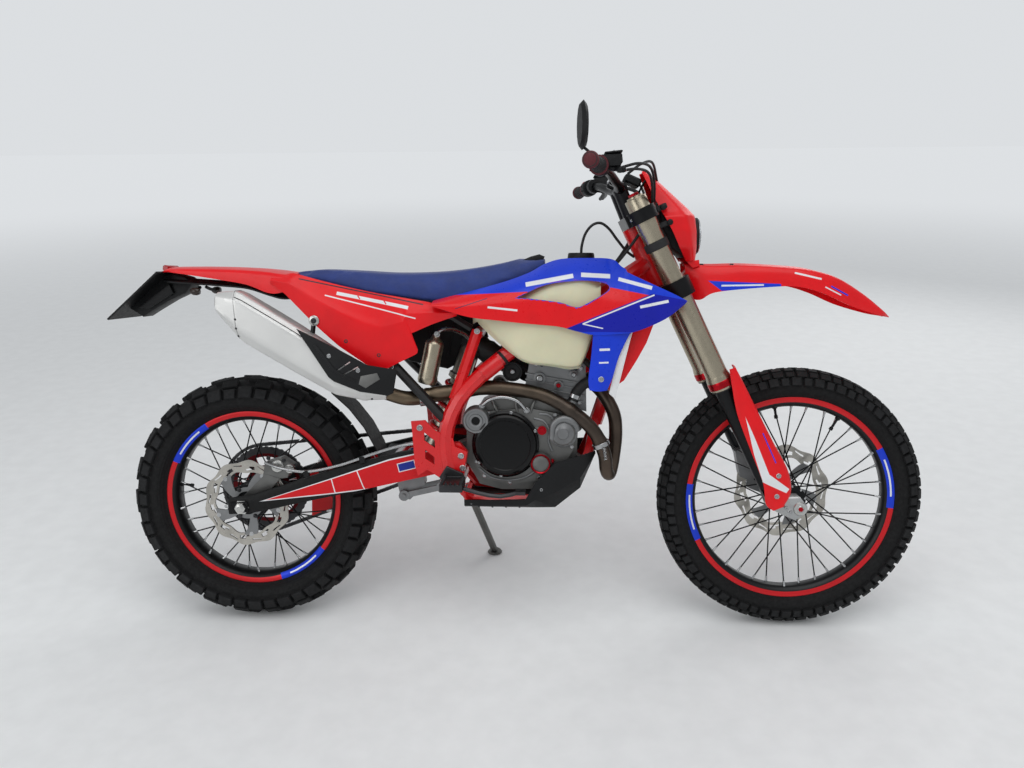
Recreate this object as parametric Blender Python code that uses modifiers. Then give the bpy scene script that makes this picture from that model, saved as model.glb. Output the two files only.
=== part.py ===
# Enduro motorcycle, parked on its side stand.
# Every piece is modelled upright in the machine's own frame: X forward from the rear axle, Y to the rider's
# left, Z up from the floor. The whole machine is then leaned onto its stand. Metres.
import math

import bmesh
import bpy
import numpy as np
from mathutils import Matrix, Vector

LEFT, RIGHT = 1, -1
Y_AXIS = Vector((0, 1, 0))

# Chassis. Outlines and routes in the side view are shares of its length and height, as (x, z), and
# routes in space are (x, y, z) with y a share of its half width.
CHASSIS_LENGTH = 1.000      # rear axle to the front of the fuel tank
CHASSIS_HEIGHT = 1.000      # floor to the top of the fuel tank
CHASSIS_HALF_WIDTH = 0.125  # centre plane to the axis of a frame spar
RAKE = math.radians(26.0)
LEAN = math.radians(10.5)
STEERING_STOP = math.radians(42.0)
SEAT_GAP = 0.0003           # clearance between pieces that seat on each other
RUNNING_GAP = 0.0006        # radial clearance of a shaft in its bore
OVERRUN = 0.004             # how far a cutter runs past what it cuts
WELD = 1e-6                 # points nearer than this are one point
LUG_RADIUS = 0.007          # bosses that carry the panels

# Wheels
FRONT_TYRE_RADIUS = 0.357
FRONT_TYRE_WIDTH = 0.092
FRONT_RIM_RADIUS = 0.279
FRONT_RIM_WIDTH = 0.050
REAR_TYRE_RADIUS = 0.344
REAR_TYRE_WIDTH = 0.132
REAR_RIM_RADIUS = 0.246
REAR_RIM_WIDTH = 0.066
RIM_WALL = 0.004
RIM_DEPTH = 0.026
FRONT_LUG_HEIGHT = 0.010
REAR_LUG_HEIGHT = 0.013
FRONT_PITCHES = 32
REAR_PITCHES = 28
SPOKES = 36
SPOKE_RADIUS = 0.0018
AXLE_RADIUS = 0.0105
DISC_THICKNESS = 0.004
FRONT_DISC_RADIUS = 0.130
REAR_DISC_RADIUS = 0.118
DISC_WAVES = 10
FRONT_DISC_LINE = 0.060     # how far each disc, and the chain, runs from the centre plane
REAR_DISC_LINE = 0.078
CHAIN_LINE = 0.085
FRONT_HUB_RADIUS = 0.040
FRONT_HUB_HALF_WIDTH = 0.067
FRONT_FLANGE_LINE = 0.036
REAR_HUB_RADIUS = 0.052
REAR_HUB_HALF_WIDTH = 0.0895
REAR_FLANGE_LINE = 0.044
CALIPER_WIDTH = 0.034
BRAKE_GAP = 0.0015
CALIPER_BRACKET_THICKNESS = 0.006

# Chain drive
SPROCKET_TEETH = 48
SPROCKET_RADIUS = 0.1215
SPROCKET_THICKNESS = 0.006
FRONT_SPROCKET_RADIUS = 0.034
FRONT_SPROCKET_SHARES = (0.642, 0.497)
SPROCKET_WELL_RADIUS = 0.068
CHAIN_WIDTH = 0.015
CHAIN_HEIGHT = 0.013
CHAIN_CLEARANCE = 0.0012
CHAIN_GUIDE_INNER = 0.0725
CHAIN_GUIDE_OUTER = 0.1040
CHAIN_GUIDE_SHARES = [(0.132, 0.262), (0.205, 0.292), (0.218, 0.345), (0.180, 0.376), (0.136, 0.366)]

# Fork, yokes and bars
FORK_SPACING = 0.200
FORK_LEAD = 0.047           # the axle's centre ahead of the leg's axis
YOKE_OFFSET = 0.024         # the leg's axis ahead of the steering axis
YOKE_SHARES = (1.1505, 0.925)   # the leg's axis at the lower yoke
FORK_LENGTH = 0.915
FORK_TUBE_RADIUS = 0.0285
FORK_SLIDER_RADIUS = 0.0235
FORK_TUBE_START = 0.372
FORK_COLLAR_RADIUS = 0.0325
FORK_COLLAR_LENGTH = 0.040
FORK_OVERLAP = 0.060
FORK_CAP = 0.010
FORK_FOOT_TOP = 0.075
FORK_FOOT_WIDTH = 0.046
FORK_FOOT_SHARES = [  # ahead of the leg's axis and up it, as shares of the foot's height
    (-0.05, 0.12), (0.30, -0.30), (0.72, -0.22), (0.86, 0.05), (0.80, 0.35), (0.35, 0.55), (0.30, 1.10),
    (-0.30, 1.10), (-0.34, 0.50),
]
AXLE_END = 0.026
LOWER_YOKE_HEIGHT = 0.655   # up the leg from the axle's level
UPPER_YOKE_HEIGHT = 0.862
LOWER_YOKE_THICKNESS = 0.042
UPPER_YOKE_THICKNESS = 0.030
LOWER_CLAMP_RADIUS = 0.0405
UPPER_CLAMP_RADIUS = 0.0382
STEM_RADIUS = 0.0145
HEAD_TUBE_RADIUS = 0.030
RISER_RADIUS = 0.019
RISER_LINE = 0.048
BAR_CENTRE_SHARES = (1.005, 1.180)
BAR_RADIUS = 0.0125
BAR_SWEEP = 0.330           # scale of the bar's backward sweep and rise
BAR_ROUTE_SHARES = [  # of the half width, and of the sweep: outward, forward, up
    (0.00, 0.00, 0.000), (0.14, 0.00, 0.000), (0.28, -0.04, 0.030), (0.46, -0.12, 0.090),
    (0.70, -0.20, 0.100), (1.00, -0.28, 0.095),
]
HANDLEBAR_HALF_WIDTH = 0.395
GRIP_RADIUS = 0.0165
GRIP_LENGTH = 0.115
GRIP_FLANGE_RADIUS = 0.022
CONTROL_LENGTH = 0.030
CONTROL_RADIUS = 0.022
LEVER_RADIUS = 0.0062
LEVER_REACH = 0.045
RESERVOIR_HEIGHT = 0.025
MIRROR_HEIGHT = 0.210
MIRROR_CLAMP_RADIUS = 0.020
MIRROR_STEM_RADIUS = 0.0044
MIRROR_GLASS_HALF_WIDTH = 0.046
MIRROR_GLASS_HALF_HEIGHT = 0.071
MIRROR_GLASS_HALF_DEPTH = 0.0105

# Front bodywork
PANEL_THICKNESS = 0.003
FENDER_HALF_WIDTH = 0.078
FENDER_TOP_SHARES = [
    (1.190, 1.000), (1.235, 0.990), (1.328, 0.990), (1.437, 0.984), (1.502, 0.977), (1.568, 0.955),
    (1.635, 0.913), (1.716, 0.852),
]
FENDER_EDGE_SHARES = [
    (1.185, 0.930), (1.248, 0.912), (1.310, 0.922), (1.394, 0.931), (1.465, 0.932), (1.530, 0.912),
    (1.600, 0.880), (1.700, 0.842),
]
FENDER_WIDTH_SHARES = [0.62, 0.80, 0.90, 0.95, 1.0, 0.96, 0.88, 0.66]
FENDER_CROWN = 0.004
FENDER_MOUNT_WIDTH = 0.056
FENDER_MOUNT_SHARES = [(1.162, 0.905), (1.205, 0.915), (1.258, 0.984), (1.235, 0.9845), (1.193, 0.9925), (1.168, 0.945)]
MASK_HALF_WIDTH = 0.096
MASK_SHARES = [  # x, z, half width, and how far the sides sweep back
    (1.078, 1.222, 0.55, 0.030), (1.135, 1.168, 0.80, 0.060), (1.198, 1.108, 1.00, 0.085),
    (1.206, 1.060, 1.00, 0.085), (1.200, 1.020, 0.85, 0.060),
]
MASK_STRAP_SIZE = (0.086, 0.083, 0.020)
MASK_STRAP_SHARES = (1.125, 1.085)
LENS_SIZE = (0.010, 0.091, 0.070)
LENS_SHARES = (1.212, 1.064)
GUARD_LINE = 0.134
GUARD_INNER_LINE = 0.088
GUARD_SHARES = [  # up the leg, and the rear and front edges ahead of its axis, of the fork's length
    (0.454, 0.036, 0.050), (0.325, 0.000, 0.055), (0.120, -0.013, 0.062), (0.055, -0.033, 0.044),
    (0.033, -0.020, 0.012),
]
GUARD_LUG_SHARE = 0.070     # up the leg, of the fork's length
FRONT_CALIPER_SHARES = [(1.360, 0.400), (1.395, 0.385), (1.420, 0.440), (1.385, 0.490), (1.345, 0.470)]

# Frame
SPAR_RADIUS = 0.0200
SPAR_ROUTE_SHARES = [
    (0.572, 0.992, 0.428), (0.556, 1.000, 0.500), (0.560, 1.000, 0.570), (0.590, 0.980, 0.640),
    (0.650, 0.850, 0.705), (0.740, 0.620, 0.775), (0.900, 0.440, 0.870), (1.080, 0.160, 0.992),
]
UPRIGHT_RADIUS = 0.0155
UPRIGHT_ROUTE_SHARES = [(0.578, 0.93, 0.640), (0.638, 0.70, 0.818)]
SHOCK_CROSS_SHARES = (0.634, 0.806)
DOWNTUBE_RADIUS = 0.0190
DOWNTUBE_ROUTE_SHARES = [(1.012, 0, 0.760), (0.978, 0, 0.640), (0.952, 0, 0.560)]
CRADLE_RADIUS = 0.0135
CRADLE_ROUTE_SHARES = [
    (0.952, 0.038, 0.575), (0.930, 0.475, 0.490), (0.893, 0.660, 0.415), (0.835, 0.660, 0.3675),
    (0.720, 0.660, 0.3665), (0.620, 0.660, 0.368), (0.582, 0.900, 0.415),
]
PIVOT_SHARES = (0.571, 0.479)
PIVOT_RADIUS = 0.0100
PIVOT_HALF_WIDTH = 0.1010   # inner faces of the frame's pivot plates
PIVOT_PLATE_THICKNESS = 0.020
PIVOT_PLATE_SHARES = [(0.545, 0.425), (0.600, 0.430), (0.612, 0.500), (0.590, 0.525), (0.545, 0.525)]
HEEL_PLATE_LINE = 0.134
HEEL_PLATE_THICKNESS = 0.006
HEEL_PLATE_SHARES = [
    (0.469, 0.555), (0.466, 0.585), (0.503, 0.588), (0.530, 0.560), (0.575, 0.540), (0.581, 0.518),
    (0.612, 0.505), (0.606, 0.470), (0.593, 0.441), (0.570, 0.430), (0.541, 0.434), (0.507, 0.456),
    (0.482, 0.440), (0.474, 0.470),
]
HEEL_SLOT_SHARES = [
    [(0.500, 0.556), (0.528, 0.534), (0.528, 0.514), (0.500, 0.534)],
    [(0.502, 0.510), (0.526, 0.490), (0.526, 0.470), (0.502, 0.486)],
]
ENGINE_BOLT_RADIUS = 0.007
ENGINE_BOLT_SHARES = (0.911, 0.452)
ENGINE_BOLT_HALF_WIDTH = 0.071
LINK_CROSS_SHARES = (0.582, 0.402)
LINK_LUG_SHARES = (0.530, 0.381)
LINK_LUG_RADIUS = 0.012
LINK_LUG_WIDTH = 0.036

# Subframe
RAIL_RADIUS = 0.010
STRUT_RADIUS = 0.0135
TIE_RADIUS = 0.008
RAIL_ROUTE_SHARES = [
    (0.622, 0.72, 0.824), (0.530, 0.74, 0.8805), (0.420, 0.74, 0.8935), (0.330, 0.72, 0.909), (0.230, 0.66, 0.933),
    (0.080, 0.44, 0.9575),
]
STRUT_ROUTE_SHARES = [(0.560, 0.97, 0.580), (0.415, 0.80, 0.731), (0.330, 0.74, 0.905)]
TIE_ROUTE_SHARES = [(0.290, -0.69, 0.918), (0.290, 0.69, 0.918)]
SILENCER_HANGER_SHARES = [(0.215, -0.65, 0.935), (0.212, -0.78, 0.870), (0.206, -0.84, 0.812)]

# Swingarm and suspension
SWINGARM_THICKNESS = 0.024
SWINGARM_REAR_HALF_WIDTH = 0.110
SWINGARM_CHAMFER_SHARE = 0.3
SWINGARM_SHARES = [  # x, z of the middle, half height, and where the arm sits between its rear and front lines
    (-0.036, 0.344, 0.021, 0.0), (0.030, 0.352, 0.024, 0.0), (0.250, 0.413, 0.036, 0.1),
    (0.430, 0.455, 0.040, 0.6), (0.530, 0.472, 0.036, 1.0), (0.592, 0.479, 0.022, 1.0),
]
BRIDGE_SHARES = (0.395, 0.450)
BRIDGE_SIZE = (0.055, 0.178, 0.055)
FLAP_RADIUS = 0.386         # centred on the rear axle, clear of the tyre
FLAP_HALF_WIDTH = 0.056
FLAP_SWEEP = (math.radians(13.0), math.radians(52.0))
SHOCK_TOP_SHARES = (0.628, 0.806)
SHOCK_LOW_SHARES = (0.466, 0.395)
SHOCK_RADIUS = 0.026
SHOCK_ROD_RADIUS = 0.0117
SPRING_RADIUS = 0.0325
SPRING_COILS = 5
SPRING_SPAN_SHARES = (0.32, 0.82)
SHOCK_BODY_SHARES = (0.10, 0.12, 0.30, 0.84, 0.86)
RESERVOIR_RADIUS = 0.025
RESERVOIR_ROUTE_SHARES = [(0.525, -0.60, 0.794), (0.499, -0.60, 0.678)]
SHOCK_PIPE_RADIUS = 0.0104
SHOCK_PIPE_SHARES = [(0.522, -0.60, 0.782), (0.560, -0.30, 0.800), (0.608, 0, 0.770)]
ROCKER_WIDTH = 0.044
ROCKER_SHARES = [(0.380, 0.440), (0.430, 0.435), (0.478, 0.408), (0.482, 0.386), (0.440, 0.342), (0.414, 0.344), (0.404, 0.395)]
LINK_ROD_SHARES = [(0.425, 0.356), (0.530, 0.381)]
LINK_ROD_LINE = 0.029
LINK_ROD_THICKNESS = 0.012
LINK_ROD_HALF_HEIGHT = 0.008
LINK_ROD_RELIEF = 0.0015    # how far the bar between the eyes is set in from their faces
LINK_EYE_RADIUS = 0.015
LINK_PIN_RADIUS = 0.006

# Engine
ENGINE_CASE_HALF_WIDTH = 0.080
CASES_SHARES = [
    (0.604, 0.470), (0.640, 0.405), (0.700, 0.390), (0.810, 0.392), (0.872, 0.425), (0.900, 0.490),
    (0.902, 0.560), (0.862, 0.618), (0.757, 0.645), (0.690, 0.640), (0.640, 0.615), (0.606, 0.560),
]
ENGINE_LUG_WIDTH = 0.060
ENGINE_REAR_LUG_SHARES = [(0.620, 0.440), (0.572, 0.460), (0.554, 0.479), (0.572, 0.500), (0.620, 0.520)]
ENGINE_FRONT_LUG_SHARES = [(0.860, 0.440), (0.905, 0.440), (0.923, 0.452), (0.912, 0.466), (0.880, 0.490)]
CYLINDER_HALF_WIDTH = 0.060
HEAD_HALF_WIDTH = 0.050
CYLINDER_SHARES = [(0.757, 0.6455), (0.862, 0.6185), (0.925, 0.600), (0.922, 0.735), (0.775, 0.745)]
HEAD_COVER_SHARES = [(0.775, 0.730), (0.918, 0.720), (0.905, 0.790), (0.790, 0.800)]
COVER_THICKNESS = 0.016
RIGHT_COVER_SHARES = [
    (0.625, 0.470), (0.650, 0.425), (0.720, 0.408), (0.800, 0.420), (0.860, 0.450), (0.893, 0.510),
    (0.890, 0.565), (0.850, 0.600), (0.770, 0.615), (0.660, 0.605), (0.622, 0.560),
]
CLUTCH_SHARES = (0.711, 0.519)
CLUTCH_COVER_RADIUS = 0.083
CLUTCH_COVER_DEPTH = 0.036
COVER_BOSS_SHARES = [  # x, z, radius, depth of the clutch cover's depth
    (0.862, 0.551, 0.036, 1.0), (0.804, 0.470, 0.028, 0.9), (0.634, 0.580, 0.028, 0.8),
]
LEFT_COVER_SHARES = [
    (0.706, 0.470), (0.712, 0.430), (0.760, 0.412), (0.820, 0.430), (0.850, 0.490), (0.830, 0.560),
    (0.760, 0.590), (0.712, 0.565),
]
IGNITION_SHARES = (0.772, 0.497)
IGNITION_COVER_RADIUS = 0.068
IGNITION_COVER_DEPTH = 0.028
THROTTLE_RADIUS = 0.026
THROTTLE_ROUTE_SHARES = [(0.775, 0, 0.697), (0.682, 0, 0.738)]
THROTTLE_MOTOR_SIZE = (0.050, 0.085, 0.040)
THROTTLE_MOTOR_SHARES = (0.722, 0.725)
SKID_THICKNESS = 0.004
SKID_LIP = 0.020
SKID_SHARES = [  # x, floor height, side height, half width
    (0.602, 0.3515, 0.372, 0.80), (0.700, 0.3515, 0.373, 0.82), (0.765, 0.3515, 0.376, 0.82),
    (0.790, 0.3515, 0.420, 0.82), (0.8415, 0.3525, 0.475, 0.82), (0.9065, 0.403, 0.492, 0.74),
    (0.946, 0.4905, 0.500, 0.56),
]

# Exhaust
HEADER_RADIUS = 0.0185
HEADER_ROUTE_SHARES = [
    (0.918, -0.26, 0.690), (0.962, -0.28, 0.655), (0.996, -0.42, 0.600), (1.004, -0.44, 0.545),
    (0.998, -0.50, 0.480), (0.988, -0.62, 0.438), (0.978, -0.76, 0.450), (0.970, -0.86, 0.500),
    (0.940, -0.88, 0.560), (0.880, -0.84, 0.612), (0.809, -0.76, 0.649), (0.735, -0.68, 0.662),
    (0.650, -0.62, 0.666), (0.590, -0.60, 0.656), (0.532, -0.62, 0.649), (0.485, -0.64, 0.640),
    (0.445, -0.78, 0.640), (0.400, -0.93, 0.656),
]
SILENCER_LINE = 0.120
SILENCER_HALF_WIDTH = 0.045
SILENCER_SHARES = [  # x, top, bottom, half width
    (0.405, 0.684, 0.640, 0.30), (0.345, 0.722, 0.640, 0.75), (0.273, 0.769, 0.654, 1.0),
    (0.150, 0.850, 0.724, 1.0), (0.029, 0.922, 0.794, 1.0), (-0.035, 0.905, 0.868, 0.55),
]
SILENCER_SECTION_SHARES = [  # of the half width and of the height
    (-0.55, 0), (0.55, 0), (1, 0.22), (1, 0.78), (0.55, 1), (-0.55, 1), (-1, 0.78), (-1, 0.22),
]
SILENCER_GUARD_THICKNESS = 0.006
SILENCER_GUARD_SHARES = [
    (0.189, 0.827), (0.271, 0.703), (0.348, 0.670), (0.419, 0.659), (0.443, 0.726), (0.366, 0.739),
    (0.241, 0.805),
]
SILENCER_EYE_RADIUS = 0.014
SILENCER_EYE_SHARES = (0.206, 0.838)

# Tank, seat and panels
TANK_HALF_WIDTH = 0.148
TANK_SHOULDER_SHARE = 0.78
TANK_CROWN_SHARE = 0.30
TANK_LIP = 0.006
TANK_SHOULDER_DROP = 0.030
TANK_BELLY_RISE = 0.020
TUNNEL_HALF_WIDTH = 0.101
TANK_SHARES = [  # x, outer lower edge, tunnel roof, top, half width
    (0.621, 0.853, 0.862, 0.905, 0.62), (0.704, 0.780, 0.845, 0.945, 0.90), (0.762, 0.738, 0.850, 0.975, 1.0),
    (0.830, 0.729, 0.880, 0.997, 1.0), (0.888, 0.723, 0.905, 1.010, 0.97), (0.913, 0.745, 0.918, 1.010, 0.94),
    (0.955, 0.860, 0.940, 1.002, 0.88),
]
CAP_RADIUS = 0.034
CAP_HEIGHT = 0.024
CAP_SHARES = (0.905, 1.000)
SEAT_HALF_WIDTH = 0.105
SEAT_SHARES = [  # x, top, bottom, half width
    (0.130, 0.967, 0.955, 0.62), (0.229, 0.974, 0.945, 0.85), (0.330, 0.970, 0.920, 1.0),
    (0.421, 0.965, 0.905, 1.0), (0.529, 0.967, 0.892, 0.92), (0.620, 0.975, 0.908, 0.80),
    (0.700, 0.988, 0.952, 0.72), (0.760, 1.005, 0.980, 0.60), (0.815, 1.012, 1.002, 0.42),
]
SEAT_SECTION_SHARES = [(0.92, 0), (1.0, 0.35), (0.94, 0.72), (0.74, 0.94), (0.40, 1.0)]
SHROUD_HALF_WIDTH = 0.163
SHROUD_UPPER_SHARES = [
    (0.526, 0.891), (0.625, 0.914), (0.768, 0.954), (0.809, 0.977), (0.854, 0.995), (0.991, 0.986),
    (1.062, 0.944), (1.128, 0.916), (1.163, 0.898),
]
SHROUD_LOWER_SHARES = [
    (0.530, 0.884), (0.619, 0.858), (0.755, 0.842), (0.800, 0.838), (0.850, 0.832), (0.940, 0.814),
    (1.040, 0.822), (1.110, 0.855), (1.155, 0.890),
]
SHROUD_BULGE_SHARES = (0.18, 0.03, 0.17)    # drawn in at the top, at the foot, and flared at the nose
SHROUD_NOSE_SHARES = (0.95, 0.20)           # where the flare starts, and over what length it grows
SHROUD_LEG_SHARES = [
    [(0.938, 0.830), (1.040, 0.835)], [(0.936, 0.750), (1.012, 0.760)], [(0.934, 0.669), (0.975, 0.670)],
]
SHROUD_LEG_LINE = 0.1555
SHROUD_WINDOW_SHARES = [
    (0.778, 0.906), (0.812, 0.930), (0.878, 0.940), (0.950, 0.934), (0.962, 0.922), (0.922, 0.896),
    (0.880, 0.889),
]
SHROUD_LUG_SHARES = [((0.800, 0.872), (0.800, 0.872)), ((0.900, 0.860), (0.900, 0.860))]
SHROUD_LUG_DEPTH = 0.030
RADIATOR_SIZE = (0.034, 0.078, 0.205)
RADIATOR_SHARES = (0.984, 0.772)
RADIATOR_LINE = 0.101
RADIATOR_TILT = math.radians(14)
RADIATOR_BRACKET_SHARES = [(0.990, 0.62, 0.790), (1.004, 0.02, 0.740)]
SIDE_PANEL_LINE = 0.1225
SIDE_PANEL_THICKNESS = 0.0045
SIDE_PANEL_SHARES = [
    (0.125, 0.953), (0.228, 0.918), (0.440, 0.873), (0.546, 0.880), (0.585, 0.864), (0.468, 0.814),
    (0.488, 0.764), (0.440, 0.743), (0.397, 0.718), (0.352, 0.732), (0.280, 0.780), (0.220, 0.836),
    (0.143, 0.914), (0.100, 0.935),
]
SIDE_PANEL_LUG_SHARES = [((0.348, 0.868), (0.348, 0.868)), ((0.240, 0.927), (0.240, 0.905))]
SIDE_PANEL_LUG_DEPTH = 0.036
REAR_FENDER_HALF_WIDTH = 0.105
REAR_FENDER_DROP = 0.020
REAR_FENDER_CROWN = 0.005
REAR_FENDER_SHARES = [  # x, z, half width
    (-0.216, 0.975, 0.62), (-0.120, 0.977, 0.70), (-0.020, 0.978, 0.80), (0.060, 0.972, 0.92),
    (0.128, 0.964, 1.0), (0.160, 0.962, 1.0),
]
PLATE_HOLDER_WIDTH = 0.112
PLATE_HOLDER_SHARES = [
    (-0.394, 0.839), (-0.262, 0.962), (-0.245, 0.978), (-0.196, 0.978), (-0.184, 0.917), (-0.273, 0.863),
    (-0.300, 0.845),
]

# Feet and stand
FOOTPEG_SIZE = (0.058, 0.085, 0.020)
FOOTPEG_SHARES = (0.580, 0.432)
FOOTPEG_BRACKET_THICKNESS = 0.010
FOOTPEG_BRACKET_SHARES = [(0.540, 0.440), (0.560, 0.425), (0.600, 0.425), (0.604, 0.450), (0.560, 0.470)]
PEDAL_RADIUS = 0.006
BRAKE_PEDAL_SHARES = [
    (0.585, -1.300, 0.420), (0.640, -1.230, 0.400), (0.700, -1.200, 0.390), (0.752, -1.200, 0.402),
]
BRAKE_PEDAL_TIP_SIZE = (0.026, 0.034, 0.009)
GEAR_SHAFT_RADIUS = 0.008
GEAR_SHAFT_SHARES = (0.700, 0.440)
GEAR_SHAFT_END = 0.122
GEAR_LEVER_LINE = 0.117
GEAR_LEVER_SHARES = [(0.700, 0.936, 0.440), (0.735, 0.970, 0.438), (0.790, 1.010, 0.458)]
GEAR_TIP_LENGTH = 0.034
REAR_CALIPER_SHARES = [(0.050, 0.410), (0.120, 0.420), (0.135, 0.455), (0.105, 0.475), (0.060, 0.462)]
REAR_CALIPER_BRACKET_SHARES = [(-0.020, 0.352), (0.016, 0.325), (0.100, 0.418), (0.060, 0.430)]
STAND_PIVOT_SHARES = (0.588, 0.325)
STAND_PIVOT_LINE = 0.135
STAND_FOOT_SHARE = 0.650    # how far ahead of the rear axle the foot stands
STAND_REACH = 0.345
STAND_RADIUS = 0.011
STAND_BOSS = 0.0125
STAND_CHEEK = 0.009
STAND_PIN_RADIUS = 0.006
STAND_FOOT_RADIUS = 0.024
STAND_FOOT_THICKNESS = 0.006
STAND_KNEE_SHARES = [(0.590, 0.80, 0.332), (0.604, 0.72, 0.366)]
STAND_FOLDED = Vector((-1, 0.02, 0.10))

MATERIALS = {  # colour, roughness, metallic
    "red_plastic": ((0.78, 0.02, 0.02), 0.35, 0.0),
    "blue_plastic": ((0.02, 0.05, 0.60), 0.35, 0.0),
    "black_plastic": ((0.02, 0.02, 0.022), 0.55, 0.0),
    "red_paint": ((0.75, 0.02, 0.02), 0.30, 0.1),
    "tyre_rubber": ((0.015, 0.015, 0.016), 0.85, 0.0),
    "black_aluminium": ((0.02, 0.02, 0.022), 0.40, 0.7),
    "aluminium": ((0.62, 0.60, 0.56), 0.35, 0.9),
    "gold_aluminium": ((0.50, 0.43, 0.28), 0.30, 0.9),
    "steel": ((0.50, 0.50, 0.48), 0.30, 1.0),
    "blued_steel": ((0.22, 0.15, 0.10), 0.35, 1.0),
    "tank_plastic": ((0.78, 0.76, 0.62), 0.40, 0.0),
    "seat_cover": ((0.01, 0.03, 0.16), 0.75, 0.0),
    "lens": ((0.85, 0.88, 0.90), 0.10, 0.0),
}

parts = bpy.data.collections.new("enduro_motorcycle")


def clear_scene():
    for obj in list(bpy.data.objects):
        bpy.data.objects.remove(obj, do_unlink=True)
    bpy.context.scene.collection.children.link(parts)


def spot(shares, y=0.0):
    """A point of the chassis from its side view shares and a real offset to the left."""
    return Vector((shares[0] * CHASSIS_LENGTH, y, shares[1] * CHASSIS_HEIGHT))


def flat(shares):
    """An outline in the side view."""
    return [(x * CHASSIS_LENGTH, z * CHASSIS_HEIGHT) for x, z in shares]


def route(shares, side=LEFT):
    """Points in space, for one side of the machine."""
    return [spot((x, z), side * y * CHASSIS_HALF_WIDTH) for x, y, z in shares]


def material(name):
    found = bpy.data.materials.get(name)
    if found:
        return found
    colour, roughness, metallic = MATERIALS[name]
    made = bpy.data.materials.new(name)
    made.use_nodes = True
    shader = made.node_tree.nodes["Principled BSDF"]
    shader.inputs["Base Color"].default_value = (*colour, 1)
    shader.inputs["Roughness"].default_value = roughness
    shader.inputs["Metallic"].default_value = metallic
    return made


def link(name, mesh):
    obj = bpy.data.objects.new(name, mesh)
    parts.objects.link(obj)
    return obj


def face_outward(bm):
    bmesh.ops.recalc_face_normals(bm, faces=bm.faces)
    if bm.calc_volume(signed=True) < 0:
        bmesh.ops.reverse_faces(bm, faces=bm.faces)


def from_bmesh(name, bm):
    face_outward(bm)
    mesh = bpy.data.meshes.new(name)
    bm.to_mesh(mesh)
    bm.free()
    return link(name, mesh)


def evaluated(obj, name=None):
    """The object's shape after its modifiers, or its curve, as a welded mesh object that replaces it."""
    graph = bpy.context.evaluated_depsgraph_get()
    graph.update()
    mesh = bpy.data.meshes.new_from_object(obj.evaluated_get(graph))
    mesh.transform(obj.matrix_world)
    bm = bmesh.new()
    bm.from_mesh(mesh)
    bmesh.ops.remove_doubles(bm, verts=bm.verts, dist=WELD)
    face_outward(bm)
    bm.to_mesh(mesh)
    bm.free()
    keep = name or obj.name
    bpy.data.objects.remove(obj, do_unlink=True)
    return link(keep, mesh)


def combine(target, others, operation):
    for other in others:
        modifier = target.modifiers.new(operation.lower(), "BOOLEAN")
        modifier.operation = operation
        modifier.solver = "EXACT"
        modifier.object = other
        target = evaluated(target)
        bpy.data.objects.remove(other, do_unlink=True)
    return target


def unite(target, *others):
    return combine(target, others, "UNION")


def cut(target, *cutters):
    return combine(target, cutters, "DIFFERENCE")


def frame_of(direction):
    """A rotation that takes Z to the direction, with its X kept as level as it can be."""
    return Vector(direction).to_track_quat("Z", "Y").to_matrix().to_4x4()


def rod(name, start, end, radius, sides=16, end_radius=None):
    start, end = Vector(start), Vector(end)
    bm = bmesh.new()
    bmesh.ops.create_cone(
        bm, cap_ends=True, segments=sides, radius1=radius,
        radius2=radius if end_radius is None else end_radius, depth=(end - start).length,
    )
    quarter = Matrix.Rotation(-math.pi / 2, 4, "Z")
    bm.transform(Matrix.Translation((start + end) / 2) @ frame_of(end - start) @ quarter)
    return from_bmesh(name, bm)


def crossways(name, shares, half_width, radius, sides):
    """A rod that runs straight across the machine at a point of the side view."""
    return rod(name, spot(shares, -half_width), spot(shares, half_width), radius, sides)


def box(name, size, centre, tilt=0.0):
    """A box of full sizes; tilt turns it about the lateral axis, nose up."""
    bm = bmesh.new()
    bmesh.ops.create_cube(bm, size=1.0)
    bm.transform(Matrix.Diagonal((*size, 1)))
    bm.transform(Matrix.Translation(centre) @ Matrix.Rotation(-tilt, 4, "Y"))
    return from_bmesh(name, bm)


def smooth_route(points, steps):
    """Points on a smooth curve through the route's own points."""
    given = [Vector(p) for p in points]
    ends = [2 * given[0] - given[1]] + given + [2 * given[-1] - given[-2]]
    found = []
    for i in range(1, len(ends) - 2):
        before, here, there, after = ends[i - 1:i + 3]
        for k in range(steps):
            t = k / steps
            found.append(0.5 * (
                2 * here + (there - before) * t
                + (2 * before - 5 * here + 4 * there - after) * t ** 2
                + (3 * here - before - 3 * there + after) * t ** 3
            ))
    return found + [given[-1]]


def tube(name, points, radius, steps=3, resolution=2, radii=None):
    """A tube through the points. The bevel resolution gives 4 + 2 * resolution sides."""
    path = smooth_route(points, steps) if steps > 1 else [Vector(p) for p in points]
    curve = bpy.data.curves.new(name, "CURVE")
    curve.dimensions = "3D"
    curve.bevel_depth = radius
    curve.bevel_resolution = resolution
    curve.use_fill_caps = True
    spline = curve.splines.new("POLY")
    spline.points.add(len(path) - 1)
    for i, point in enumerate(path):
        spline.points[i].co = (*point, 1)
        if radii:
            along = i / (len(path) - 1) * (len(radii) - 1)
            low = min(int(along), len(radii) - 2)
            spline.points[i].radius = radii[low] + (radii[low + 1] - radii[low]) * (along - low)
    return evaluated(link(name, curve))


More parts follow.
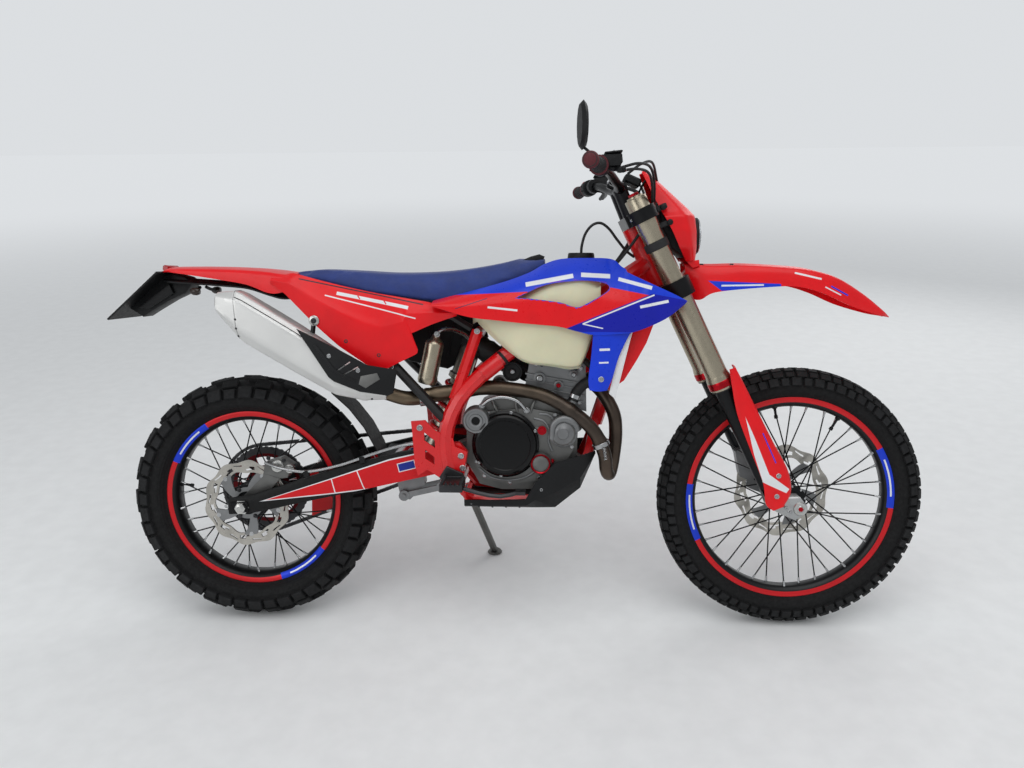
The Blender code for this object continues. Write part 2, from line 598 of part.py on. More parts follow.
def plate(name, outline, near, far, holes=()):
    """A flat piece cut from the side view's outline, between two offsets along Y."""
    curve = bpy.data.curves.new(name, "CURVE")
    curve.dimensions = "2D"
    curve.fill_mode = "BOTH"
    curve.extrude = abs(far - near) / 2
    for loop in (outline, *holes):
        spline = curve.splines.new("POLY")
        spline.points.add(len(loop) - 1)
        spline.use_cyclic_u = True
        for i, (x, z) in enumerate(loop):
            spline.points[i].co = (x, z, 0, 1)
    obj = link(name, curve)
    obj.matrix_world = Matrix.Translation((0, (near + far) / 2, 0)) @ Matrix.Rotation(math.pi / 2, 4, "X")
    return evaluated(obj)


def side_plate(name, outline, middle, thickness, holes=()):
    return plate(name, outline, middle - thickness / 2, middle + thickness / 2, holes)


def circle(centre, radius, count, phase=0.0):
    angles = [2 * math.pi * (i + phase) / count for i in range(count)]
    return [(centre[0] + radius * math.cos(a), centre[1] + radius * math.sin(a)) for a in angles]


def revolved(name, profile, sides, close):
    """A profile of (radius, height) turned about Z by a Screw modifier."""
    bm = bmesh.new()
    verts = [bm.verts.new((radius, 0, height)) for radius, height in profile]
    for pair in zip(verts, verts[1:]):
        bm.edges.new(pair)
    if close:
        bm.edges.new((verts[-1], verts[0]))
    mesh = bpy.data.meshes.new(name)
    bm.to_mesh(mesh)
    bm.free()
    obj = link(name, mesh)
    screw = obj.modifiers.new("turn", "SCREW")
    screw.axis = "Z"
    screw.angle = 2 * math.pi
    screw.steps = sides
    screw.render_steps = sides
    screw.use_merge_vertices = True
    screw.merge_threshold = WELD
    return evaluated(obj)


def turned(name, profile, centre, sides, close=False):
    """A profile of (radius, y) turned about the lateral axis through the centre."""
    obj = revolved(name, profile, sides, close)
    obj.data.transform(Matrix.Translation(centre) @ Matrix.Rotation(-math.pi / 2, 4, "X"))
    return obj


def spun(name, profile, start, direction, sides):
    """A profile of (radius, height) turned about an axis that runs from the start along the direction."""
    obj = revolved(name, profile, sides, bool(profile[0][0] and profile[-1][0]))
    obj.data.transform(Matrix.Translation(start) @ frame_of(direction))
    return obj


def loft(name, sections):
    """Closed sections of equal length, joined in order and capped at both ends."""
    bm = bmesh.new()
    rings = [[bm.verts.new(p) for p in section] for section in sections]
    count = len(rings[0])
    for one, two in zip(rings, rings[1:]):
        for i in range(count):
            j = (i + 1) % count
            bm.faces.new((one[i], one[j], two[j], two[i]))
    bm.faces.new(rings[0])
    bm.faces.new(reversed(rings[-1]))
    return from_bmesh(name, bm)


def sheet(name, rows, thickness, offset=-1):
    """A grid of points made a shell by Solidify."""
    bm = bmesh.new()
    grid = [[bm.verts.new(p) for p in row] for row in rows]
    for one, two in zip(grid, grid[1:]):
        for i in range(len(one) - 1):
            bm.faces.new((one[i], one[i + 1], two[i + 1], two[i]))
    mesh = bpy.data.meshes.new(name)
    bm.to_mesh(mesh)
    bm.free()
    obj = link(name, mesh)
    solidify = obj.modifiers.new("wall", "SOLIDIFY")
    solidify.thickness = thickness
    solidify.offset = offset
    return evaluated(obj)


def mirrored(points):
    """Points of one side, continued by the same points on the other side in reverse."""
    return list(points) + [Vector((p[0], -p[1], p[2])) for p in reversed(list(points))]


def section_ring(x, half_width, low, high, shares):
    """A closed section at one x, from one side's (half width, height) shares, bottom to top."""
    one = [Vector((x, w * half_width, low + h * (high - low))) for w, h in shares]
    return [tuple(v) for v in mirrored(one)]


def fattened(obj, gap):
    """A copy of the piece, grown by the gap on every face."""
    bm = bmesh.new()
    bm.from_mesh(obj.data)
    bm.normal_update()
    moves = [(v, v.normal * gap * min(v.calc_shell_factor(), 2.5)) for v in bm.verts]
    for vert, move in moves:
        vert.co += move
    return from_bmesh(obj.name + "_seat", bm)


def keep_largest(obj):
    bm = bmesh.new()
    bm.from_mesh(obj.data)
    left, islands = set(bm.verts), []
    while left:
        stack, island = [left.pop()], []
        while stack:
            vert = stack.pop()
            island.append(vert)
            for edge in vert.link_edges:
                other = edge.other_vert(vert)
                if other in left:
                    left.remove(other)
                    stack.append(other)
        islands.append(island)
    islands.sort(key=lambda island: sorted(v.index for v in island)[0])
    islands.sort(key=len)
    for island in islands[:-1]:
        bmesh.ops.delete(bm, geom=island, context="VERTS")
    bm.to_mesh(obj.data)
    bm.free()
    return obj


def seat(piece, *carriers):
    """The piece, cut back to a seat gap from what it touches."""
    for carrier in carriers:
        piece = cut(piece, fattened(carrier, SEAT_GAP * 2))
    return keep_largest(piece)


def finish(obj, material_name, body, smooth_angle=35):
    obj.data.materials.clear()
    obj.data.materials.append(material(material_name))
    obj.data.shade_smooth()
    obj.data.set_sharp_from_angle(angle=math.radians(smooth_angle))
    body.append(obj)
    return obj


# Where the main pieces sit, worked out from the driving dimensions
FORK_UP = Vector((-math.sin(RAKE), 0, math.cos(RAKE)))
FORK_AHEAD = Vector((math.cos(RAKE), 0, math.sin(RAKE)))
FORK_TURN = Matrix((FORK_AHEAD, Y_AXIS, FORK_UP)).transposed().to_4x4()
lower_yoke_centre = spot(YOKE_SHARES)
foot_drop = (lower_yoke_centre.z - FRONT_TYRE_RADIUS + FORK_LEAD * FORK_AHEAD.z) / FORK_UP.z


def leg(height, side=0, ahead=0.0):
    """A point on a fork leg, that far up it from the axle's level and that far ahead of its axis."""
    point = lower_yoke_centre + (height - foot_drop) * FORK_UP + ahead * FORK_AHEAD
    return Vector((point.x, side * FORK_SPACING / 2, point.z))


def steering(height):
    return leg(height, 0, -YOKE_OFFSET)


rear_axle = Vector((0, 0, REAR_TYRE_RADIUS))
front_axle = leg(0, 0, FORK_LEAD)
pivot = spot(PIVOT_SHARES)
front_sprocket = spot(FRONT_SPROCKET_SHARES, CHAIN_LINE)
bar_centre = spot(BAR_CENTRE_SHARES)
stand_pivot = spot(STAND_PIVOT_SHARES, STAND_PIVOT_LINE)
stand_foot = Vector((
    STAND_FOOT_SHARE * CHASSIS_LENGTH, STAND_REACH, STAND_REACH * math.tan(LEAN) + STAND_FOOT_THICKNESS / 2,
))
STAND_AXIS = (stand_foot - stand_pivot).cross(STAND_FOLDED).normalized()


def build_frame(body):
    head_low = steering(LOWER_YOKE_HEIGHT + LOWER_YOKE_THICKNESS / 2 + RUNNING_GAP)
    head_high = steering(UPPER_YOKE_HEIGHT - UPPER_YOKE_THICKNESS / 2 - RUNNING_GAP)
    frame = rod("frame", head_low, head_high, HEAD_TUBE_RADIUS, 20)
    down_top = steering(LOWER_YOKE_HEIGHT + 2 * LOWER_YOKE_THICKNESS) - HEAD_TUBE_RADIUS / 2 * FORK_AHEAD
    frame = unite(frame, tube("downtube", [down_top] + route(DOWNTUBE_ROUTE_SHARES), DOWNTUBE_RADIUS, 2))
    for side in (LEFT, RIGHT):
        inner = side * PIVOT_HALF_WIDTH
        frame = unite(
            frame,
            tube("spar", route(SPAR_ROUTE_SHARES, side), SPAR_RADIUS, 2),
            tube("upright", route(UPRIGHT_ROUTE_SHARES, side), UPRIGHT_RADIUS, 1),
            tube("cradle", route(CRADLE_ROUTE_SHARES, side), CRADLE_RADIUS, 2, 1),
            plate("pivot_plate", flat(PIVOT_PLATE_SHARES), inner, inner + side * PIVOT_PLATE_THICKNESS),
            side_plate(
                "heel_plate", flat(HEEL_PLATE_SHARES), side * HEEL_PLATE_LINE, HEEL_PLATE_THICKNESS,
                [flat(slot) for slot in HEEL_SLOT_SHARES],
            ),
        )
    cross_half = UPRIGHT_ROUTE_SHARES[1][1] * CHASSIS_HALF_WIDTH
    link_half = CRADLE_ROUTE_SHARES[-1][1] * CHASSIS_HALF_WIDTH
    lug = tube("link_lug", [spot(LINK_CROSS_SHARES), spot(LINK_LUG_SHARES)], LINK_LUG_RADIUS, 1)
    lug_end = crossways("link_lug_end", LINK_LUG_SHARES, LINK_LUG_WIDTH / 2, LINK_LUG_RADIUS, 12)
    link_pin = crossways("link_pin", LINK_LUG_SHARES, LINK_ROD_LINE + LINK_ROD_THICKNESS, LINK_PIN_RADIUS, 10)
    frame = unite(
        frame,
        crossways("shock_cross", SHOCK_CROSS_SHARES, cross_half, UPRIGHT_RADIUS, 12),
        crossways("pivot_bolt", PIVOT_SHARES, PIVOT_HALF_WIDTH + PIVOT_PLATE_THICKNESS / 2, PIVOT_RADIUS, 12),
        crossways("engine_bolt", ENGINE_BOLT_SHARES, ENGINE_BOLT_HALF_WIDTH, ENGINE_BOLT_RADIUS, 10),
        crossways("link_cross", LINK_CROSS_SHARES, link_half, CRADLE_RADIUS, 12),
        lug, lug_end, link_pin,
    )
    bore = rod(
        "stem_bore", head_low - OVERRUN * 2 * FORK_UP, head_high + OVERRUN * 2 * FORK_UP,
        STEM_RADIUS + RUNNING_GAP, 20,
    )
    return finish(build_stand_bracket(cut(frame, bore)), "red_paint", body)


def build_stand_bracket(frame):
    """Two cheeks and a pin that carry the stand under the left end of the cradle."""
    reach = STAND_BOSS + STAND_CHEEK
    pin = rod("pin", stand_pivot - reach * STAND_AXIS, stand_pivot + reach * STAND_AXIS, STAND_PIN_RADIUS, 14)
    arm_foot = stand_pivot - STAND_AXIS * (STAND_BOSS + STAND_CHEEK * 1.9)
    arm = tube("arm", [arm_foot] + route(STAND_KNEE_SHARES), STAND_RADIUS * 0.9, 1)
    for sign in (1, -1):
        near = stand_pivot + sign * (STAND_BOSS + RUNNING_GAP) * STAND_AXIS
        pin = unite(pin, rod("cheek", near, stand_pivot + sign * reach * STAND_AXIS, STAND_RADIUS * 1.3, 14))
    return unite(frame, unite(arm, pin))


def build_swingarm(body):
    """Two tapered arms, a bridge, the rear axle and the flap that keeps dirt off the shock."""
    swingarm = None
    half_thick = SWINGARM_THICKNESS / 2
    soft = 1 - SWINGARM_CHAMFER_SHARE
    corner_shares = [
        (-1, -soft), (-soft, -1), (soft, -1), (1, -soft), (1, soft), (soft, 1), (-soft, 1), (-1, soft),
    ]
    for side in (LEFT, RIGHT):
        rear = side * SWINGARM_REAR_HALF_WIDTH
        front = side * (PIVOT_HALF_WIDTH - half_thick - SEAT_GAP)
        sections = []
        for x, z, half, inward in SWINGARM_SHARES:
            at = spot((x, z), rear + (front - rear) * inward)
            tall = half * CHASSIS_HEIGHT
            sections.append([(at.x, at.y + dy * half_thick, at.z + dz * tall) for dy, dz in corner_shares])
        arm = loft("swingarm", sections)
        swingarm = arm if swingarm is None else unite(swingarm, arm)
    rows = []
    for angle in np.linspace(FLAP_SWEEP[0], FLAP_SWEEP[1], 5):
        x, z = FLAP_RADIUS * math.cos(angle), rear_axle.z + FLAP_RADIUS * math.sin(angle)
        rows.append([(x, y, z) for y in (-FLAP_HALF_WIDTH, FLAP_HALF_WIDTH)])
    axle_half = SWINGARM_REAR_HALF_WIDTH + SWINGARM_THICKNESS
    axle = rod("axle", rear_axle - axle_half * Y_AXIS, rear_axle + axle_half * Y_AXIS, AXLE_RADIUS, 16)
    bore = crossways("bore", PIVOT_SHARES, 2 * PIVOT_HALF_WIDTH, PIVOT_RADIUS + SEAT_GAP, 12)
    swingarm = unite(swingarm, box("bridge", BRIDGE_SIZE, spot(BRIDGE_SHARES)), axle)
    swingarm = unite(swingarm, sheet("flap", rows, PANEL_THICKNESS))
    return finish(cut(swingarm, bore), "black_aluminium", body)


def tyre(name, centre, radius, width, rim_radius, rim_width, lug, pitches):
    """The carcass is a turned section; its lugs are extruded from a pattern of its outer faces."""
    base = radius - lug
    half = width / 2 - lug * 0.4
    depth = base - rim_radius
    bead = rim_width / 2 - RIM_WALL - SEAT_GAP
    outer = [
        (rim_radius - RIM_WALL, bead), (rim_radius + SEAT_GAP, bead), (rim_radius + 0.42 * depth, half),
        (rim_radius + 0.74 * depth, half * 0.95), (rim_radius + 0.92 * depth, half * 0.64), (base, half * 0.22),
    ]
    profile = outer + [(r, -y) for r, y in reversed(outer)]
    steps = 2 * pitches
    obj = turned(name, profile, (0, 0, 0), steps, close=True)
    bm = bmesh.new()
    bm.from_mesh(obj.data)
    pitch = 2 * math.pi / steps
    chosen = []
    for face in bm.faces:
        c = face.calc_center_median()
        column = int(round(math.atan2(c.x, c.z) / pitch - 0.5)) % steps
        across = abs(c.y) / half
        on_tread = math.hypot(c.x, c.z) > rim_radius + 0.66 * depth
        odd = column % 2
        even_row = across < 0.2 or across > 0.6
        if on_tread and (even_row if not odd else 0.2 < across < 0.6):
            chosen.append((face, across > 0.6))
    for face, shoulder in chosen:
        raised = bmesh.ops.extrude_discrete_faces(bm, faces=[face])["faces"][0]
        middle = raised.calc_center_median()
        outward = Vector((middle.x, 0, middle.z)).normalized()
        lean_out = outward + Vector((0, math.copysign(0.55, middle.y), 0)) if shoulder else outward
        for vert in raised.verts:
            vert.co = middle + (vert.co - middle) * 0.84 + lean_out * lug
    for vert in bm.verts:
        r = math.hypot(vert.co.x, vert.co.z)
        if r > radius:
            vert.co.x *= radius / r
            vert.co.z *= radius / r
        vert.co.y = max(-width / 2, min(width / 2, vert.co.y))
    bm.transform(Matrix.Translation(centre))
    bm.to_mesh(obj.data)
    bm.free()
    return obj


def rim(name, centre, radius, width, sides):
    w, t = width / 2, RIM_WALL
    shoulder, floor = radius - RIM_DEPTH * 0.5, radius - RIM_DEPTH
    profile = [
        (radius, w), (radius, w - t), (shoulder, w - t), (floor + t, w * 0.4), (floor + t, -w * 0.4),
        (shoulder, -w + t), (radius, -w + t), (radius, -w), (shoulder, -w), (floor, -w * 0.5),
        (floor, w * 0.5), (shoulder, w),
    ]
    return turned(name, profile, centre, sides, close=True)


def facet_radius(angle, radius, sides):
    """How far a turned piece's facet lies from its centre at an angle measured from its first vertex."""
    step = 2 * math.pi / sides
    return radius * math.cos(step / 2) / math.cos(angle % step - step / 2)


def hub_side(half_width, flange_line, flange_radius, mount):
    """The hub's profile from the boss face inwards; the mount is the face that a disc or sprocket bolts to."""
    barrel, flange = 0.55 * flange_radius, 0.12 * flange_radius
    bore, boss = AXLE_RADIUS + RUNNING_GAP, 1.8 * AXLE_RADIUS
    side = [(bore, half_width), (boss, half_width)]
    if mount:
        side += [
            (boss, mount), (flange_radius, mount), (flange_radius, mount - flange), (barrel, mount - 1.4 * flange),
        ]
    return side + [
        (barrel, flange_line + 0.6 * flange), (flange_radius, flange_line), (flange_radius, flange_line - flange),
        (barrel, flange_line - 2 * flange),
    ]


def hub(name, centre, half_width, flange_line, flange_radius, mounts, rim_radius, rim_width, rim_sides):
    """The hub with its laced spokes, whose tips stand on the rim's inner facets."""
    flange = 0.12 * flange_radius
    left = hub_side(half_width, flange_line, flange_radius, mounts[0])
    right = hub_side(half_width, flange_line, flange_radius, mounts[1])
    made = turned(name, left + [(r, -y) for r, y in reversed(right)], centre, 12, close=True)
    for i in range(SPOKES):
        side = LEFT if i % 2 else RIGHT
        sweep = 1 if (i // 2) % 2 else -1
        a_rim = 2 * math.pi * i / SPOKES
        a_hub = a_rim + sweep * math.radians(62)
        r_hub = flange_radius * 0.93
        y_hub = side * (flange_line - flange * (0.22 if sweep > 0 else 0.78))
        tip = facet_radius(a_rim, rim_radius - RIM_DEPTH, rim_sides) - SEAT_GAP
        y_rim = side * rim_width * (0.21 if sweep > 0 else 0.06)
        start = centre + Vector((r_hub * math.sin(a_hub), y_hub, r_hub * math.cos(a_hub)))
        end = centre + Vector((tip * math.sin(a_rim), y_rim, tip * math.cos(a_rim)))
        end += (start - end).normalized() * SPOKE_RADIUS * 0.3
        made = unite(made, rod("spoke", start, end, SPOKE_RADIUS, 3))
    return made


def brake_disc(name, centre, radius, line, inner_radius):
    """A wavy disc with a ring of round windows."""
    at = (centre.x, centre.z)
    outline = []
    for i, (x, z) in enumerate(circle((0, 0), radius, DISC_WAVES * 3)):
        dip = 1 - 0.06 * (0.5 + 0.5 * math.cos(2 * math.pi * i / 3))
        outline.append((at[0] + x * dip, at[1] + z * dip))
    windows = [circle(spot_at, radius * 0.17, 6) for spot_at in circle(at, 0.61 * radius, 6, 0.25)]
    holes = [circle(at, inner_radius, 12)] + windows
    return side_plate(name, outline, line, DISC_THICKNESS, holes)


def disc_slot(centre, radius, line):
    """The space that a caliper leaves for its disc."""
    half = DISC_THICKNESS / 2 + BRAKE_GAP
    reach = radius + BRAKE_GAP
    return turned(
        "slot", [(0, half), (reach, half), (reach, -half), (0, -half)], (centre.x, line, centre.z), 24,
    )


def build_rear_wheel(body):
    finish(
        tyre("rear_tyre", rear_axle, REAR_TYRE_RADIUS, REAR_TYRE_WIDTH, REAR_RIM_RADIUS, REAR_RIM_WIDTH,
             REAR_LUG_HEIGHT, REAR_PITCHES), "tyre_rubber", body,
    )
    finish(rim("rear_rim", rear_axle, REAR_RIM_RADIUS, REAR_RIM_WIDTH, REAR_PITCHES), "black_aluminium", body)
    mounts = (
        CHAIN_LINE - SPROCKET_THICKNESS / 2 - SEAT_GAP, REAR_DISC_LINE - DISC_THICKNESS / 2 - SEAT_GAP,
    )
    finish(
        hub("rear_hub", rear_axle, REAR_HUB_HALF_WIDTH, REAR_FLANGE_LINE, REAR_HUB_RADIUS, mounts,
            REAR_RIM_RADIUS, REAR_RIM_WIDTH, REAR_PITCHES), "aluminium", body,
    )
    at = (rear_axle.x, rear_axle.z)
    roots = circle(at, SPROCKET_RADIUS * 0.955, SPROCKET_TEETH, -0.25)
    tips = circle(at, SPROCKET_RADIUS, SPROCKET_TEETH)
    outline = [point for pair in zip(roots, tips) for point in pair]
    windows = [circle(c, 0.19 * SPROCKET_RADIUS, 6) for c in circle(at, 0.66 * SPROCKET_RADIUS, 6)]
    holes = [circle(at, 0.36 * SPROCKET_RADIUS, 12)] + windows
    finish(side_plate("rear_sprocket", outline, CHAIN_LINE, SPROCKET_THICKNESS, holes), "red_paint", body)
    finish(
        brake_disc("rear_disc", rear_axle, REAR_DISC_RADIUS, -REAR_DISC_LINE, 0.80 * REAR_HUB_RADIUS),
        "steel", body,
    )


def build_front_wheel(body):
    finish(
        tyre("front_tyre", front_axle, FRONT_TYRE_RADIUS, FRONT_TYRE_WIDTH, FRONT_RIM_RADIUS, FRONT_RIM_WIDTH,
             FRONT_LUG_HEIGHT, FRONT_PITCHES), "tyre_rubber", body,
    )
    finish(rim("front_rim", front_axle, FRONT_RIM_RADIUS, FRONT_RIM_WIDTH, FRONT_PITCHES), "black_aluminium", body)
    mounts = (FRONT_DISC_LINE - DISC_THICKNESS / 2 - SEAT_GAP, 0)
    finish(
        hub("front_hub", front_axle, FRONT_HUB_HALF_WIDTH, FRONT_FLANGE_LINE, FRONT_HUB_RADIUS, mounts,
            FRONT_RIM_RADIUS, FRONT_RIM_WIDTH, FRONT_PITCHES), "aluminium", body,
    )
    finish(
        brake_disc("front_disc", front_axle, FRONT_DISC_RADIUS, FRONT_DISC_LINE, 0.80 * FRONT_HUB_RADIUS),
        "steel", body,
    )


def build_engine(body, frame):
    half = ENGINE_CASE_HALF_WIDTH
    cases = unite(
        side_plate("engine_cases", flat(CASES_SHARES), 0, 2 * half),
        side_plate("rear_lug", flat(ENGINE_REAR_LUG_SHARES), 0, ENGINE_LUG_WIDTH),
        side_plate("front_lug", flat(ENGINE_FRONT_LUG_SHARES), 0, ENGINE_LUG_WIDTH),
    )
    well_near = spot(FRONT_SPROCKET_SHARES, CHAIN_LINE - CHAIN_WIDTH)
    well_far = spot(FRONT_SPROCKET_SHARES, CHAIN_LINE * 2)
    well = rod("sprocket_well", well_near, well_far, SPROCKET_WELL_RADIUS, 20)
    cases = finish(seat(cut(cases, well), frame), "aluminium", body)
    cylinder = unite(
        side_plate("cylinder", flat(CYLINDER_SHARES), 0, 2 * CYLINDER_HALF_WIDTH),
        side_plate("head_cover", flat(HEAD_COVER_SHARES), 0, 2 * HEAD_HALF_WIDTH),
    )
    cylinder = finish(seat(cylinder, cases, frame), "aluminium", body)
    inner = -half - SEAT_GAP
    clutch = spot(CLUTCH_SHARES)
    right = unite(
        plate("right_engine_cover", flat(RIGHT_COVER_SHARES), inner - COVER_THICKNESS, inner),
        turned(
            "clutch_drum",
            [(0, 0), (CLUTCH_COVER_RADIUS, 0), (CLUTCH_COVER_RADIUS, -CLUTCH_COVER_DEPTH * 0.75),
             (CLUTCH_COVER_RADIUS * 0.93, -CLUTCH_COVER_DEPTH), (0, -CLUTCH_COVER_DEPTH * 1.05)],
            (clutch.x, inner - SEAT_GAP, clutch.z), 32,
        ),
    )
    for x, z, radius, deep in COVER_BOSS_SHARES:
        at = spot((x, z))
        r, depth = radius * CHASSIS_LENGTH, deep * CLUTCH_COVER_DEPTH
        profile = [(0, 0), (r, 0), (r, -depth * 0.85), (r * 0.85, -depth), (0, -depth)]
        right = unite(right, turned("boss", profile, (at.x, inner - SEAT_GAP, at.z), 16))
    finish(seat(right, frame), "black_aluminium", body)
    ignition = spot(IGNITION_SHARES)
    deep = IGNITION_COVER_DEPTH
    left = unite(
        plate("left_engine_cover", flat(LEFT_COVER_SHARES), half + SEAT_GAP, half + SEAT_GAP + COVER_THICKNESS),
        turned(
            "ignition_dome",
            [(0, 0), (IGNITION_COVER_RADIUS, 0), (IGNITION_COVER_RADIUS, deep * 0.75),
             (IGNITION_COVER_RADIUS * 0.9, deep), (0, deep * 1.05)],
            (ignition.x, half + SEAT_GAP * 2, ignition.z), 28,
        ),
    )
    left = finish(seat(left, frame), "black_aluminium", body)
    throttle = unite(
        rod("throttle_body", *route(THROTTLE_ROUTE_SHARES), THROTTLE_RADIUS, 16),
        box("motor", THROTTLE_MOTOR_SIZE, spot(THROTTLE_MOTOR_SHARES)),
    )
    finish(seat(throttle, cylinder), "black_plastic", body)
    return cases, cylinder, left


def build_exhaust(body, subframe, carriers):
    header = tube("header_pipe", route(HEADER_ROUTE_SHARES), HEADER_RADIUS, 2, 2)
    header = finish(seat(header, *carriers), "blued_steel", body)
    sections = []
    for x, top, bottom, w in SILENCER_SHARES:
        low, tall = bottom * CHASSIS_HEIGHT, (top - bottom) * CHASSIS_HEIGHT
        sections.append([
            (x * CHASSIS_LENGTH, dy * SILENCER_HALF_WIDTH * w - SILENCER_LINE, low + dz * tall)
            for dy, dz in SILENCER_SECTION_SHARES
        ])
    eye = rod(
        "eye", spot(SILENCER_EYE_SHARES, -SILENCER_LINE - SILENCER_EYE_RADIUS / 2),
        spot(SILENCER_EYE_SHARES, -SILENCER_LINE + SILENCER_EYE_RADIUS), SILENCER_EYE_RADIUS * 2, 14,
    )
    silencer = unite(loft("silencer", sections), eye)
    silencer = finish(seat(silencer, header, subframe), "aluminium", body)
    line = SILENCER_LINE + SILENCER_HALF_WIDTH + SILENCER_GUARD_THICKNESS / 2 + SEAT_GAP
    guard = side_plate("silencer_guard", flat(SILENCER_GUARD_SHARES), -line, SILENCER_GUARD_THICKNESS)
    finish(seat(guard, silencer), "black_plastic", body)


def build_skid_plate(body, frame, cases):
    rows = []
    for x, low, high, w in SKID_SHARES:
        y = w * CHASSIS_HALF_WIDTH
        side = [
            spot((x, high), -y - SKID_LIP), spot((x, low + (high - low) * 0.35), -y - SKID_LIP), spot((x, low), -y),
        ]
        rows.append(mirrored(side))
    skid = sheet("skid_plate", rows, SKID_THICKNESS, 1)
    finish(seat(skid, frame, cases), "black_plastic", body)


def build_tank(body, frame):
    sections = []
    for x, low, roof, top, w in TANK_SHARES:
        outer = w * TANK_HALF_WIDTH
        inner = min(TUNNEL_HALF_WIDTH, outer * 0.80)
        foot, crown = spot((x, low)), spot((x, top))
        lip, belly = Vector((0, 0, TANK_LIP)), Vector((0, 0, TANK_BELLY_RISE))
        sections.append(mirrored([
            spot((x, roof), inner), foot + inner * Y_AXIS, foot + lip + outer * Y_AXIS,
            (foot + crown) / 2 + belly + outer * Y_AXIS,
            crown - Vector((0, 0, TANK_SHOULDER_DROP)) + outer * TANK_SHOULDER_SHARE * Y_AXIS,
            crown + outer * TANK_CROWN_SHARE * Y_AXIS,
        ]))
    cap = spot(CAP_SHARES)
    tank = unite(loft("fuel_tank", sections), rod("cap", cap, cap + Vector((0, 0, CAP_HEIGHT)), CAP_RADIUS, 16))
    return finish(seat(tank, frame), "tank_plastic", body)


def build_saddle(body, tank, subframe):
    saddle = loft("seat", [
        section_ring(
            x * CHASSIS_LENGTH, w * SEAT_HALF_WIDTH, low * CHASSIS_HEIGHT, top * CHASSIS_HEIGHT, SEAT_SECTION_SHARES,
        )
        for x, top, low, w in SEAT_SHARES
    ])
    return finish(seat(saddle, tank, subframe), "seat_cover", body)


def lugs(places, side, line, depth):
    """Short bosses that stand inwards from a panel, each from its inner to its outer place."""
    return [
        rod("lug", spot(inner, side * (line - depth)), spot(outer, side * line), LUG_RADIUS, 8)
        for inner, outer in places
    ]


def build_shroud(body, tank, radiator, side, word):
    drawn_in, foot_in, flare = SHROUD_BULGE_SHARES
    nose_start, nose_run = SHROUD_NOSE_SHARES
    rows = []
    for (xt, zt), (xb, zb) in zip(SHROUD_UPPER_SHARES, SHROUD_LOWER_SHARES):
        row = []
        for t in np.linspace(0.0, 1.0, 4):
            x, z = xt + (xb - xt) * t, zt + (zb - zt) * t
            bulge = 1.0 - drawn_in * (1 - t) ** 2 - foot_in * t
            front = flare * max(0.0, (x - nose_start) / nose_run)
            row.append(spot((x, z), side * SHROUD_HALF_WIDTH * (bulge + front)))
        rows.append(row)
    shroud = sheet("shroud_" + word, rows, PANEL_THICKNESS, side)
    leg_rows = [[spot(at, side * SHROUD_LEG_LINE) for at in row] for row in SHROUD_LEG_SHARES]
    window = plate("window", flat(SHROUD_WINDOW_SHARES), 0, side * 2 * SHROUD_HALF_WIDTH)
    shroud = cut(unite(shroud, sheet("lower_shroud", leg_rows, PANEL_THICKNESS, side)), window)
    shroud = unite(shroud, *lugs(SHROUD_LUG_SHARES, side, SHROUD_HALF_WIDTH * 0.955, SHROUD_LUG_DEPTH))
    return finish(seat(shroud, tank, radiator), "blue_plastic", body)


def build_radiator(body, frame, tank, side, word):
    middle = spot(RADIATOR_SHARES, side * RADIATOR_LINE)
    core = box("radiator_" + word, RADIATOR_SIZE, middle, -RADIATOR_TILT)
    bracket = tube("bracket", route(RADIATOR_BRACKET_SHARES, side), LUG_RADIUS, 1)
    outer = side * (RADIATOR_LINE + RADIATOR_SIZE[1] / 2)
    boss = rod("boss", middle, Vector((middle.x, side * SHROUD_LEG_LINE, middle.z)), LUG_RADIUS, 8)
    return finish(seat(unite(core, bracket, boss), frame, tank), "aluminium", body)


def build_side_panel(body, shroud, subframe, silencer, side, word):
    panel = side_plate(
        "side_panel_" + word, flat(SIDE_PANEL_SHARES), side * SIDE_PANEL_LINE, SIDE_PANEL_THICKNESS,
    )
    face = SIDE_PANEL_LINE - SIDE_PANEL_THICKNESS / 2
    panel = unite(panel, *lugs(SIDE_PANEL_LUG_SHARES, side, face + SEAT_GAP, SIDE_PANEL_LUG_DEPTH))
    finish(seat(panel, shroud, subframe, silencer), "red_plastic", body)


def build_tail(body, saddle, subframe):
    rows = []
    for x, z, w in REAR_FENDER_SHARES:
        y = w * REAR_FENDER_HALF_WIDTH
        edge, crown = Vector((0, 0, -REAR_FENDER_DROP * w)), Vector((0, 0, REAR_FENDER_CROWN))
        rows.append([
            spot((x, z), -y) + edge, spot((x, z), -y * 0.8), spot((x, z)) + crown, spot((x, z), y * 0.8),
            spot((x, z), y) + edge,
        ])
    fender = finish(
        seat(sheet("rear_fender", rows, PANEL_THICKNESS, -1), saddle, subframe), "red_plastic", body,
    )
    holder = side_plate("plate_holder", flat(PLATE_HOLDER_SHARES), 0, PLATE_HOLDER_WIDTH)
    finish(seat(holder, fender), "black_plastic", body)


def build_subframe(body, frame):
    subframe = None
    for side in (LEFT, RIGHT):
        rail = unite(
            tube("subframe", route(RAIL_ROUTE_SHARES, side), RAIL_RADIUS, 1, 1),
            tube("strut", route(STRUT_ROUTE_SHARES, side), STRUT_RADIUS, 1),
        )
        subframe = rail if subframe is None else unite(subframe, rail)
    subframe = unite(
        subframe, rod("tie", *route(TIE_ROUTE_SHARES), TIE_RADIUS, 10),
        tube("hanger", route(SILENCER_HANGER_SHARES), LUG_RADIUS, 1, 1),
    )
    return finish(seat(subframe, frame), "black_aluminium", body)


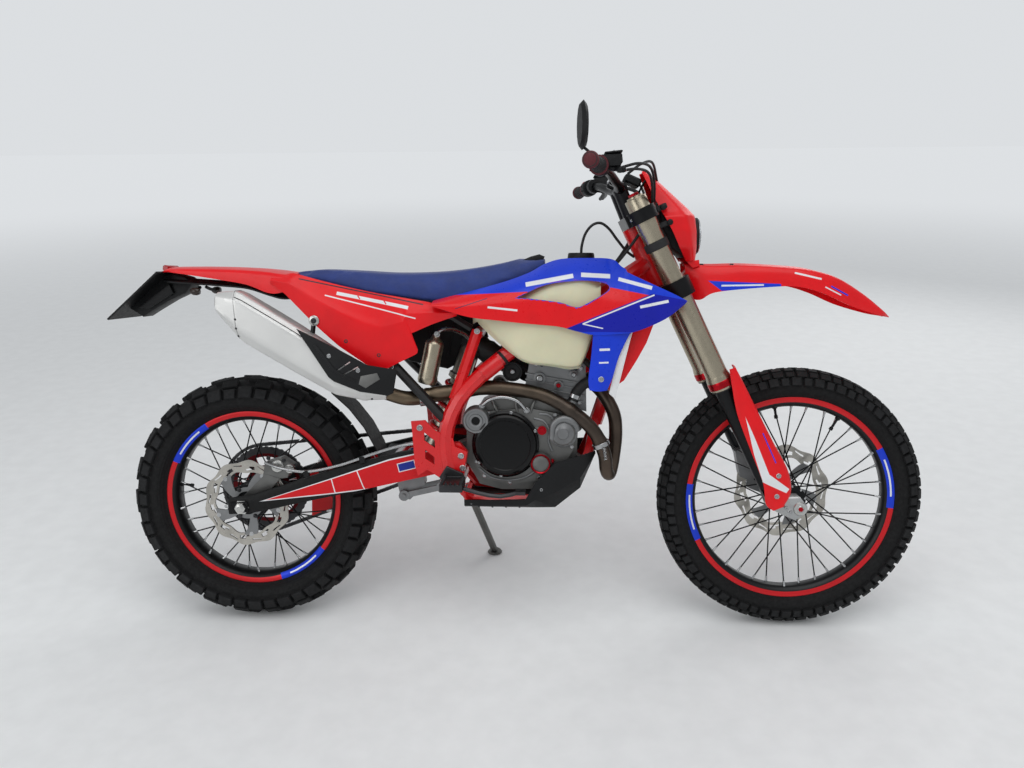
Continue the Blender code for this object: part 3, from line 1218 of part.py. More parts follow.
def build_shock(body, frame, linkage):
    """Body, spring and shaft in one turned profile, with the remote reservoir beside it."""
    top, low = spot(SHOCK_TOP_SHARES), spot(SHOCK_LOW_SHARES)
    length = (low - top).length
    neck, shoulder, collar, cup, shaft = SHOCK_BODY_SHARES
    first, last = SPRING_SPAN_SHARES
    shares = [(0, 0), (SHOCK_ROD_RADIUS, 0), (SHOCK_ROD_RADIUS, neck), (SHOCK_RADIUS, shoulder), (SHOCK_RADIUS, collar)]
    for i in range(SPRING_COILS):
        start = first + (last - first) * i / SPRING_COILS
        shares += [
            (SHOCK_RADIUS, start), (SPRING_RADIUS, start + 0.02), (SPRING_RADIUS, start + 0.04),
            (SHOCK_RADIUS, start + 0.055),
        ]
    shares += [(SHOCK_RADIUS, cup), (SHOCK_ROD_RADIUS, shaft), (SHOCK_ROD_RADIUS, 1.0), (0, 1.0)]
    shock = spun("shock", [(radius, along * length) for radius, along in shares], top, low - top, 10)
    shock = unite(
        shock,
        tube("pipe", route(SHOCK_PIPE_SHARES), SHOCK_PIPE_RADIUS, 2),
        rod("reservoir", *route(RESERVOIR_ROUTE_SHARES), RESERVOIR_RADIUS, 18),
    )
    finish(seat(shock, frame, linkage), "aluminium", body)


def build_linkage(body):
    """The rocker under the shock and the two link rods that tie it to the frame."""
    rear, front = (spot(at) for at in LINK_ROD_SHARES)
    linkage = side_plate("linkage", flat(ROCKER_SHARES), 0, ROCKER_WIDTH)
    pin_half = LINK_ROD_LINE + LINK_ROD_THICKNESS * 0.9
    linkage = unite(linkage, crossways("pin", LINK_ROD_SHARES[0], pin_half, LINK_PIN_RADIUS, 10))
    along = (front - rear).normalized()
    up = Vector((-along.z, 0, along.x)) * LINK_ROD_HALF_HEIGHT
    short = front - along * LINK_EYE_RADIUS * 0.7
    bar = [(p.x, p.z) for p in (rear - up, short - up, short + up, rear + up)]
    pin_hole = circle((front.x, front.z), LINK_PIN_RADIUS + SEAT_GAP, 10)
    for side in (LEFT, RIGHT):
        near = side * (LINK_ROD_LINE - LINK_ROD_THICKNESS / 2)
        far = side * (LINK_ROD_LINE + LINK_ROD_THICKNESS / 2)
        link_rod = unite(
            plate("link_rod", bar, near + side * LINK_ROD_RELIEF, far - side * LINK_ROD_RELIEF),
            plate("eye", circle((rear.x, rear.z), LINK_EYE_RADIUS, 14), near, far),
            plate("eye", circle((front.x, front.z), LINK_EYE_RADIUS, 14), near, far, [pin_hole]),
        )
        linkage = unite(linkage, link_rod)
    bridge_space = box("bridge_space", [size + 2 * SEAT_GAP for size in BRIDGE_SIZE], spot(BRIDGE_SHARES))
    return finish(cut(linkage, bridge_space), "aluminium", body)


def build_chain(body):
    """One closed loop of links round both sprockets, with wide and narrow links in turn."""
    back, front = Vector((rear_axle.x, rear_axle.z)), Vector((front_sprocket.x, front_sprocket.z))
    span = front - back
    tilt = math.atan2(span.y, span.x)
    ease = math.acos((SPROCKET_RADIUS - FRONT_SPROCKET_RADIUS) / span.length)
    rear_links, front_links, run_links = 24, 8, 20

    def outward(angle):
        return Vector((math.cos(angle), math.sin(angle)))

    def arc(centre, radius, first, sweep, count):
        angles = [first + sweep * i / count for i in range(count)]
        return [(centre + radius * outward(a), a) for a in angles]

    def run(one, two, angle):
        return [(one.lerp(two, i / run_links), angle) for i in range(run_links)]

    low, high = outward(tilt - ease), outward(tilt + ease)
    loop = arc(back, SPROCKET_RADIUS, tilt + ease, 2 * math.pi - 2 * ease, rear_links)
    loop += run(back + SPROCKET_RADIUS * low, front + FRONT_SPROCKET_RADIUS * low, tilt - ease)
    loop += arc(front, FRONT_SPROCKET_RADIUS, tilt - ease, 2 * ease, front_links)
    loop += run(front + FRONT_SPROCKET_RADIUS * high, back + SPROCKET_RADIUS * high, tilt + ease)
    bm = bmesh.new()
    rings = []
    for i, (at, angle) in enumerate(loop):
        wide = CHAIN_WIDTH / 2 * (1.0 if i % 2 else 0.62)
        inside = at + outward(angle) * CHAIN_CLEARANCE
        outside = inside + outward(angle) * CHAIN_HEIGHT
        corners = ((inside, -wide), (inside, wide), (outside, wide), (outside, -wide))
        rings.append([bm.verts.new((p.x, CHAIN_LINE + dy, p.y)) for p, dy in corners])
    for one, two in zip(rings, rings[1:] + rings[:1]):
        for k in range(4):
            bm.faces.new((one[k], one[(k + 1) % 4], two[(k + 1) % 4], two[k]))
    return finish(from_bmesh("chain", bm), "steel", body)


def build_chain_guide(body, chain, swingarm):
    guide = plate("chain_guide", flat(CHAIN_GUIDE_SHARES), CHAIN_GUIDE_INNER, CHAIN_GUIDE_OUTER)
    finish(seat(guide, chain, swingarm), "red_plastic", body)


def build_rear_brake(body, swingarm):
    arm_face = SWINGARM_REAR_HALF_WIDTH - SWINGARM_THICKNESS / 2
    bracket_middle = (REAR_HUB_HALF_WIDTH + arm_face + RUNNING_GAP) / 2
    bracket_thick = arm_face - REAR_HUB_HALF_WIDTH - RUNNING_GAP - 2 * SEAT_GAP
    caliper = unite(
        side_plate("rear_caliper", flat(REAR_CALIPER_SHARES), -REAR_DISC_LINE - SEAT_GAP, CALIPER_WIDTH),
        side_plate("bracket", flat(REAR_CALIPER_BRACKET_SHARES), -bracket_middle, bracket_thick),
    )
    caliper = cut(caliper, disc_slot(rear_axle, REAR_DISC_RADIUS, -REAR_DISC_LINE))
    finish(seat(caliper, swingarm), "aluminium", body)


def build_feet(body, frame, left_cover):
    for side, word in ((RIGHT, "right"), (LEFT, "left")):
        line = CHASSIS_HALF_WIDTH + SPAR_RADIUS + FOOTPEG_BRACKET_THICKNESS / 2 + SEAT_GAP
        peg_middle = spot(FOOTPEG_SHARES, side * (line + FOOTPEG_SIZE[1] / 2))
        peg = unite(
            side_plate(
                "footpeg_" + word, flat(FOOTPEG_BRACKET_SHARES), side * line, FOOTPEG_BRACKET_THICKNESS,
            ),
            box("peg", FOOTPEG_SIZE, peg_middle),
        )
        peg = finish(seat(peg, frame), "steel", body)
        if side == RIGHT:
            right_peg = peg
    pedal_route = route(BRAKE_PEDAL_SHARES)
    pedal = unite(
        tube("brake_pedal", pedal_route, PEDAL_RADIUS, 2, 1), box("tip", BRAKE_PEDAL_TIP_SIZE, pedal_route[-1]),
    )
    finish(seat(pedal, right_peg, frame), "steel", body)
    lever_route = route(GEAR_LEVER_SHARES)
    tip = lever_route[-1]
    shaft_start = spot(GEAR_SHAFT_SHARES, ENGINE_CASE_HALF_WIDTH + SEAT_GAP)
    lever = unite(
        tube("gear_lever", lever_route, PEDAL_RADIUS, 2, 1),
        rod("shaft", shaft_start, spot(GEAR_SHAFT_SHARES, GEAR_SHAFT_END), GEAR_SHAFT_RADIUS, 12),
        rod("tip", tip - PEDAL_RADIUS * Y_AXIS, tip + GEAR_TIP_LENGTH * Y_AXIS, PEDAL_RADIUS * 1.3, 12),
    )
    finish(seat(lever, left_cover), "steel", body)


def build_stand(body):
    stand = rod("side_stand", stand_pivot, stand_foot, STAND_RADIUS, 10)
    boss_half, pin_half = STAND_AXIS * STAND_BOSS, STAND_AXIS * STAND_BOSS * 3
    boss = rod("boss", stand_pivot - boss_half, stand_pivot + boss_half, STAND_RADIUS * 1.5, 14)
    pad = bmesh.new()
    bmesh.ops.create_cone(
        pad, cap_ends=True, segments=14, radius1=STAND_FOOT_RADIUS, radius2=STAND_FOOT_RADIUS * 0.8,
        depth=STAND_FOOT_THICKNESS,
    )
    pad.transform(Matrix.Translation(stand_foot) @ Matrix.Rotation(LEAN, 4, "X"))
    stand = unite(stand, boss, from_bmesh("pad", pad))
    pin = rod("pin", stand_pivot - pin_half, stand_pivot + pin_half, STAND_PIN_RADIUS + RUNNING_GAP, 14)
    return finish(cut(stand, pin), "steel", body)


def build_fork(body):
    outers = []
    top = FORK_LENGTH - FORK_TUBE_START
    for side, word in ((RIGHT, "right"), (LEFT, "left")):
        bore, skin, collar = FORK_SLIDER_RADIUS + SEAT_GAP, FORK_TUBE_RADIUS, FORK_COLLAR_RADIUS
        profile = [
            (0, FORK_OVERLAP), (bore, FORK_OVERLAP), (bore, 0), (collar * 0.94, 0),
            (collar, FORK_COLLAR_LENGTH * 0.1), (collar, FORK_COLLAR_LENGTH * 0.9), (skin, FORK_COLLAR_LENGTH),
            (skin, top - FORK_CAP), (skin * 0.80, top - FORK_CAP), (skin * 0.72, top), (0, top),
        ]
        outer = spun("fork_outer_" + word, profile, leg(FORK_TUBE_START, side), FORK_UP, 18)
        outers.append(finish(outer, "gold_aluminium", body))
    axle_half = (FORK_SPACING / 2 + AXLE_END) * Y_AXIS
    lowers = rod("fork_lowers", front_axle - axle_half, front_axle + axle_half, AXLE_RADIUS, 18)
    base = leg(0)
    outline = []
    for ahead, up in FORK_FOOT_SHARES:
        p = base + ahead * FORK_FOOT_TOP * FORK_AHEAD + up * FORK_FOOT_TOP * FORK_UP
        outline.append((p.x, p.z))
    for side in (RIGHT, LEFT):
        slider_top = leg(FORK_TUBE_START + FORK_OVERLAP - SEAT_GAP, side)
        slider = rod("slider", leg(FORK_FOOT_TOP / 2, side), slider_top, FORK_SLIDER_RADIUS, 18)
        foot = side_plate("foot", outline, side * FORK_SPACING / 2, FORK_FOOT_WIDTH)
        lowers = unite(lowers, unite(slider, foot))
    lowers = finish(keep_largest(lowers), "aluminium", body)
    return outers, lowers, build_yokes(body)


def build_yokes(body):
    stem_low = steering(LOWER_YOKE_HEIGHT - LOWER_YOKE_THICKNESS / 2)
    stem_high = steering(UPPER_YOKE_HEIGHT + UPPER_YOKE_THICKNESS / 2)
    yokes = rod("yokes", stem_low, stem_high, STEM_RADIUS, 20)
    for height, thick, radius in (
        (LOWER_YOKE_HEIGHT, LOWER_YOKE_THICKNESS, LOWER_CLAMP_RADIUS),
        (UPPER_YOKE_HEIGHT, UPPER_YOKE_THICKNESS, UPPER_CLAMP_RADIUS),
    ):
        beam = bmesh.new()
        bmesh.ops.create_cube(beam, size=1.0)
        beam.transform(Matrix.Diagonal((2 * HEAD_TUBE_RADIUS, FORK_SPACING, thick, 1)))
        beam.transform(Matrix.Translation(steering(height) + YOKE_OFFSET * 0.4 * FORK_AHEAD) @ FORK_TURN)
        yokes = unite(yokes, from_bmesh("beam", beam))
        for side in (LEFT, RIGHT):
            low, high = leg(height - thick * 0.55, side), leg(height + thick * 0.55, side)
            yokes = unite(yokes, rod("clamp", low, high, radius, 18))
    bore_low, bore_high = LOWER_YOKE_HEIGHT - LOWER_YOKE_THICKNESS, FORK_LENGTH + OVERRUN * 10
    for side in (LEFT, RIGHT):
        bore = rod("bore", leg(bore_low, side), leg(bore_high, side), FORK_TUBE_RADIUS + SEAT_GAP, 18)
        aside = side * RISER_LINE * Y_AXIS
        riser = rod("riser", steering(UPPER_YOKE_HEIGHT) + aside, bar_centre + aside, RISER_RADIUS, 12)
        yokes = unite(cut(yokes, bore), riser)
    return finish(yokes, "black_aluminium", body)


def build_bars(body, yokes):
    half = [
        Vector((dx * BAR_SWEEP, y * HANDLEBAR_HALF_WIDTH, dz * BAR_SWEEP)) for y, dx, dz in BAR_ROUTE_SHARES
    ]
    left = [bar_centre + p for p in half]
    right = [bar_centre + Vector((p.x, -p.y, p.z)) for p in half]
    bar_route = list(reversed(right)) + left[1:]
    bar = finish(seat(tube("handlebar", bar_route, BAR_RADIUS, 2, 2), yokes), "black_aluminium", body)
    for side, word, line in ((RIGHT, "right", right), (LEFT, "left", left)):
        tip = line[-1]
        run = (line[-2] - tip).normalized()
        reach = LEVER_REACH
        grip = unite(
            rod("grip_" + word, tip - run * BAR_RADIUS * 0.4, tip + run * GRIP_LENGTH, GRIP_RADIUS, 14),
            rod("flange", tip + run * GRIP_LENGTH * 0.94, tip + run * GRIP_LENGTH, GRIP_FLANGE_RADIUS, 14),
        )
        finish(seat(grip, bar), "black_plastic", body)
        near, far = tip + run * (GRIP_LENGTH + SEAT_GAP), tip + run * (GRIP_LENGTH + CONTROL_LENGTH)
        start = tip + run * (GRIP_LENGTH + CONTROL_LENGTH * 0.6)
        lever_route = [
            start, start + Vector((reach * 0.8, side * reach * 0.1, -reach * 0.15)),
            start + Vector((reach, side * reach * 0.8, -reach * 0.3)),
            start + Vector((reach * 0.85, side * reach * 2.2, -reach * 0.5)),
        ]
        pot = box(
            "pot", (reach, CONTROL_LENGTH, RESERVOIR_HEIGHT), start + Vector((reach * 0.55, 0, reach * 0.25)),
        )
        perch = unite(
            rod("controls_" + word, near, far, CONTROL_RADIUS, 12),
            tube("lever", lever_route, LEVER_RADIUS, 2, radii=[1.3, 1.0, 0.9]), pot,
        )
        finish(seat(perch, bar), "black_plastic", body)
    build_mirror(body, bar, left)


def build_mirror(body, bar, line):
    run = (line[-2] - line[-1]).normalized()
    base = line[-1] + run * (GRIP_LENGTH + CONTROL_LENGTH * 1.9)
    clamp = rod("mirror", base, base + run * MIRROR_CLAMP_RADIUS, MIRROR_CLAMP_RADIUS, 12)
    stem_top = base + Vector((-MIRROR_HEIGHT * 0.15, 0, MIRROR_HEIGHT * 0.55))
    stem_knee = base + Vector((MIRROR_HEIGHT * 0.1, 0, MIRROR_HEIGHT * 0.3))
    stem = tube("stem", [base, stem_knee, stem_top], MIRROR_STEM_RADIUS, 2)
    glass = turned("glass", [(0, 1), (0.85, 0.9), (1.0, 0), (0.85, -0.9), (0, -1)], (0, 0, 0), 14)
    middle = stem_top + Vector((0, 0, MIRROR_HEIGHT * 0.28))
    half_sizes = (MIRROR_GLASS_HALF_WIDTH, MIRROR_GLASS_HALF_DEPTH, MIRROR_GLASS_HALF_HEIGHT, 1)
    turn = Matrix.Rotation(math.radians(-80), 4, "Z")
    glass.data.transform(Matrix.Translation(middle) @ turn @ Matrix.Diagonal(half_sizes))
    finish(seat(unite(clamp, stem, glass), bar), "black_plastic", body)


def build_front_bodywork(body, yokes, outers, lowers):
    rows = []
    for (xt, zt), (xe, ze), w in zip(FENDER_TOP_SHARES, FENDER_EDGE_SHARES, FENDER_WIDTH_SHARES):
        y = w * FENDER_HALF_WIDTH
        shoulder = ((xt + xe) / 2, zt + (ze - zt) * 0.35)
        crown = spot((xt, zt)) - Vector((0, 0, FENDER_CROWN))
        side = [spot((xe, ze), -y), spot(shoulder, -y * 0.92), crown - y * 0.45 * Y_AXIS]
        rows.append(mirrored(side))
    fender = sheet("front_fender", rows, PANEL_THICKNESS, -1)
    fender = unite(fender, side_plate("mount", flat(FENDER_MOUNT_SHARES), 0, FENDER_MOUNT_WIDTH))
    fender = finish(seat(fender, yokes), "red_plastic", body)
    mask_rows = []
    for x, z, w, back in MASK_SHARES:
        y = w * MASK_HALF_WIDTH
        side = [
            spot((x - back, z - back * 0.3), -y), spot((x - back * 0.25, z), -y * 0.86), spot((x, z), -y * 0.3),
        ]
        mask_rows.append(mirrored(side))
    mask = sheet("headlight_mask", mask_rows, PANEL_THICKNESS, -1)
    mask = unite(mask, box("strap", MASK_STRAP_SIZE, spot(MASK_STRAP_SHARES)))
    mask = finish(seat(mask, yokes, fender, *outers), "red_plastic", body)
    finish(seat(box("headlight", LENS_SIZE, spot(LENS_SHARES)), mask), "lens", body)
    for side, word in ((RIGHT, "right"), (LEFT, "left")):
        rows = []
        for height, rear, front in GUARD_SHARES:
            up, back, ahead = height * FORK_LENGTH, rear * FORK_LENGTH, front * FORK_LENGTH
            section = (
                (back, GUARD_LINE), (back + (ahead - back) * 0.8, GUARD_LINE),
                (ahead, GUARD_LINE - (GUARD_LINE - GUARD_INNER_LINE) * 0.3), (ahead, GUARD_INNER_LINE),
            )
            rows.append([
                Vector((p.x, side * y, p.z)) for p, y in ((leg(up, 0, out), y) for out, y in section)
            ])
        shield = sheet("fork_guard_" + word, rows, PANEL_THICKNESS, side)
        lug_at = leg(GUARD_LUG_SHARE * FORK_LENGTH)
        inner = FORK_SPACING / 2 + FORK_FOOT_WIDTH / 4
        lug = rod(
            "lug", Vector((lug_at.x, side * inner, lug_at.z)), Vector((lug_at.x, side * GUARD_LINE, lug_at.z)),
            LUG_RADIUS, 8,
        )
        finish(seat(unite(shield, lug), lowers), "red_plastic", body)
    caliper = side_plate("front_caliper", flat(FRONT_CALIPER_SHARES), FRONT_DISC_LINE, CALIPER_WIDTH)
    caliper = cut(caliper, disc_slot(front_axle, FRONT_DISC_RADIUS, FRONT_DISC_LINE))
    finish(seat(caliper, lowers), "aluminium", body)


def lowest(objects, turn):
    return min(((turn @ v.co) for obj in objects for v in obj.data.vertices), key=lambda p: p.z)


def parked(tyres, stand):
    """The turn that puts both tyres and the stand's foot on the floor, found from their lowest points."""
    lean, pitch = LEAN, 0.0
    for _ in range(12):
        turn = Matrix.Rotation(pitch, 4, "Y") @ Matrix.Rotation(-lean, 4, "X")
        rear, front, foot = lowest(tyres[:1], turn), lowest(tyres[1:], turn), lowest(stand, turn)
        pitch += math.atan2(front.z - rear.z, front.x - rear.x)
        along = (foot.x - rear.x) / (front.x - rear.x)
        floor = rear.z + (front.z - rear.z) * along
        line = rear.y + (front.y - rear.y) * along
        lean += math.atan2(foot.z - floor, foot.y - line)
    return Matrix.Rotation(pitch, 4, "Y") @ Matrix.Rotation(-lean, 4, "X")


def carrier(name, at, parent=None):
    """An empty that a body's pieces hang from."""
    empty = bpy.data.objects.new(name, None)
    parts.objects.link(empty)
    empty.parent = parent
    empty.location = at
    return empty


def hang(body, empty, empty_at, origin):
    """The body's pieces, with their origin on their joint, under the empty."""
    for obj in body:
        obj.data.transform(Matrix.Translation(-origin))
        obj.parent = empty
        obj.location = origin - empty_at


clear_scene()
root_body, rear_wheel_body, steering_body, front_wheel_body, stand_body = [], [], [], [], []
frame = build_frame(root_body)
swingarm = build_swingarm(root_body)
cases, cylinder, left_cover = build_engine(root_body, frame)
subframe = build_subframe(root_body, frame)
build_exhaust(root_body, subframe, (cylinder, frame, cases, subframe))
silencer = bpy.data.objects["silencer"]
build_skid_plate(root_body, frame, cases)
tank = build_tank(root_body, frame)
saddle = build_saddle(root_body, tank, subframe)
for side, word in ((RIGHT, "right"), (LEFT, "left")):
    radiator = build_radiator(root_body, frame, tank, side, word)
    shroud = build_shroud(root_body, tank, radiator, side, word)
    build_side_panel(root_body, shroud, subframe, silencer, side, word)
build_tail(root_body, saddle, subframe)
linkage = build_linkage(root_body)
build_shock(root_body, frame, linkage)
chain = build_chain(root_body)
build_chain_guide(root_body, chain, swingarm)
build_rear_brake(root_body, swingarm)
build_feet(root_body, frame, left_cover)
build_rear_wheel(rear_wheel_body)
build_front_wheel(front_wheel_body)
outers, lowers, yokes = build_fork(steering_body)
build_bars(steering_body, yokes)
build_front_bodywork(steering_body, yokes, outers, lowers)
build_stand(stand_body)

everything = root_body + rear_wheel_body + steering_body + front_wheel_body + stand_body
turn = parked([bpy.data.objects["rear_tyre"], bpy.data.objects["front_tyre"]], stand_body)
corners = [turn @ v.co for obj in everything for v in obj.data.vertices]
low = Vector([min(p[i] for p in corners) for i in range(3)])
high = Vector([max(p[i] for p in corners) for i in range(3)])
origin = Vector(((low.x + high.x) / 2, (low.y + high.y) / 2, low.z))
centre = Vector((0, 0, 0))
steering_spot = steering(LOWER_YOKE_HEIGHT)
machine = carrier("machine", centre)
machine.matrix_world = Matrix.Translation(-origin) @ turn
bars = carrier("steering_axis", steering_spot, machine)
hang(root_body, machine, centre, centre)
hang(steering_body, bars, steering_spot, steering_spot)
hang(rear_wheel_body, machine, centre, rear_axle)
hang(front_wheel_body, bars, steering_spot, front_axle)
hang(stand_body, machine, centre, stand_pivot)
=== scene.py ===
# Enduro motorcycle on its side stand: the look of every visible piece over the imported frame.
# Everything is worked out upright in metres (X forward from the rear axle, Y to the left, Z up from the
# ground), then leaned onto the stand with the same turn as the solids.
import math

import bmesh
import bpy
import numpy as np
from mathutils import Matrix, Vector


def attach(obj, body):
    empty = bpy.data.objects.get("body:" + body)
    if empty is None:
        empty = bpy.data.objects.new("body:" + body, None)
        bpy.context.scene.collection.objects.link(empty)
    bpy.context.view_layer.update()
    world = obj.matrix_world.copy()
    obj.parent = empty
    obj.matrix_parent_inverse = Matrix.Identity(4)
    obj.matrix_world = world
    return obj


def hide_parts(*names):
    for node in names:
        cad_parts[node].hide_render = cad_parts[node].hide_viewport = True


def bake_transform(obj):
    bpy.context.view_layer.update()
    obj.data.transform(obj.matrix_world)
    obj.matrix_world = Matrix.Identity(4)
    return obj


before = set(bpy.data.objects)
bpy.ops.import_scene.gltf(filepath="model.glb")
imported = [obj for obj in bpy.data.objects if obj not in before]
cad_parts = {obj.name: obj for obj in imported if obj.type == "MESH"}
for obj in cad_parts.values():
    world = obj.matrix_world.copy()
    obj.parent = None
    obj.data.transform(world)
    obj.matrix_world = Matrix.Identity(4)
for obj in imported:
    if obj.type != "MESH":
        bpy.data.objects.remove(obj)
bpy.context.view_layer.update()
print("frame loaded:", len(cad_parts), "nodes")

machine = {
    "lean": 10.3776,  # degrees, onto the stand at the left
    "pitch": 0.02757,
    "shift": (-0.7216195, -0.2183492, 0.0020619),
    "rearAxle": (0.0, 0.0, 0.344),
    "frontAxle": (1.4799, 0.0, 0.357),
    "forkUp": (-0.43837, 0.0, 0.89879),
    "forkAhead": (0.89879, 0.0, 0.43837),
    "legFoot": (1.43765, 0.0, 0.3364),  # a fork leg's axis at the axle's level
    "forkHalfSpacing": 0.1,
    "bareFoot": 0.048,  # how far up a leg its bare metal foot reaches
}
placing = (
    Matrix.Translation(machine["shift"]) @ Matrix.Rotation(math.radians(machine["pitch"]), 4, "Y")
    @ Matrix.Rotation(-math.radians(machine["lean"]), 4, "X")
)
turnArray = np.array(placing.to_3x3())
shiftArray = np.array(machine["shift"])
rearAxle = np.array(machine["rearAxle"])
frontAxle = np.array(machine["frontAxle"])
forkUp = np.array(machine["forkUp"])
forkAhead = np.array(machine["forkAhead"])
acrossAxis = np.array([0.0, 1.0, 0.0])
bothHands = ((-1, "Right"), (1, "Left"))


def toWorld(points):
    # upright place, leaned and shifted onto the floor
    return np.asarray(points, float) @ turnArray.T + shiftArray


def leg(height, side=0.0, ahead=0.0):
    # foot of the leg + height up it + distance ahead of its axis
    point = np.array(machine["legFoot"]) + height * forkUp + ahead * forkAhead
    return point + side * machine["forkHalfSpacing"] * acrossAxis


# Materials: each is built from nodes, with tone over patches, handling marks and a grain in relief.

def linearOf(hexColour):
    # sRGB hex to linear light
    parts = [int(hexColour[i:i + 2], 16) / 255 for i in (1, 3, 5)]
    return tuple(c / 12.92 if c <= 0.04045 else ((c + 0.055) / 1.055) ** 2.4 for c in parts) + (1.0,)


def addNode(tree, kind, values=None, links=None, **settings):
    # values and links go to the sockets that their keys name
    made = tree.nodes.new("ShaderNode" + kind)
    for key, value in settings.items():
        setattr(made, key, value)
    for socket, value in (values or {}).items():
        made.inputs[socket].default_value = value
    for socket, source in (links or {}).items():
        tree.links.new(source, made.inputs[socket])
    return made


def mathNode(tree, operation, first, second):
    # a number may stand for either input
    values = {i: v for i, v in enumerate((first, second)) if isinstance(v, (int, float))}
    links = {i: v for i, v in enumerate((first, second)) if not isinstance(v, (int, float))}
    return addNode(tree, "Math", values, links, operation=operation).outputs["Value"]


def attribute(tree, name, output="Fac"):
    return addNode(tree, "Attribute", attribute_name=name).outputs[output]


def fromAxle(tree, centre):
    # the way out from an axle through the centre, square to it, and how far that is
    local = addNode(
        tree, "VectorMath", {1: centre}, {0: attribute(tree, "place", "Vector")}, operation="SUBTRACT"
    )
    flat = addNode(
        tree, "VectorMath", {1: (1, 0, 1)}, {0: local.outputs["Vector"]}, operation="MULTIPLY"
    ).outputs["Vector"]
    return flat, addNode(tree, "VectorMath", links={0: flat}, operation="LENGTH").outputs["Value"]


def newMaterial(name, values):
    made = bpy.data.materials.new(name)
    made.use_nodes = True
    tree = made.node_tree
    shader = tree.nodes["Principled BSDF"]
    for socket, value in values.items():
        shader.inputs[socket].default_value = value
    return made, tree, shader


def objectNoise(tree, millimetres, detail=3.0, roughness=0.55, stretch=(1, 1, 1)):
    # noise whose features are about that many millimetres across
    where = addNode(tree, "TexCoord").outputs["Object"]
    mapping = addNode(tree, "Mapping", {"Scale": stretch}, {"Vector": where})
    return addNode(
        tree, "TexNoise", {"Scale": 1000.0 / millimetres, "Detail": detail, "Roughness": roughness},
        {"Vector": mapping.outputs["Vector"]},
    ).outputs["Fac"]


def remap(tree, source, low, high, toLow, toHigh):
    return addNode(
        tree, "MapRange", {"From Min": low, "From Max": high, "To Min": toLow, "To Max": toHigh},
        {"Value": source},
    ).outputs["Result"]


def mixColour(tree, factor, first, second, blend="MIX"):
    made = addNode(tree, "Mix", data_type="RGBA", blend_type=blend)
    for index, value in ((0, factor), (6, first), (7, second)):
        if isinstance(value, (int, float, tuple)):
            made.inputs[index].default_value = value
        else:
            tree.links.new(value, made.inputs[index])
    return made.outputs[2]


def addBump(tree, shader, height, millimetres, strength=1.0, before=None):
    links = {"Height": height}
    if before is not None:
        links["Normal"] = before
    made = addNode(tree, "Bump", {"Strength": strength, "Distance": millimetres / 1000}, links)
    tree.links.new(made.outputs["Normal"], shader.inputs["Normal"])
    return made.outputs["Normal"]


def finishSurface(tree, shader, colour, roughness, grain=(1.2, 0.05), tone=0.08, patch=70, stretch=(1, 1, 1)):
    # base colour varied over large patches, roughness over handling marks, and a fine grain in relief
    broad = objectNoise(tree, patch, 4)
    marks = objectNoise(tree, patch / 8, 5, 0.7, stretch)
    fine = objectNoise(tree, grain[0], 2, 0.5, stretch)
    darker = tuple(c * (1 - tone * 2) for c in colour[:3]) + (1.0,) if isinstance(colour, tuple) else None
    if darker:
        shaded = mixColour(tree, remap(tree, broad, 0.35, 0.65, 0, 1), darker, colour)
    else:
        shade = remap(tree, broad, 0.35, 0.65, 1 - tone * 2, 1)
        grey = addNode(
            tree, "CombineColor", links={"Red": shade, "Green": shade, "Blue": shade}
        ).outputs["Color"]
        shaded = mixColour(tree, 1.0, colour, grey, "MULTIPLY")
    tree.links.new(shaded, shader.inputs["Base Color"])
    tree.links.new(
        remap(tree, marks, 0.3, 0.7, roughness * 0.85, roughness * 1.2), shader.inputs["Roughness"]
    )
    return addBump(tree, shader, fine, grain[1], 0.6)


def simpleMaterial(name, hexColour, roughness, metallic, grain, tone, coat=None, specular=None):
    # grain is how far apart and how high its bumps are in millimetres; coat is (weight, roughness)
    made, tree, shader = newMaterial(name, {"Metallic": metallic})
    if coat:
        shader.inputs["Coat Weight"].default_value, shader.inputs["Coat Roughness"].default_value = coat
    if specular:
        shader.inputs["Specular IOR Level"].default_value = specular
    finishSurface(tree, shader, linearOf(hexColour), roughness, grain, tone)
    return made


def edgeSide(tree, place, start, end, softness=0.0006):
    # 1 on the left of the line from start to end in the side view, 0 on its right
    (x0, z0), (x1, z1) = start, end
    length = math.hypot(x1 - x0, z1 - z0)
    nx, nz = -(z1 - z0) / length, (x1 - x0) / length
    along = addNode(
        tree, "VectorMath", {1: (nx, 0, nz)}, {0: place}, operation="DOT_PRODUCT"
    ).outputs["Value"]
    return remap(tree, along, nx * x0 + nz * z0 - softness, nx * x0 + nz * z0 + softness, 0, 1)


def areaMask(tree, place, corners, softness=0.0006):
    # product of the sides of a convex area whose corners run anticlockwise
    found = None
    for start, end in zip(corners, corners[1:] + corners[:1]):
        one = edgeSide(tree, place, start, end, softness)
        found = one if found is None else mathNode(tree, "MULTIPLY", found, one)
    return found


def lineArea(start, end, width):
    # corners of the area within half the width of the line
    (x0, z0), (x1, z1) = start, end
    length = math.hypot(x1 - x0, z1 - z0)
    sx, sz = -(z1 - z0) / length * width / 2, (x1 - x0) / length * width / 2
    return [(x0 - sx, z0 - sz), (x1 - sx, z1 - sz), (x1 + sx, z1 + sz), (x0 + sx, z0 + sz)]


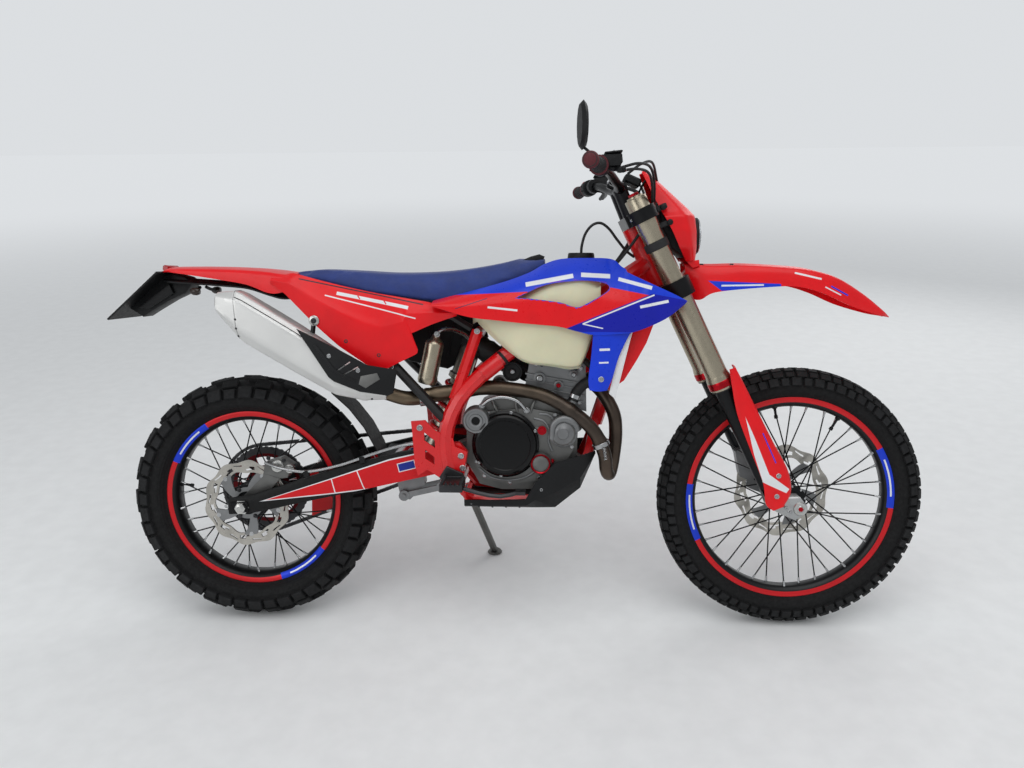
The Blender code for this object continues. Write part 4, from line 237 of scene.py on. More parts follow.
def stickerMaterial(name, baseHex, roughness, areas, insideHex=None, coat=0.125):
    # moulded polypropylene with vinyl stickers: each area is (hex, corners) in the side view; on the side
    # panel one area is painted shadow
    made, tree, shader = newMaterial(
        name, {"Coat Weight": coat, "Coat Roughness": 0.2, "Specular IOR Level": 0.3}
    )
    place = attribute(tree, "place", "Vector")
    colour = linearOf(baseHex)
    for hexColour, corners in areas:
        colour = mixColour(tree, areaMask(tree, place, corners), colour, linearOf(hexColour))
    if insideHex:
        colour = mixColour(tree, attribute(tree, "inner"), colour, linearOf(insideHex))
    finishSurface(tree, shader, colour, roughness, (0.9, 0.04), 0.05)
    return made


redHex, blueHex, deepBlueHex, whiteHex = "#EA0C17", "#0B3BD6", "#0412A6", "#EDEFF2"

# high-gloss injection-moulded polypropylene, bright red, slightly uneven from handling
redPlastic = simpleMaterial("redMouldedPlastic", redHex, 0.34, 0.0, (0.9, 0.04), 0.05, (0.12, 0.2), 0.3)
# glass-filled nylon, injection moulded with a fine matt texture
blackPlastic = simpleMaterial("blackMouldedNylon", "#101113", 0.52, 0.0, (0.8, 0.1), 0.12, None, 0.3)
# powder-coated steel tube, gloss red with slight orange peel
redPaint = simpleMaterial("redPowderCoatedSteel", "#DC0D14", 0.3, 0.0, (2.5, 0.1), 0.06, (0.3, 0.12))
# powder-coated aluminium tube, satin black
blackPaint = simpleMaterial("blackPowderCoatedAluminium", "#0B0C0E", 0.48, 0.0, (1.0, 0.08), 0.1)
# sand-cast aluminium, left raw: dull and grainy
castAluminium = simpleMaterial("sandCastAluminium", "#8C8D8E", 0.46, 0.9, (1.1, 0.22), 0.12)
# die-cast alloy under a thin grey coating that keeps the grain
darkCast = simpleMaterial("greyCoatedCasting", "#747472", 0.44, 0.75, (1.1, 0.2), 0.14)
# die-cast alloy under a baked black coating
blackCast = simpleMaterial("blackCoatedCasting", "#17181A", 0.4, 0.35, (0.9, 0.1), 0.1)
# pressed cover under smooth black lacquer
glossBlack = simpleMaterial("blackLacqueredCover", "#040405", 0.2, 0.0, (0.9, 0.05), 0.1, None, 0.28)
# aluminium turned or milled bright, with fine tool marks
machinedAluminium = simpleMaterial("machinedAluminium", "#C9C9C6", 0.28, 1.0, (0.6, 0.05), 0.06)
# zinc-plated steel of bolts, clamps and lines
polishedSteel = simpleMaterial("zincPlatedSteel", "#B9BABB", 0.25, 1.0, (0.6, 0.04), 0.08)
# bare steel darkened by oil and road film
darkSteel = simpleMaterial("oiledSteel", "#4A4A4C", 0.38, 0.9, (0.8, 0.08), 0.15)
# machined aluminium, anodised red or black
redAnodised = simpleMaterial("redAnodisedAluminium", "#B01622", 0.26, 0.9, (0.6, 0.03), 0.06)
blackAnodised = simpleMaterial("blackAnodisedAluminium", "#121315", 0.34, 0.6, (0.6, 0.03), 0.08)
# extruded rubber of hoses, cables and boots
hoseRubber = simpleMaterial("extrudedRubberHose", "#151516", 0.62, 0.0, (0.7, 0.05), 0.1)
# soft moulded grip rubber, dark red ends on a near-black body
gripRubber = simpleMaterial("softRubberGrip", "#5A1620", 0.68, 0.0, (0.8, 0.1), 0.1)
gripDark = simpleMaterial("darkSoftRubber", "#18181A", 0.66, 0.0, (0.8, 0.1), 0.1)
# forged steel stand, worn bare
standSteel = simpleMaterial("forgedSteelStand", "#6E6D6A", 0.42, 0.85, (0.9, 0.12), 0.14)
# white retroreflective sheet on the plate
plateWhite = simpleMaterial("reflectivePlateSheet", "#E8E9EA", 0.35, 0.0, (0.5, 0.03), 0.04)
# moulded acrylic lenses, one smoked and one red
smokedLens = simpleMaterial("smokedIndicatorLens", "#2A1D16", 0.14, 0.0, (1.5, 0.05), 0.05)
tailLens = simpleMaterial("redTailLens", "#A5101A", 0.12, 0.0, (1.5, 0.05), 0.05)


def makeTyreRubber():
    # vulcanised tread compound: black between the knobs, greyer and dusty where they met the road
    made, tree, shader = newMaterial("vulcanisedTreadRubber", {"Specular IOR Level": 0.35})
    dust = remap(tree, objectNoise(tree, 45, 6, 0.7), 0.35, 0.75, 0.25, 1.0)
    dust = mathNode(tree, "MULTIPLY", dust, attribute(tree, "worn"))
    colour = mixColour(tree, dust, linearOf("#0A0A0B"), linearOf("#222325"))
    normal = finishSurface(tree, shader, colour, 0.76, (0.9, 0.12), 0.06)
    addBump(tree, shader, attribute(tree, "ribs"), 0.8, 0.8, normal)
    return made


def makeRimTape(wheel):
    # black anodised rim with a printed ring of tape on its flange: red, with blue parts lined in white
    made, tree, shader = newMaterial(wheel["word"] + "RimTape", {"Metallic": 0.3})
    flat, reach = fromAxle(tree, tuple(wheel["axle"]))
    way = addNode(tree, "VectorMath", links={0: flat}, operation="NORMALIZE").outputs["Vector"]

    def ring(low, high):
        # 1 between two distances in from the rim's edge
        above = mathNode(tree, "GREATER_THAN", reach, wheel["rim"] - low)
        return mathNode(tree, "MULTIPLY", above, mathNode(tree, "LESS_THAN", reach, wheel["rim"] - high))

    colour = mixColour(tree, ring(0.0135, -0.01), linearOf("#0C0D0F"), linearOf("#D4121C"))
    for middle, half in wheel["blueArcs"]:
        aim = (math.cos(math.radians(middle)), 0, math.sin(math.radians(middle)))
        near = addNode(tree, "VectorMath", {1: aim}, {0: way}, operation="DOT_PRODUCT").outputs["Value"]
        for hexColour, low, high, share in ((blueHex, 0.0175, -0.01, 1.0), (whiteHex, 0.0115, 0.007, 0.62)):
            arc = mathNode(tree, "GREATER_THAN", near, math.cos(math.radians(half * share)))
            colour = mixColour(
                tree, mathNode(tree, "MULTIPLY", arc, ring(low, high)), colour, linearOf(hexColour)
            )
    finishSurface(tree, shader, colour, 0.34, (0.6, 0.03), 0.05)
    return made


def makeHeatedSteel():
    # stainless exhaust tube: grey-brown and bronze bands where the gas is hottest
    made, tree, shader = newMaterial("heatTintedStainless", {"Metallic": 0.9})
    links = {0: objectNoise(tree, 60, 4), 2: attribute(tree, "along")}
    wander = addNode(tree, "Math", {1: 0.16}, links, operation="MULTIPLY_ADD").outputs["Value"]
    ramp = addNode(tree, "ValToRGB", links={"Fac": wander})
    stops = (
        (0.0, "#3E3935"), (0.22, "#50463E"), (0.42, "#5E5147"), (0.6, "#4C443E"), (0.8, "#645749"),
        (1.0, "#776957")
    )
    ramp.color_ramp.elements[0].position, ramp.color_ramp.elements[1].position = 0.0, 1.0
    for position, _ in stops[1:-1]:
        ramp.color_ramp.elements.new(position)
    for element, (_, hexColour) in zip(ramp.color_ramp.elements, stops):
        element.color = linearOf(hexColour)
    finishSurface(tree, shader, ramp.outputs["Color"], 0.36, (0.7, 0.06), 0.12, 40)
    return made


def makeSatinAluminium():
    # bead-blasted aluminium sleeve with faint brushing along its length
    made, tree, shader = newMaterial("satinSilencerAluminium", {"Metallic": 0.55})
    finishSurface(tree, shader, linearOf("#DCDCDA"), 0.38, (0.8, 0.05), 0.03, 90, (0.15, 1, 1))
    return made


def makeChampagne():
    # champagne anodised fork tube, ground round its axis so that rings show faintly
    made, tree, shader = newMaterial("champagneAnodisedTube", {"Metallic": 0.95})
    finishSurface(tree, shader, linearOf("#ADA491"), 0.28, (0.5, 0.03), 0.05, 80)
    return made


def makeTankPlastic():
    # rotomoulded natural polyethylene: cream, milky and slightly translucent
    made, tree, shader = newMaterial(
        "naturalPolyethylene", {"Subsurface Weight": 0.25, "Subsurface Scale": 0.02, "IOR": 1.5},
    )
    finishSurface(tree, shader, linearOf("#DCD8B8"), 0.4, (1.4, 0.08), 0.05, 110)
    return made


def makeSeatCover():
    # pressed vinyl gripper cover: small round grain, about 1.6 mm apart, that only shows close up
    made, tree, shader = newMaterial("navyGripVinyl", {"Sheen Weight": 0.15})
    where = addNode(tree, "TexCoord").outputs["Object"]
    grain = addNode(tree, "TexVoronoi", {"Scale": 1000 / 1.6}, {"Vector": where}).outputs["Distance"]
    normal = finishSurface(tree, shader, linearOf("#1A357E"), 0.62, (0.9, 0.05), 0.12, 60)
    addBump(tree, shader, grain, 0.25, 0.5, normal)
    return made


def makeRadiatorCore():
    # folded aluminium fins between flat tubes, 2.5 mm apart; the colour is lighter grey on the fins and dark
    # between them, and the dark bands are painted shade of the gaps
    made, tree, shader = newMaterial("brazedRadiatorCore", {"Metallic": 0.8})
    where = addNode(tree, "TexCoord").outputs["Object"]
    fins = addNode(
        tree, "TexWave", {"Scale": 1000 / 2.5 / 6.28, "Distortion": 0.4}, {"Vector": where},
        bands_direction="Z",
    ).outputs["Fac"]
    # painted shade: dark grey bands between the fins, lighter grey on them
    colour = mixColour(tree, remap(tree, fins, 0.3, 0.7, 0, 1), linearOf("#2A2B2D"), linearOf("#7C7D7F"))
    normal = finishSurface(tree, shader, colour, 0.5, (0.8, 0.05), 0.08)
    addBump(tree, shader, fins, 1.0, 0.7, normal)
    return made


def makeLens():
    # clear moulded polycarbonate
    made, tree, shader = newMaterial("clearPolycarbonate", {"Transmission Weight": 0.85, "IOR": 1.58})
    finishSurface(tree, shader, linearOf("#E9EEF2"), 0.08, (3.0, 0.05), 0.02)
    return made


tyreRubber, heatedSteel, satinAluminium = makeTyreRubber(), makeHeatedSteel(), makeSatinAluminium()
champagneTube, tankPlastic, seatCover = makeChampagne(), makeTankPlastic(), makeSeatCover()
radiatorCore, clearLens = makeRadiatorCore(), makeLens()
print("materials ready")


# Surfaces: grids of points from formulas, and the pieces made of them.

def gridFaces(rows, columns, wrapRows=False, wrapColumns=False):
    # one quad for each cell of the grid
    r = np.arange(rows if wrapRows else rows - 1)[:, None]
    c = np.arange(columns if wrapColumns else columns - 1)[None, :]
    nextRow, nextColumn = (r + 1) % rows, (c + 1) % columns
    corners = (
        r * columns + c, r * columns + nextColumn, nextRow * columns + nextColumn, nextRow * columns + c
    )
    return np.stack([np.broadcast_to(k, (len(r), c.shape[1])) for k in corners], -1).reshape(-1, 4)


def resample(rows, count):
    # a smooth curve through the rows; each stretch is a cubic with slopes of half the step between neighbours
    rows = np.asarray(rows, float)
    padded = np.concatenate([2 * rows[:1] - rows[1:2], rows, 2 * rows[-1:] - rows[-2:-1]])
    at = np.linspace(0, len(rows) - 1, count)
    base = np.minimum(at.astype(int), len(rows) - 2)
    t = (at - base).reshape((-1,) + (1,) * (rows.ndim - 1))
    a, b, c, d = padded[base], padded[base + 1], padded[base + 2], padded[base + 3]
    return 0.5 * (
        2 * b + (c - a) * t + (2 * a - 5 * b + 4 * c - d) * t ** 2 + (3 * b - a - 3 * c + d) * t ** 3
    )


def straight(rows, count, soften=0):
    # straight stretches between the rows, their corners eased by a short running mean
    rows = np.asarray(rows, float)
    at = np.linspace(0, len(rows) - 1, count)
    base = np.minimum(at.astype(int), len(rows) - 2)
    t = (at - base).reshape((-1,) + (1,) * (rows.ndim - 1))
    found = rows[base] * (1 - t) + rows[base + 1] * t
    for _ in range(soften):
        found[1:-1] = found[:-2] * 0.25 + found[1:-1] * 0.5 + found[2:] * 0.25
    return found


def creasedGrid(rows, rowCount, columnCount, soften=2):
    # straight stretches both ways, with eased corners
    once = straight(rows, rowCount, soften)
    return straight(once.transpose(1, 0, 2), columnCount, soften).transpose(1, 0, 2)


def smoothGrid(rows, rowCount, columnCount):
    # smooth curves along the rows, then across them
    once = resample(rows, rowCount)
    return resample(once.transpose(1, 0, 2), columnCount).transpose(1, 0, 2)


def signedVolume(points, faces):
    # sum over each quad's two triangles of corner . (corner x corner) / 6; positive where faces look outwards
    a, b, c, d = (points[faces[:, i]] for i in range(4))
    return (np.einsum("ij,ij->i", a, np.cross(b, c)) + np.einsum("ij,ij->i", a, np.cross(c, d))).sum() / 6


def oriented(points, faces):
    centred = points - points.mean(0)
    return faces[:, ::-1] if signedVolume(centred, faces) < 0 else faces


def addPiece(
    name, points, faces, material, body, replaces=(), layers=None, weld=False, smooth=40, slot=None,
    blend=None
):
    # points in the upright frame and quads; a repeated corner makes a triangle
    points, faces = np.asarray(points, float).reshape(-1, 3), np.asarray(faces, int)
    mesh = bpy.data.meshes.new(name)
    mesh.vertices.add(len(points))
    mesh.vertices.foreach_set("co", toWorld(points).astype(np.float32).ravel())
    mesh.loops.add(faces.size)
    mesh.loops.foreach_set("vertex_index", faces.ravel())
    mesh.polygons.add(len(faces))
    mesh.polygons.foreach_set("loop_start", np.arange(0, faces.size, 4))
    mesh.update(calc_edges=True)
    placeLayer = mesh.attributes.new("place", "FLOAT_VECTOR", "POINT")
    placeLayer.data.foreach_set("vector", points.astype(np.float32).ravel())
    for key, values in (layers or {}).items():
        layer = mesh.attributes.new(key, "FLOAT", "POINT")
        layer.data.foreach_set("value", np.asarray(values, np.float32).ravel())
    if weld:
        bm = bmesh.new()
        bm.from_mesh(mesh)
        bmesh.ops.remove_doubles(bm, verts=bm.verts, dist=1e-6)
        bmesh.ops.dissolve_degenerate(bm, edges=bm.edges, dist=1e-7)
        bm.to_mesh(mesh)
        bm.free()
    mesh.validate()
    mesh.shade_smooth()
    mesh.set_sharp_from_angle(angle=math.radians(smooth))
    mesh.materials.append(material)
    piece = bpy.data.objects.new(name, mesh)
    bpy.context.scene.collection.objects.link(piece)
    if blend:
        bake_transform(piece)
    else:
        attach(piece, body)
    if replaces:
        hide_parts(*([replaces] if isinstance(replaces, str) else replaces))
    return piece


def fixNormals(piece):
    bm = bmesh.new()
    bm.from_mesh(piece.data)
    bmesh.ops.recalc_face_normals(bm, faces=bm.faces)
    bm.to_mesh(piece.data)
    bm.free()


def closedLoft(rings):
    # rings joined in turn, each end closed by a fan to its middle
    ends = [np.broadcast_to(rings[k].mean(0), (1,) + rings.shape[1:]) for k in (0, -1)]
    grid = np.concatenate([ends[0], rings, ends[1]])
    points = grid.reshape(-1, 3)
    return points, oriented(points, gridFaces(len(grid), grid.shape[1], wrapColumns=True))


def bothSides(half):
    # a half ring that starts and ends at the middle, then its mirror image back to the start
    return np.concatenate([half, half[-2:0:-1] * [1, -1, 1]])


def shellOf(grid, thickness):
    # the surface, the same surface moved inwards along its normals, and a strip round the edge
    rows, columns = grid.shape[:2]
    du, dv = np.gradient(grid, axis=0), np.gradient(grid, axis=1)
    normal = np.cross(du, dv)
    normal /= np.maximum(np.linalg.norm(normal, axis=2, keepdims=True), 1e-12)
    inner = grid - normal * thickness
    points = np.concatenate([grid.reshape(-1, 3), inner.reshape(-1, 3)])
    count = rows * columns
    index = np.arange(count).reshape(rows, columns)
    border = np.concatenate([index[0, :-1], index[:-1, -1], index[-1, :0:-1], index[:0:-1, 0]])
    after = np.roll(border, -1)
    edge = np.stack([border, border + count, after + count, after], -1)
    faces = np.concatenate([gridFaces(rows, columns), gridFaces(rows, columns)[:, ::-1] + count, edge])
    inside = np.concatenate([np.zeros(count), np.ones(count)])
    return points, oriented(points, faces), inside


def revolveOf(profile, centre, axis, sides, start=0.0):
    # each profile point (radius, height) carried round the axis
    profile = np.asarray(profile, float)
    axis = np.asarray(axis, float) / np.linalg.norm(axis)
    aside = np.cross(axis, [0.0, 0.0, 1.0] if abs(axis[2]) < 0.9 else [1.0, 0.0, 0.0])
    aside /= np.linalg.norm(aside)
    other = np.cross(axis, aside)
    angle = start + np.linspace(0, 2 * np.pi, sides, endpoint=False)
    ring = np.cos(angle)[:, None] * aside + np.sin(angle)[:, None] * other
    points = np.asarray(centre) + profile[None, :, 1:2] * axis + profile[None, :, 0:1] * ring[:, None, :]
    faces = gridFaces(sides, len(profile), wrapRows=True)
    return points.reshape(-1, 3), oriented(points.reshape(-1, 3), faces)


def addTurned(name, profile, centre, axis, sides, material, body="frame", **more):
    points, faces = revolveOf(profile, centre, axis, sides)
    return addPiece(name, points, faces, material, body, weld=True, **more)


def tubeOf(path, radius, sides=16, close=True):
    # circles carried along the path, each turned as little as possible from the one before
    path = np.asarray(path, float)
    count = len(path)
    radius = np.broadcast_to(np.asarray(radius, float), (count,))
    tangent = np.gradient(path, axis=0)
    tangent /= np.linalg.norm(tangent, axis=1, keepdims=True)
    normal = np.cross(tangent[0], [0.0, 1.0, 0.0] if abs(tangent[0][1]) < 0.9 else [1.0, 0.0, 0.0])
    normals = []
    for direction in tangent:
        normal = normal - direction * (normal @ direction)
        normal = normal / np.linalg.norm(normal)
        normals.append(normal)
    normals = np.array(normals)
    binormals = np.cross(tangent, normals)
    angle = np.linspace(0, 2 * np.pi, sides, endpoint=False)
    ring = np.cos(angle)[None, :, None] * normals[:, None] + np.sin(angle)[None, :, None] * binormals[:, None]
    points = path[:, None] + ring * radius[:, None, None]
    faces = gridFaces(count, sides, wrapColumns=True)
    along = np.repeat(np.linspace(0, 1, count), sides)
    points = points.reshape(-1, 3)
    if close:
        points = np.concatenate([points, path[:1], path[-1:]])
        along = np.concatenate([along, [0, 1]])
        k = np.arange(sides)
        first, last = (
            np.stack([k, (k + 1) % sides, np.full(sides, tip), np.full(sides, tip)], -1)
            for tip in (count * sides, count * sides + 1)
        )
        faces = np.concatenate([faces, first[:, ::-1], last + np.array([1, 1, 0, 0]) * (count - 1) * sides])
    return points, oriented(points, faces), along


def addTube(name, points, radius, material, body="frame", count=40, sides=14, **more):
    tubePoints, faces, along = tubeOf(resample(points, count), radius, sides)
    layers = {"along": along, **more.pop("layers", {})}
    return addPiece(name, tubePoints, faces, material, body, layers=layers, weld=True, **more)


def repeated(points, faces, centres, frames):
    # one copy of the form at each centre, turned by its frame
    centres, frames = np.asarray(centres, float), np.asarray(frames, float)
    copies = np.einsum("nij,pj->npi", frames, points) + centres[:, None]
    offset = (np.arange(len(centres)) * len(points))[:, None, None]
    return copies.reshape(-1, 3), (faces[None] + offset).reshape(-1, 4)


def framesAlong(directions):
    # for each direction, a turn that takes Z to it
    z = np.asarray(directions, float)
    z = z / np.linalg.norm(z, axis=1, keepdims=True)
    helper = np.where(np.abs(z[:, 1:2]) < 0.9, np.array([[0.0, 1.0, 0.0]]), np.array([[1.0, 0.0, 0.0]]))
    x = np.cross(helper, z)
    x /= np.linalg.norm(x, axis=1, keepdims=True)
    return np.stack([x, np.cross(z, x), z], -1)


def stacked(*forms):
    # several (points, faces) joined into one
    points, faces, offset = [], [], 0
    for p, f in forms:
        points.append(p)
        faces.append(f + offset)
        offset += len(p)
    return np.concatenate(points), np.concatenate(faces)


def boltForm(radius, height):
    # a flange, a hexagon above it and a shallow dish in its top, as shares of radius and height
    scale = np.array([radius, height])
    flange = np.array([(0, 0), (1, 0), (1, 0.22), (0.85, 0.34), (0, 0.34)]) * scale
    flange[:2, 1] = -0.001
    head = [(0, 0), (0.68, 0), (0.68, 0.88), (0.6, 1), (0.38, 1), (0.3, 0.7), (0, 0.7)] * scale
    return stacked(upright(flange, 18), upright(head, 6))


def addBolts(name, spots, radius, height, material, body="frame"):
    # spots are (x, y, z) and the way each head faces
    places, ways = zip(*spots)
    return addCopies(name, boltForm(radius, height), places, framesAlong(ways), material, body, smooth=30)


def addSideBolts(name, y, spots, radius, height, material, body="frame"):
    # heads at (x, z) that face sideways, away from the middle
    addBolts(name, [((x, y, z), (0, np.sign(y), 0)) for x, z in spots], radius, height, material, body)


def around(x, z, radius, degrees):
    # spots on a circle in the side view
    return [(x + radius * math.cos(a), z + radius * math.sin(a)) for a in np.radians(degrees)]


def addFittings(turned=(), tubes=(), bolts=(), plates=()):
    # tables of pieces on the frame; turned ones and bolts face sideways, away from the middle
    for name, profile, place, sides, material in turned:
        addTurned(name, profile, place, (0, np.sign(place[1]), 0), sides, material)
    for name, route, radius, material, count, sides in tubes:
        addTube(name, route, radius, material, "frame", count, sides)
    for name, y, spots, radius, height, material in bolts:
        addSideBolts(name, y, spots, radius, height, material)
    for name, outline, y, thickness, material, bevel in plates:
        addPlate(name, outline, y, thickness, material, bevel=bevel)


def addCopies(name, form, centres, frames, material, body="frame", **more):
    points, faces = repeated(*form, centres, frames)
    return addPiece(name, points, faces, material, body, weld=True, **more)


def upright(profile, sides):
    # a profile turned about Z at the origin
    return revolveOf(profile, (0, 0, 0), (0, 0, 1), sides)


def blockForm(size, bevel):
    # a box with its edges cut at 45 degrees: rings of eight corners at four heights
    a, b, c = (s / 2 for s in size)
    def ring(inset, height):
        x, y = a - inset, b - inset
        return [
            (x, y - bevel, height), (x - bevel, y, height), (-x + bevel, y, height),
            (-x, y - bevel, height), (-x, -y + bevel, height), (-x + bevel, -y, height),
            (x - bevel, -y, height), (x, -y + bevel, height)
        ]
    rings = [
        [(0, 0, -c)] * 8, ring(bevel, -c), ring(0, -c + bevel), ring(0, c - bevel), ring(bevel, c),
        [(0, 0, c)] * 8
    ]
    points = np.array(rings, float).reshape(-1, 3)
    return points, oriented(points, gridFaces(6, 8, wrapColumns=True))


def addBlock(name, size, centre, material, body="frame", tilt=0.0, bevel=0.002, **more):
    # tilt in degrees about the lateral axis, nose up
    turn = np.array(Matrix.Rotation(-math.radians(tilt), 3, "Y"))
    points, faces = blockForm(size, bevel)
    return addPiece(
        name, points @ turn.T + np.array(centre), faces, material, body, weld=True, smooth=30, **more
    )


def addPlate(name, outline, y, thickness, material, body="frame", holes=(), bevel=0.0008, **more):
    # a flat curve filled between its outline and holes, given thickness, then stood up at y
    curve = bpy.data.curves.new(name, "CURVE")
    curve.dimensions, curve.fill_mode = "2D", "BOTH"
    curve.extrude = thickness / 2 - bevel
    curve.bevel_depth, curve.bevel_resolution, curve.offset = bevel, 1, -bevel
    for loop in (outline, *holes):
        spline = curve.splines.new("POLY")
        spline.points.add(len(loop) - 1)
        spline.use_cyclic_u = True
        spline.points.foreach_set("co", np.array([(x, z, 0, 1) for x, z in loop], np.float32).ravel())
    holder = bpy.data.objects.new(name + "Curve", curve)
    bpy.context.scene.collection.objects.link(holder)
    bpy.context.view_layer.update()
    flatMesh = bpy.data.meshes.new_from_object(holder.evaluated_get(bpy.context.evaluated_depsgraph_get()))
    bpy.data.objects.remove(holder)
    bm = bmesh.new()
    bm.from_mesh(flatMesh)
    bmesh.ops.remove_doubles(bm, verts=bm.verts, dist=1e-6)
    bmesh.ops.transform(
        bm, matrix=Matrix.Translation((0, y, 0)) @ Matrix.Rotation(math.pi / 2, 4, "X"), verts=bm.verts
    )
    bmesh.ops.recalc_face_normals(bm, faces=bm.faces)
    layer = bm.verts.layers.float_vector.new("place")
    for vert in bm.verts:
        vert[layer] = vert.co
    bmesh.ops.transform(bm, matrix=placing, verts=bm.verts)
    if bm.calc_volume(signed=True) < 0:
        bmesh.ops.reverse_faces(bm, faces=bm.faces)
    bm.to_mesh(flatMesh)
    bm.free()
    return dress(name, flatMesh, material, body, **more)


def dress(name, mesh, material, body, replaces=(), smooth=30, slot=None):
    mesh.shade_smooth()
    mesh.set_sharp_from_angle(angle=math.radians(smooth))
    mesh.materials.clear()
    mesh.materials.append(material)
    piece = bpy.data.objects.new(name, mesh)
    bpy.context.scene.collection.objects.link(piece)
    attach(piece, body)
    if replaces:
        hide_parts(*([replaces] if isinstance(replaces, str) else replaces))
    return piece


uprightArray = np.linalg.inv(turnArray)


def dressNode(node, material, body, bevel=0.0012, smooth=32):
    # the node's own shape with its doubles merged, flat areas joined and edges eased
    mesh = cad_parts[node].data.copy()
    bm = bmesh.new()
    bm.from_mesh(mesh)
    bmesh.ops.remove_doubles(bm, verts=bm.verts, dist=1e-5)
    bmesh.ops.dissolve_limit(bm, angle_limit=math.radians(1.0), verts=bm.verts, edges=bm.edges)
    bm.to_mesh(mesh)
    bm.free()
    co = np.zeros(len(mesh.vertices) * 3, np.float32)
    mesh.vertices.foreach_get("co", co)
    layer = mesh.attributes.get("place") or mesh.attributes.new("place", "FLOAT_VECTOR", "POINT")
    layer.data.foreach_set(
        "vector", ((co.reshape(-1, 3) - shiftArray) @ uprightArray.T).astype(np.float32).ravel()
    )
    piece = dress(node + "Surface", mesh, material, body, replaces=node, smooth=smooth)
    if bevel:
        easing = piece.modifiers.new("edges", "BEVEL")
        easing.width, easing.segments, easing.limit_method = bevel, 2, "ANGLE"
        easing.angle_limit = math.radians(38)
        easing.use_clamp_overlap = True
    return piece


def polarPlate(
    name, centre, radii, sectors, keep, y, thickness, material, body, wave=None, twist=0.0, **more
):
    # a ring of cells in radius and angle; the kept cells get two faces and walls where a neighbour is missing
    radii = np.asarray(radii, float)
    rows, columns = len(radii), sectors
    angle = np.arange(columns) / columns * 2 * np.pi
    reach = np.broadcast_to(radii[:, None], (rows, columns)).copy()
    if wave is not None:
        reach = reach * (1 + wave(angle)[None, :])
    turned = angle[None, :] + twist * ((radii - radii[0]) / (radii[-1] - radii[0]))[:, None]
    flat = np.stack([reach * np.cos(turned), np.zeros((rows, columns)), reach * np.sin(turned)], -1)
    top = flat + np.asarray(centre) + acrossAxis * (y + thickness / 2)
    points = np.concatenate([top.reshape(-1, 3), (top - acrossAxis * thickness).reshape(-1, 3)])
    count = rows * columns
    keep = np.asarray(keep, bool)
    cells = gridFaces(rows, columns, wrapColumns=True).reshape(rows - 1, columns, 4)
    upper = cells[keep]
    walls = []
    padded = np.pad(keep, ((1, 1), (0, 0)))
    for r, c in zip(*np.where(padded[1:] != padded[:-1])):
        walls.append((r * columns + c, r * columns + (c + 1) % columns, bool(padded[r, c])))
    for r, c in zip(*np.where(keep != np.roll(keep, 1, axis=1))):
        walls.append((r * columns + c, (r + 1) * columns + c, not keep[r, c - 1]))
    sides = np.array(
        [(a, b, b + count, a + count) if way else (b, a, a + count, b + count) for a, b, way in walls]
    )
    faces = np.concatenate([upper, upper[:, ::-1] + count, sides])
    used = np.unique(faces)
    lookup = np.zeros(2 * count, int)
    lookup[used] = np.arange(len(used))
    piece = addPiece(name, points[used], lookup[faces], material, body, smooth=30, **more)
    fixNormals(piece)
    return piece


# Camera, light and floor.

camera = {
    "place": (0.8287, -2.2149, 0.9759),
    "yaw": -2.72,  # degrees from square on, positive towards the front wheel
    "down": 7.98,
    "roll": -0.13,
    "lens": 816.54 / 1024 * 36,
}


def makeCamera():
    yaw, down, roll = (math.radians(camera[k]) for k in ("yaw", "down", "roll"))
    look = Vector((math.sin(yaw) * math.cos(down), math.cos(yaw) * math.cos(down), -math.sin(down)))
    aside = look.cross(Vector((0, 0, 1))).normalized()
    above = aside.cross(look).normalized()
    turned = aside * math.cos(roll) + above * math.sin(roll), above * math.cos(roll) - aside * math.sin(roll)
    axes = Matrix((*turned, -look)).transposed().to_4x4()
    made = bpy.data.objects.new("photoCamera", bpy.data.cameras.new("photoCamera"))
    bpy.context.scene.collection.objects.link(made)
    made.matrix_world = placing @ Matrix.Translation(camera["place"]) @ axes
    made.data.lens, made.data.sensor_width = camera["lens"], 36
    made.data.clip_start = 0.05
    bpy.context.scene.camera = made


studio = {
    "lampPower": 62, "sidePower": 34, "worldStrength": 0.62, "seenStrength": 0.92, "glowStrength": 0.905,
    "skyHex": "#E4E7EA", "fadeFrom": 1.5, "fadeTo": 13.0, "floorSize": 60.0, "floorHex": "#F3F4F4"
}


def makeFloorPaint():
    # painted studio floor, barely mottled; far away it glows as pale as the background, so that no edge shows
    made, tree, shader = newMaterial(
        "paintedStudioFloor", {"Specular IOR Level": 0.15, "Emission Color": linearOf(studio["skyHex"])}
    )
    place = addNode(tree, "TexCoord").outputs["Object"]
    reach = addNode(tree, "VectorMath", links={0: place}, operation="LENGTH").outputs["Value"]
    bounds = {"From Min": studio["fadeFrom"], "From Max": studio["fadeTo"]}
    far = addNode(
        tree, "MapRange", bounds, {"Value": reach}, interpolation_type="SMOOTHSTEP"
    ).outputs["Result"]
    finishSurface(
        tree, shader, mixColour(tree, far, linearOf(studio["floorHex"]), (0.0, 0.0, 0.0, 1.0)), 0.8,
        (3.0, 0.05), 0.02
    )
    tree.links.new(remap(tree, far, 0, 1, 0, studio["glowStrength"]), shader.inputs["Emission Strength"])
    return made


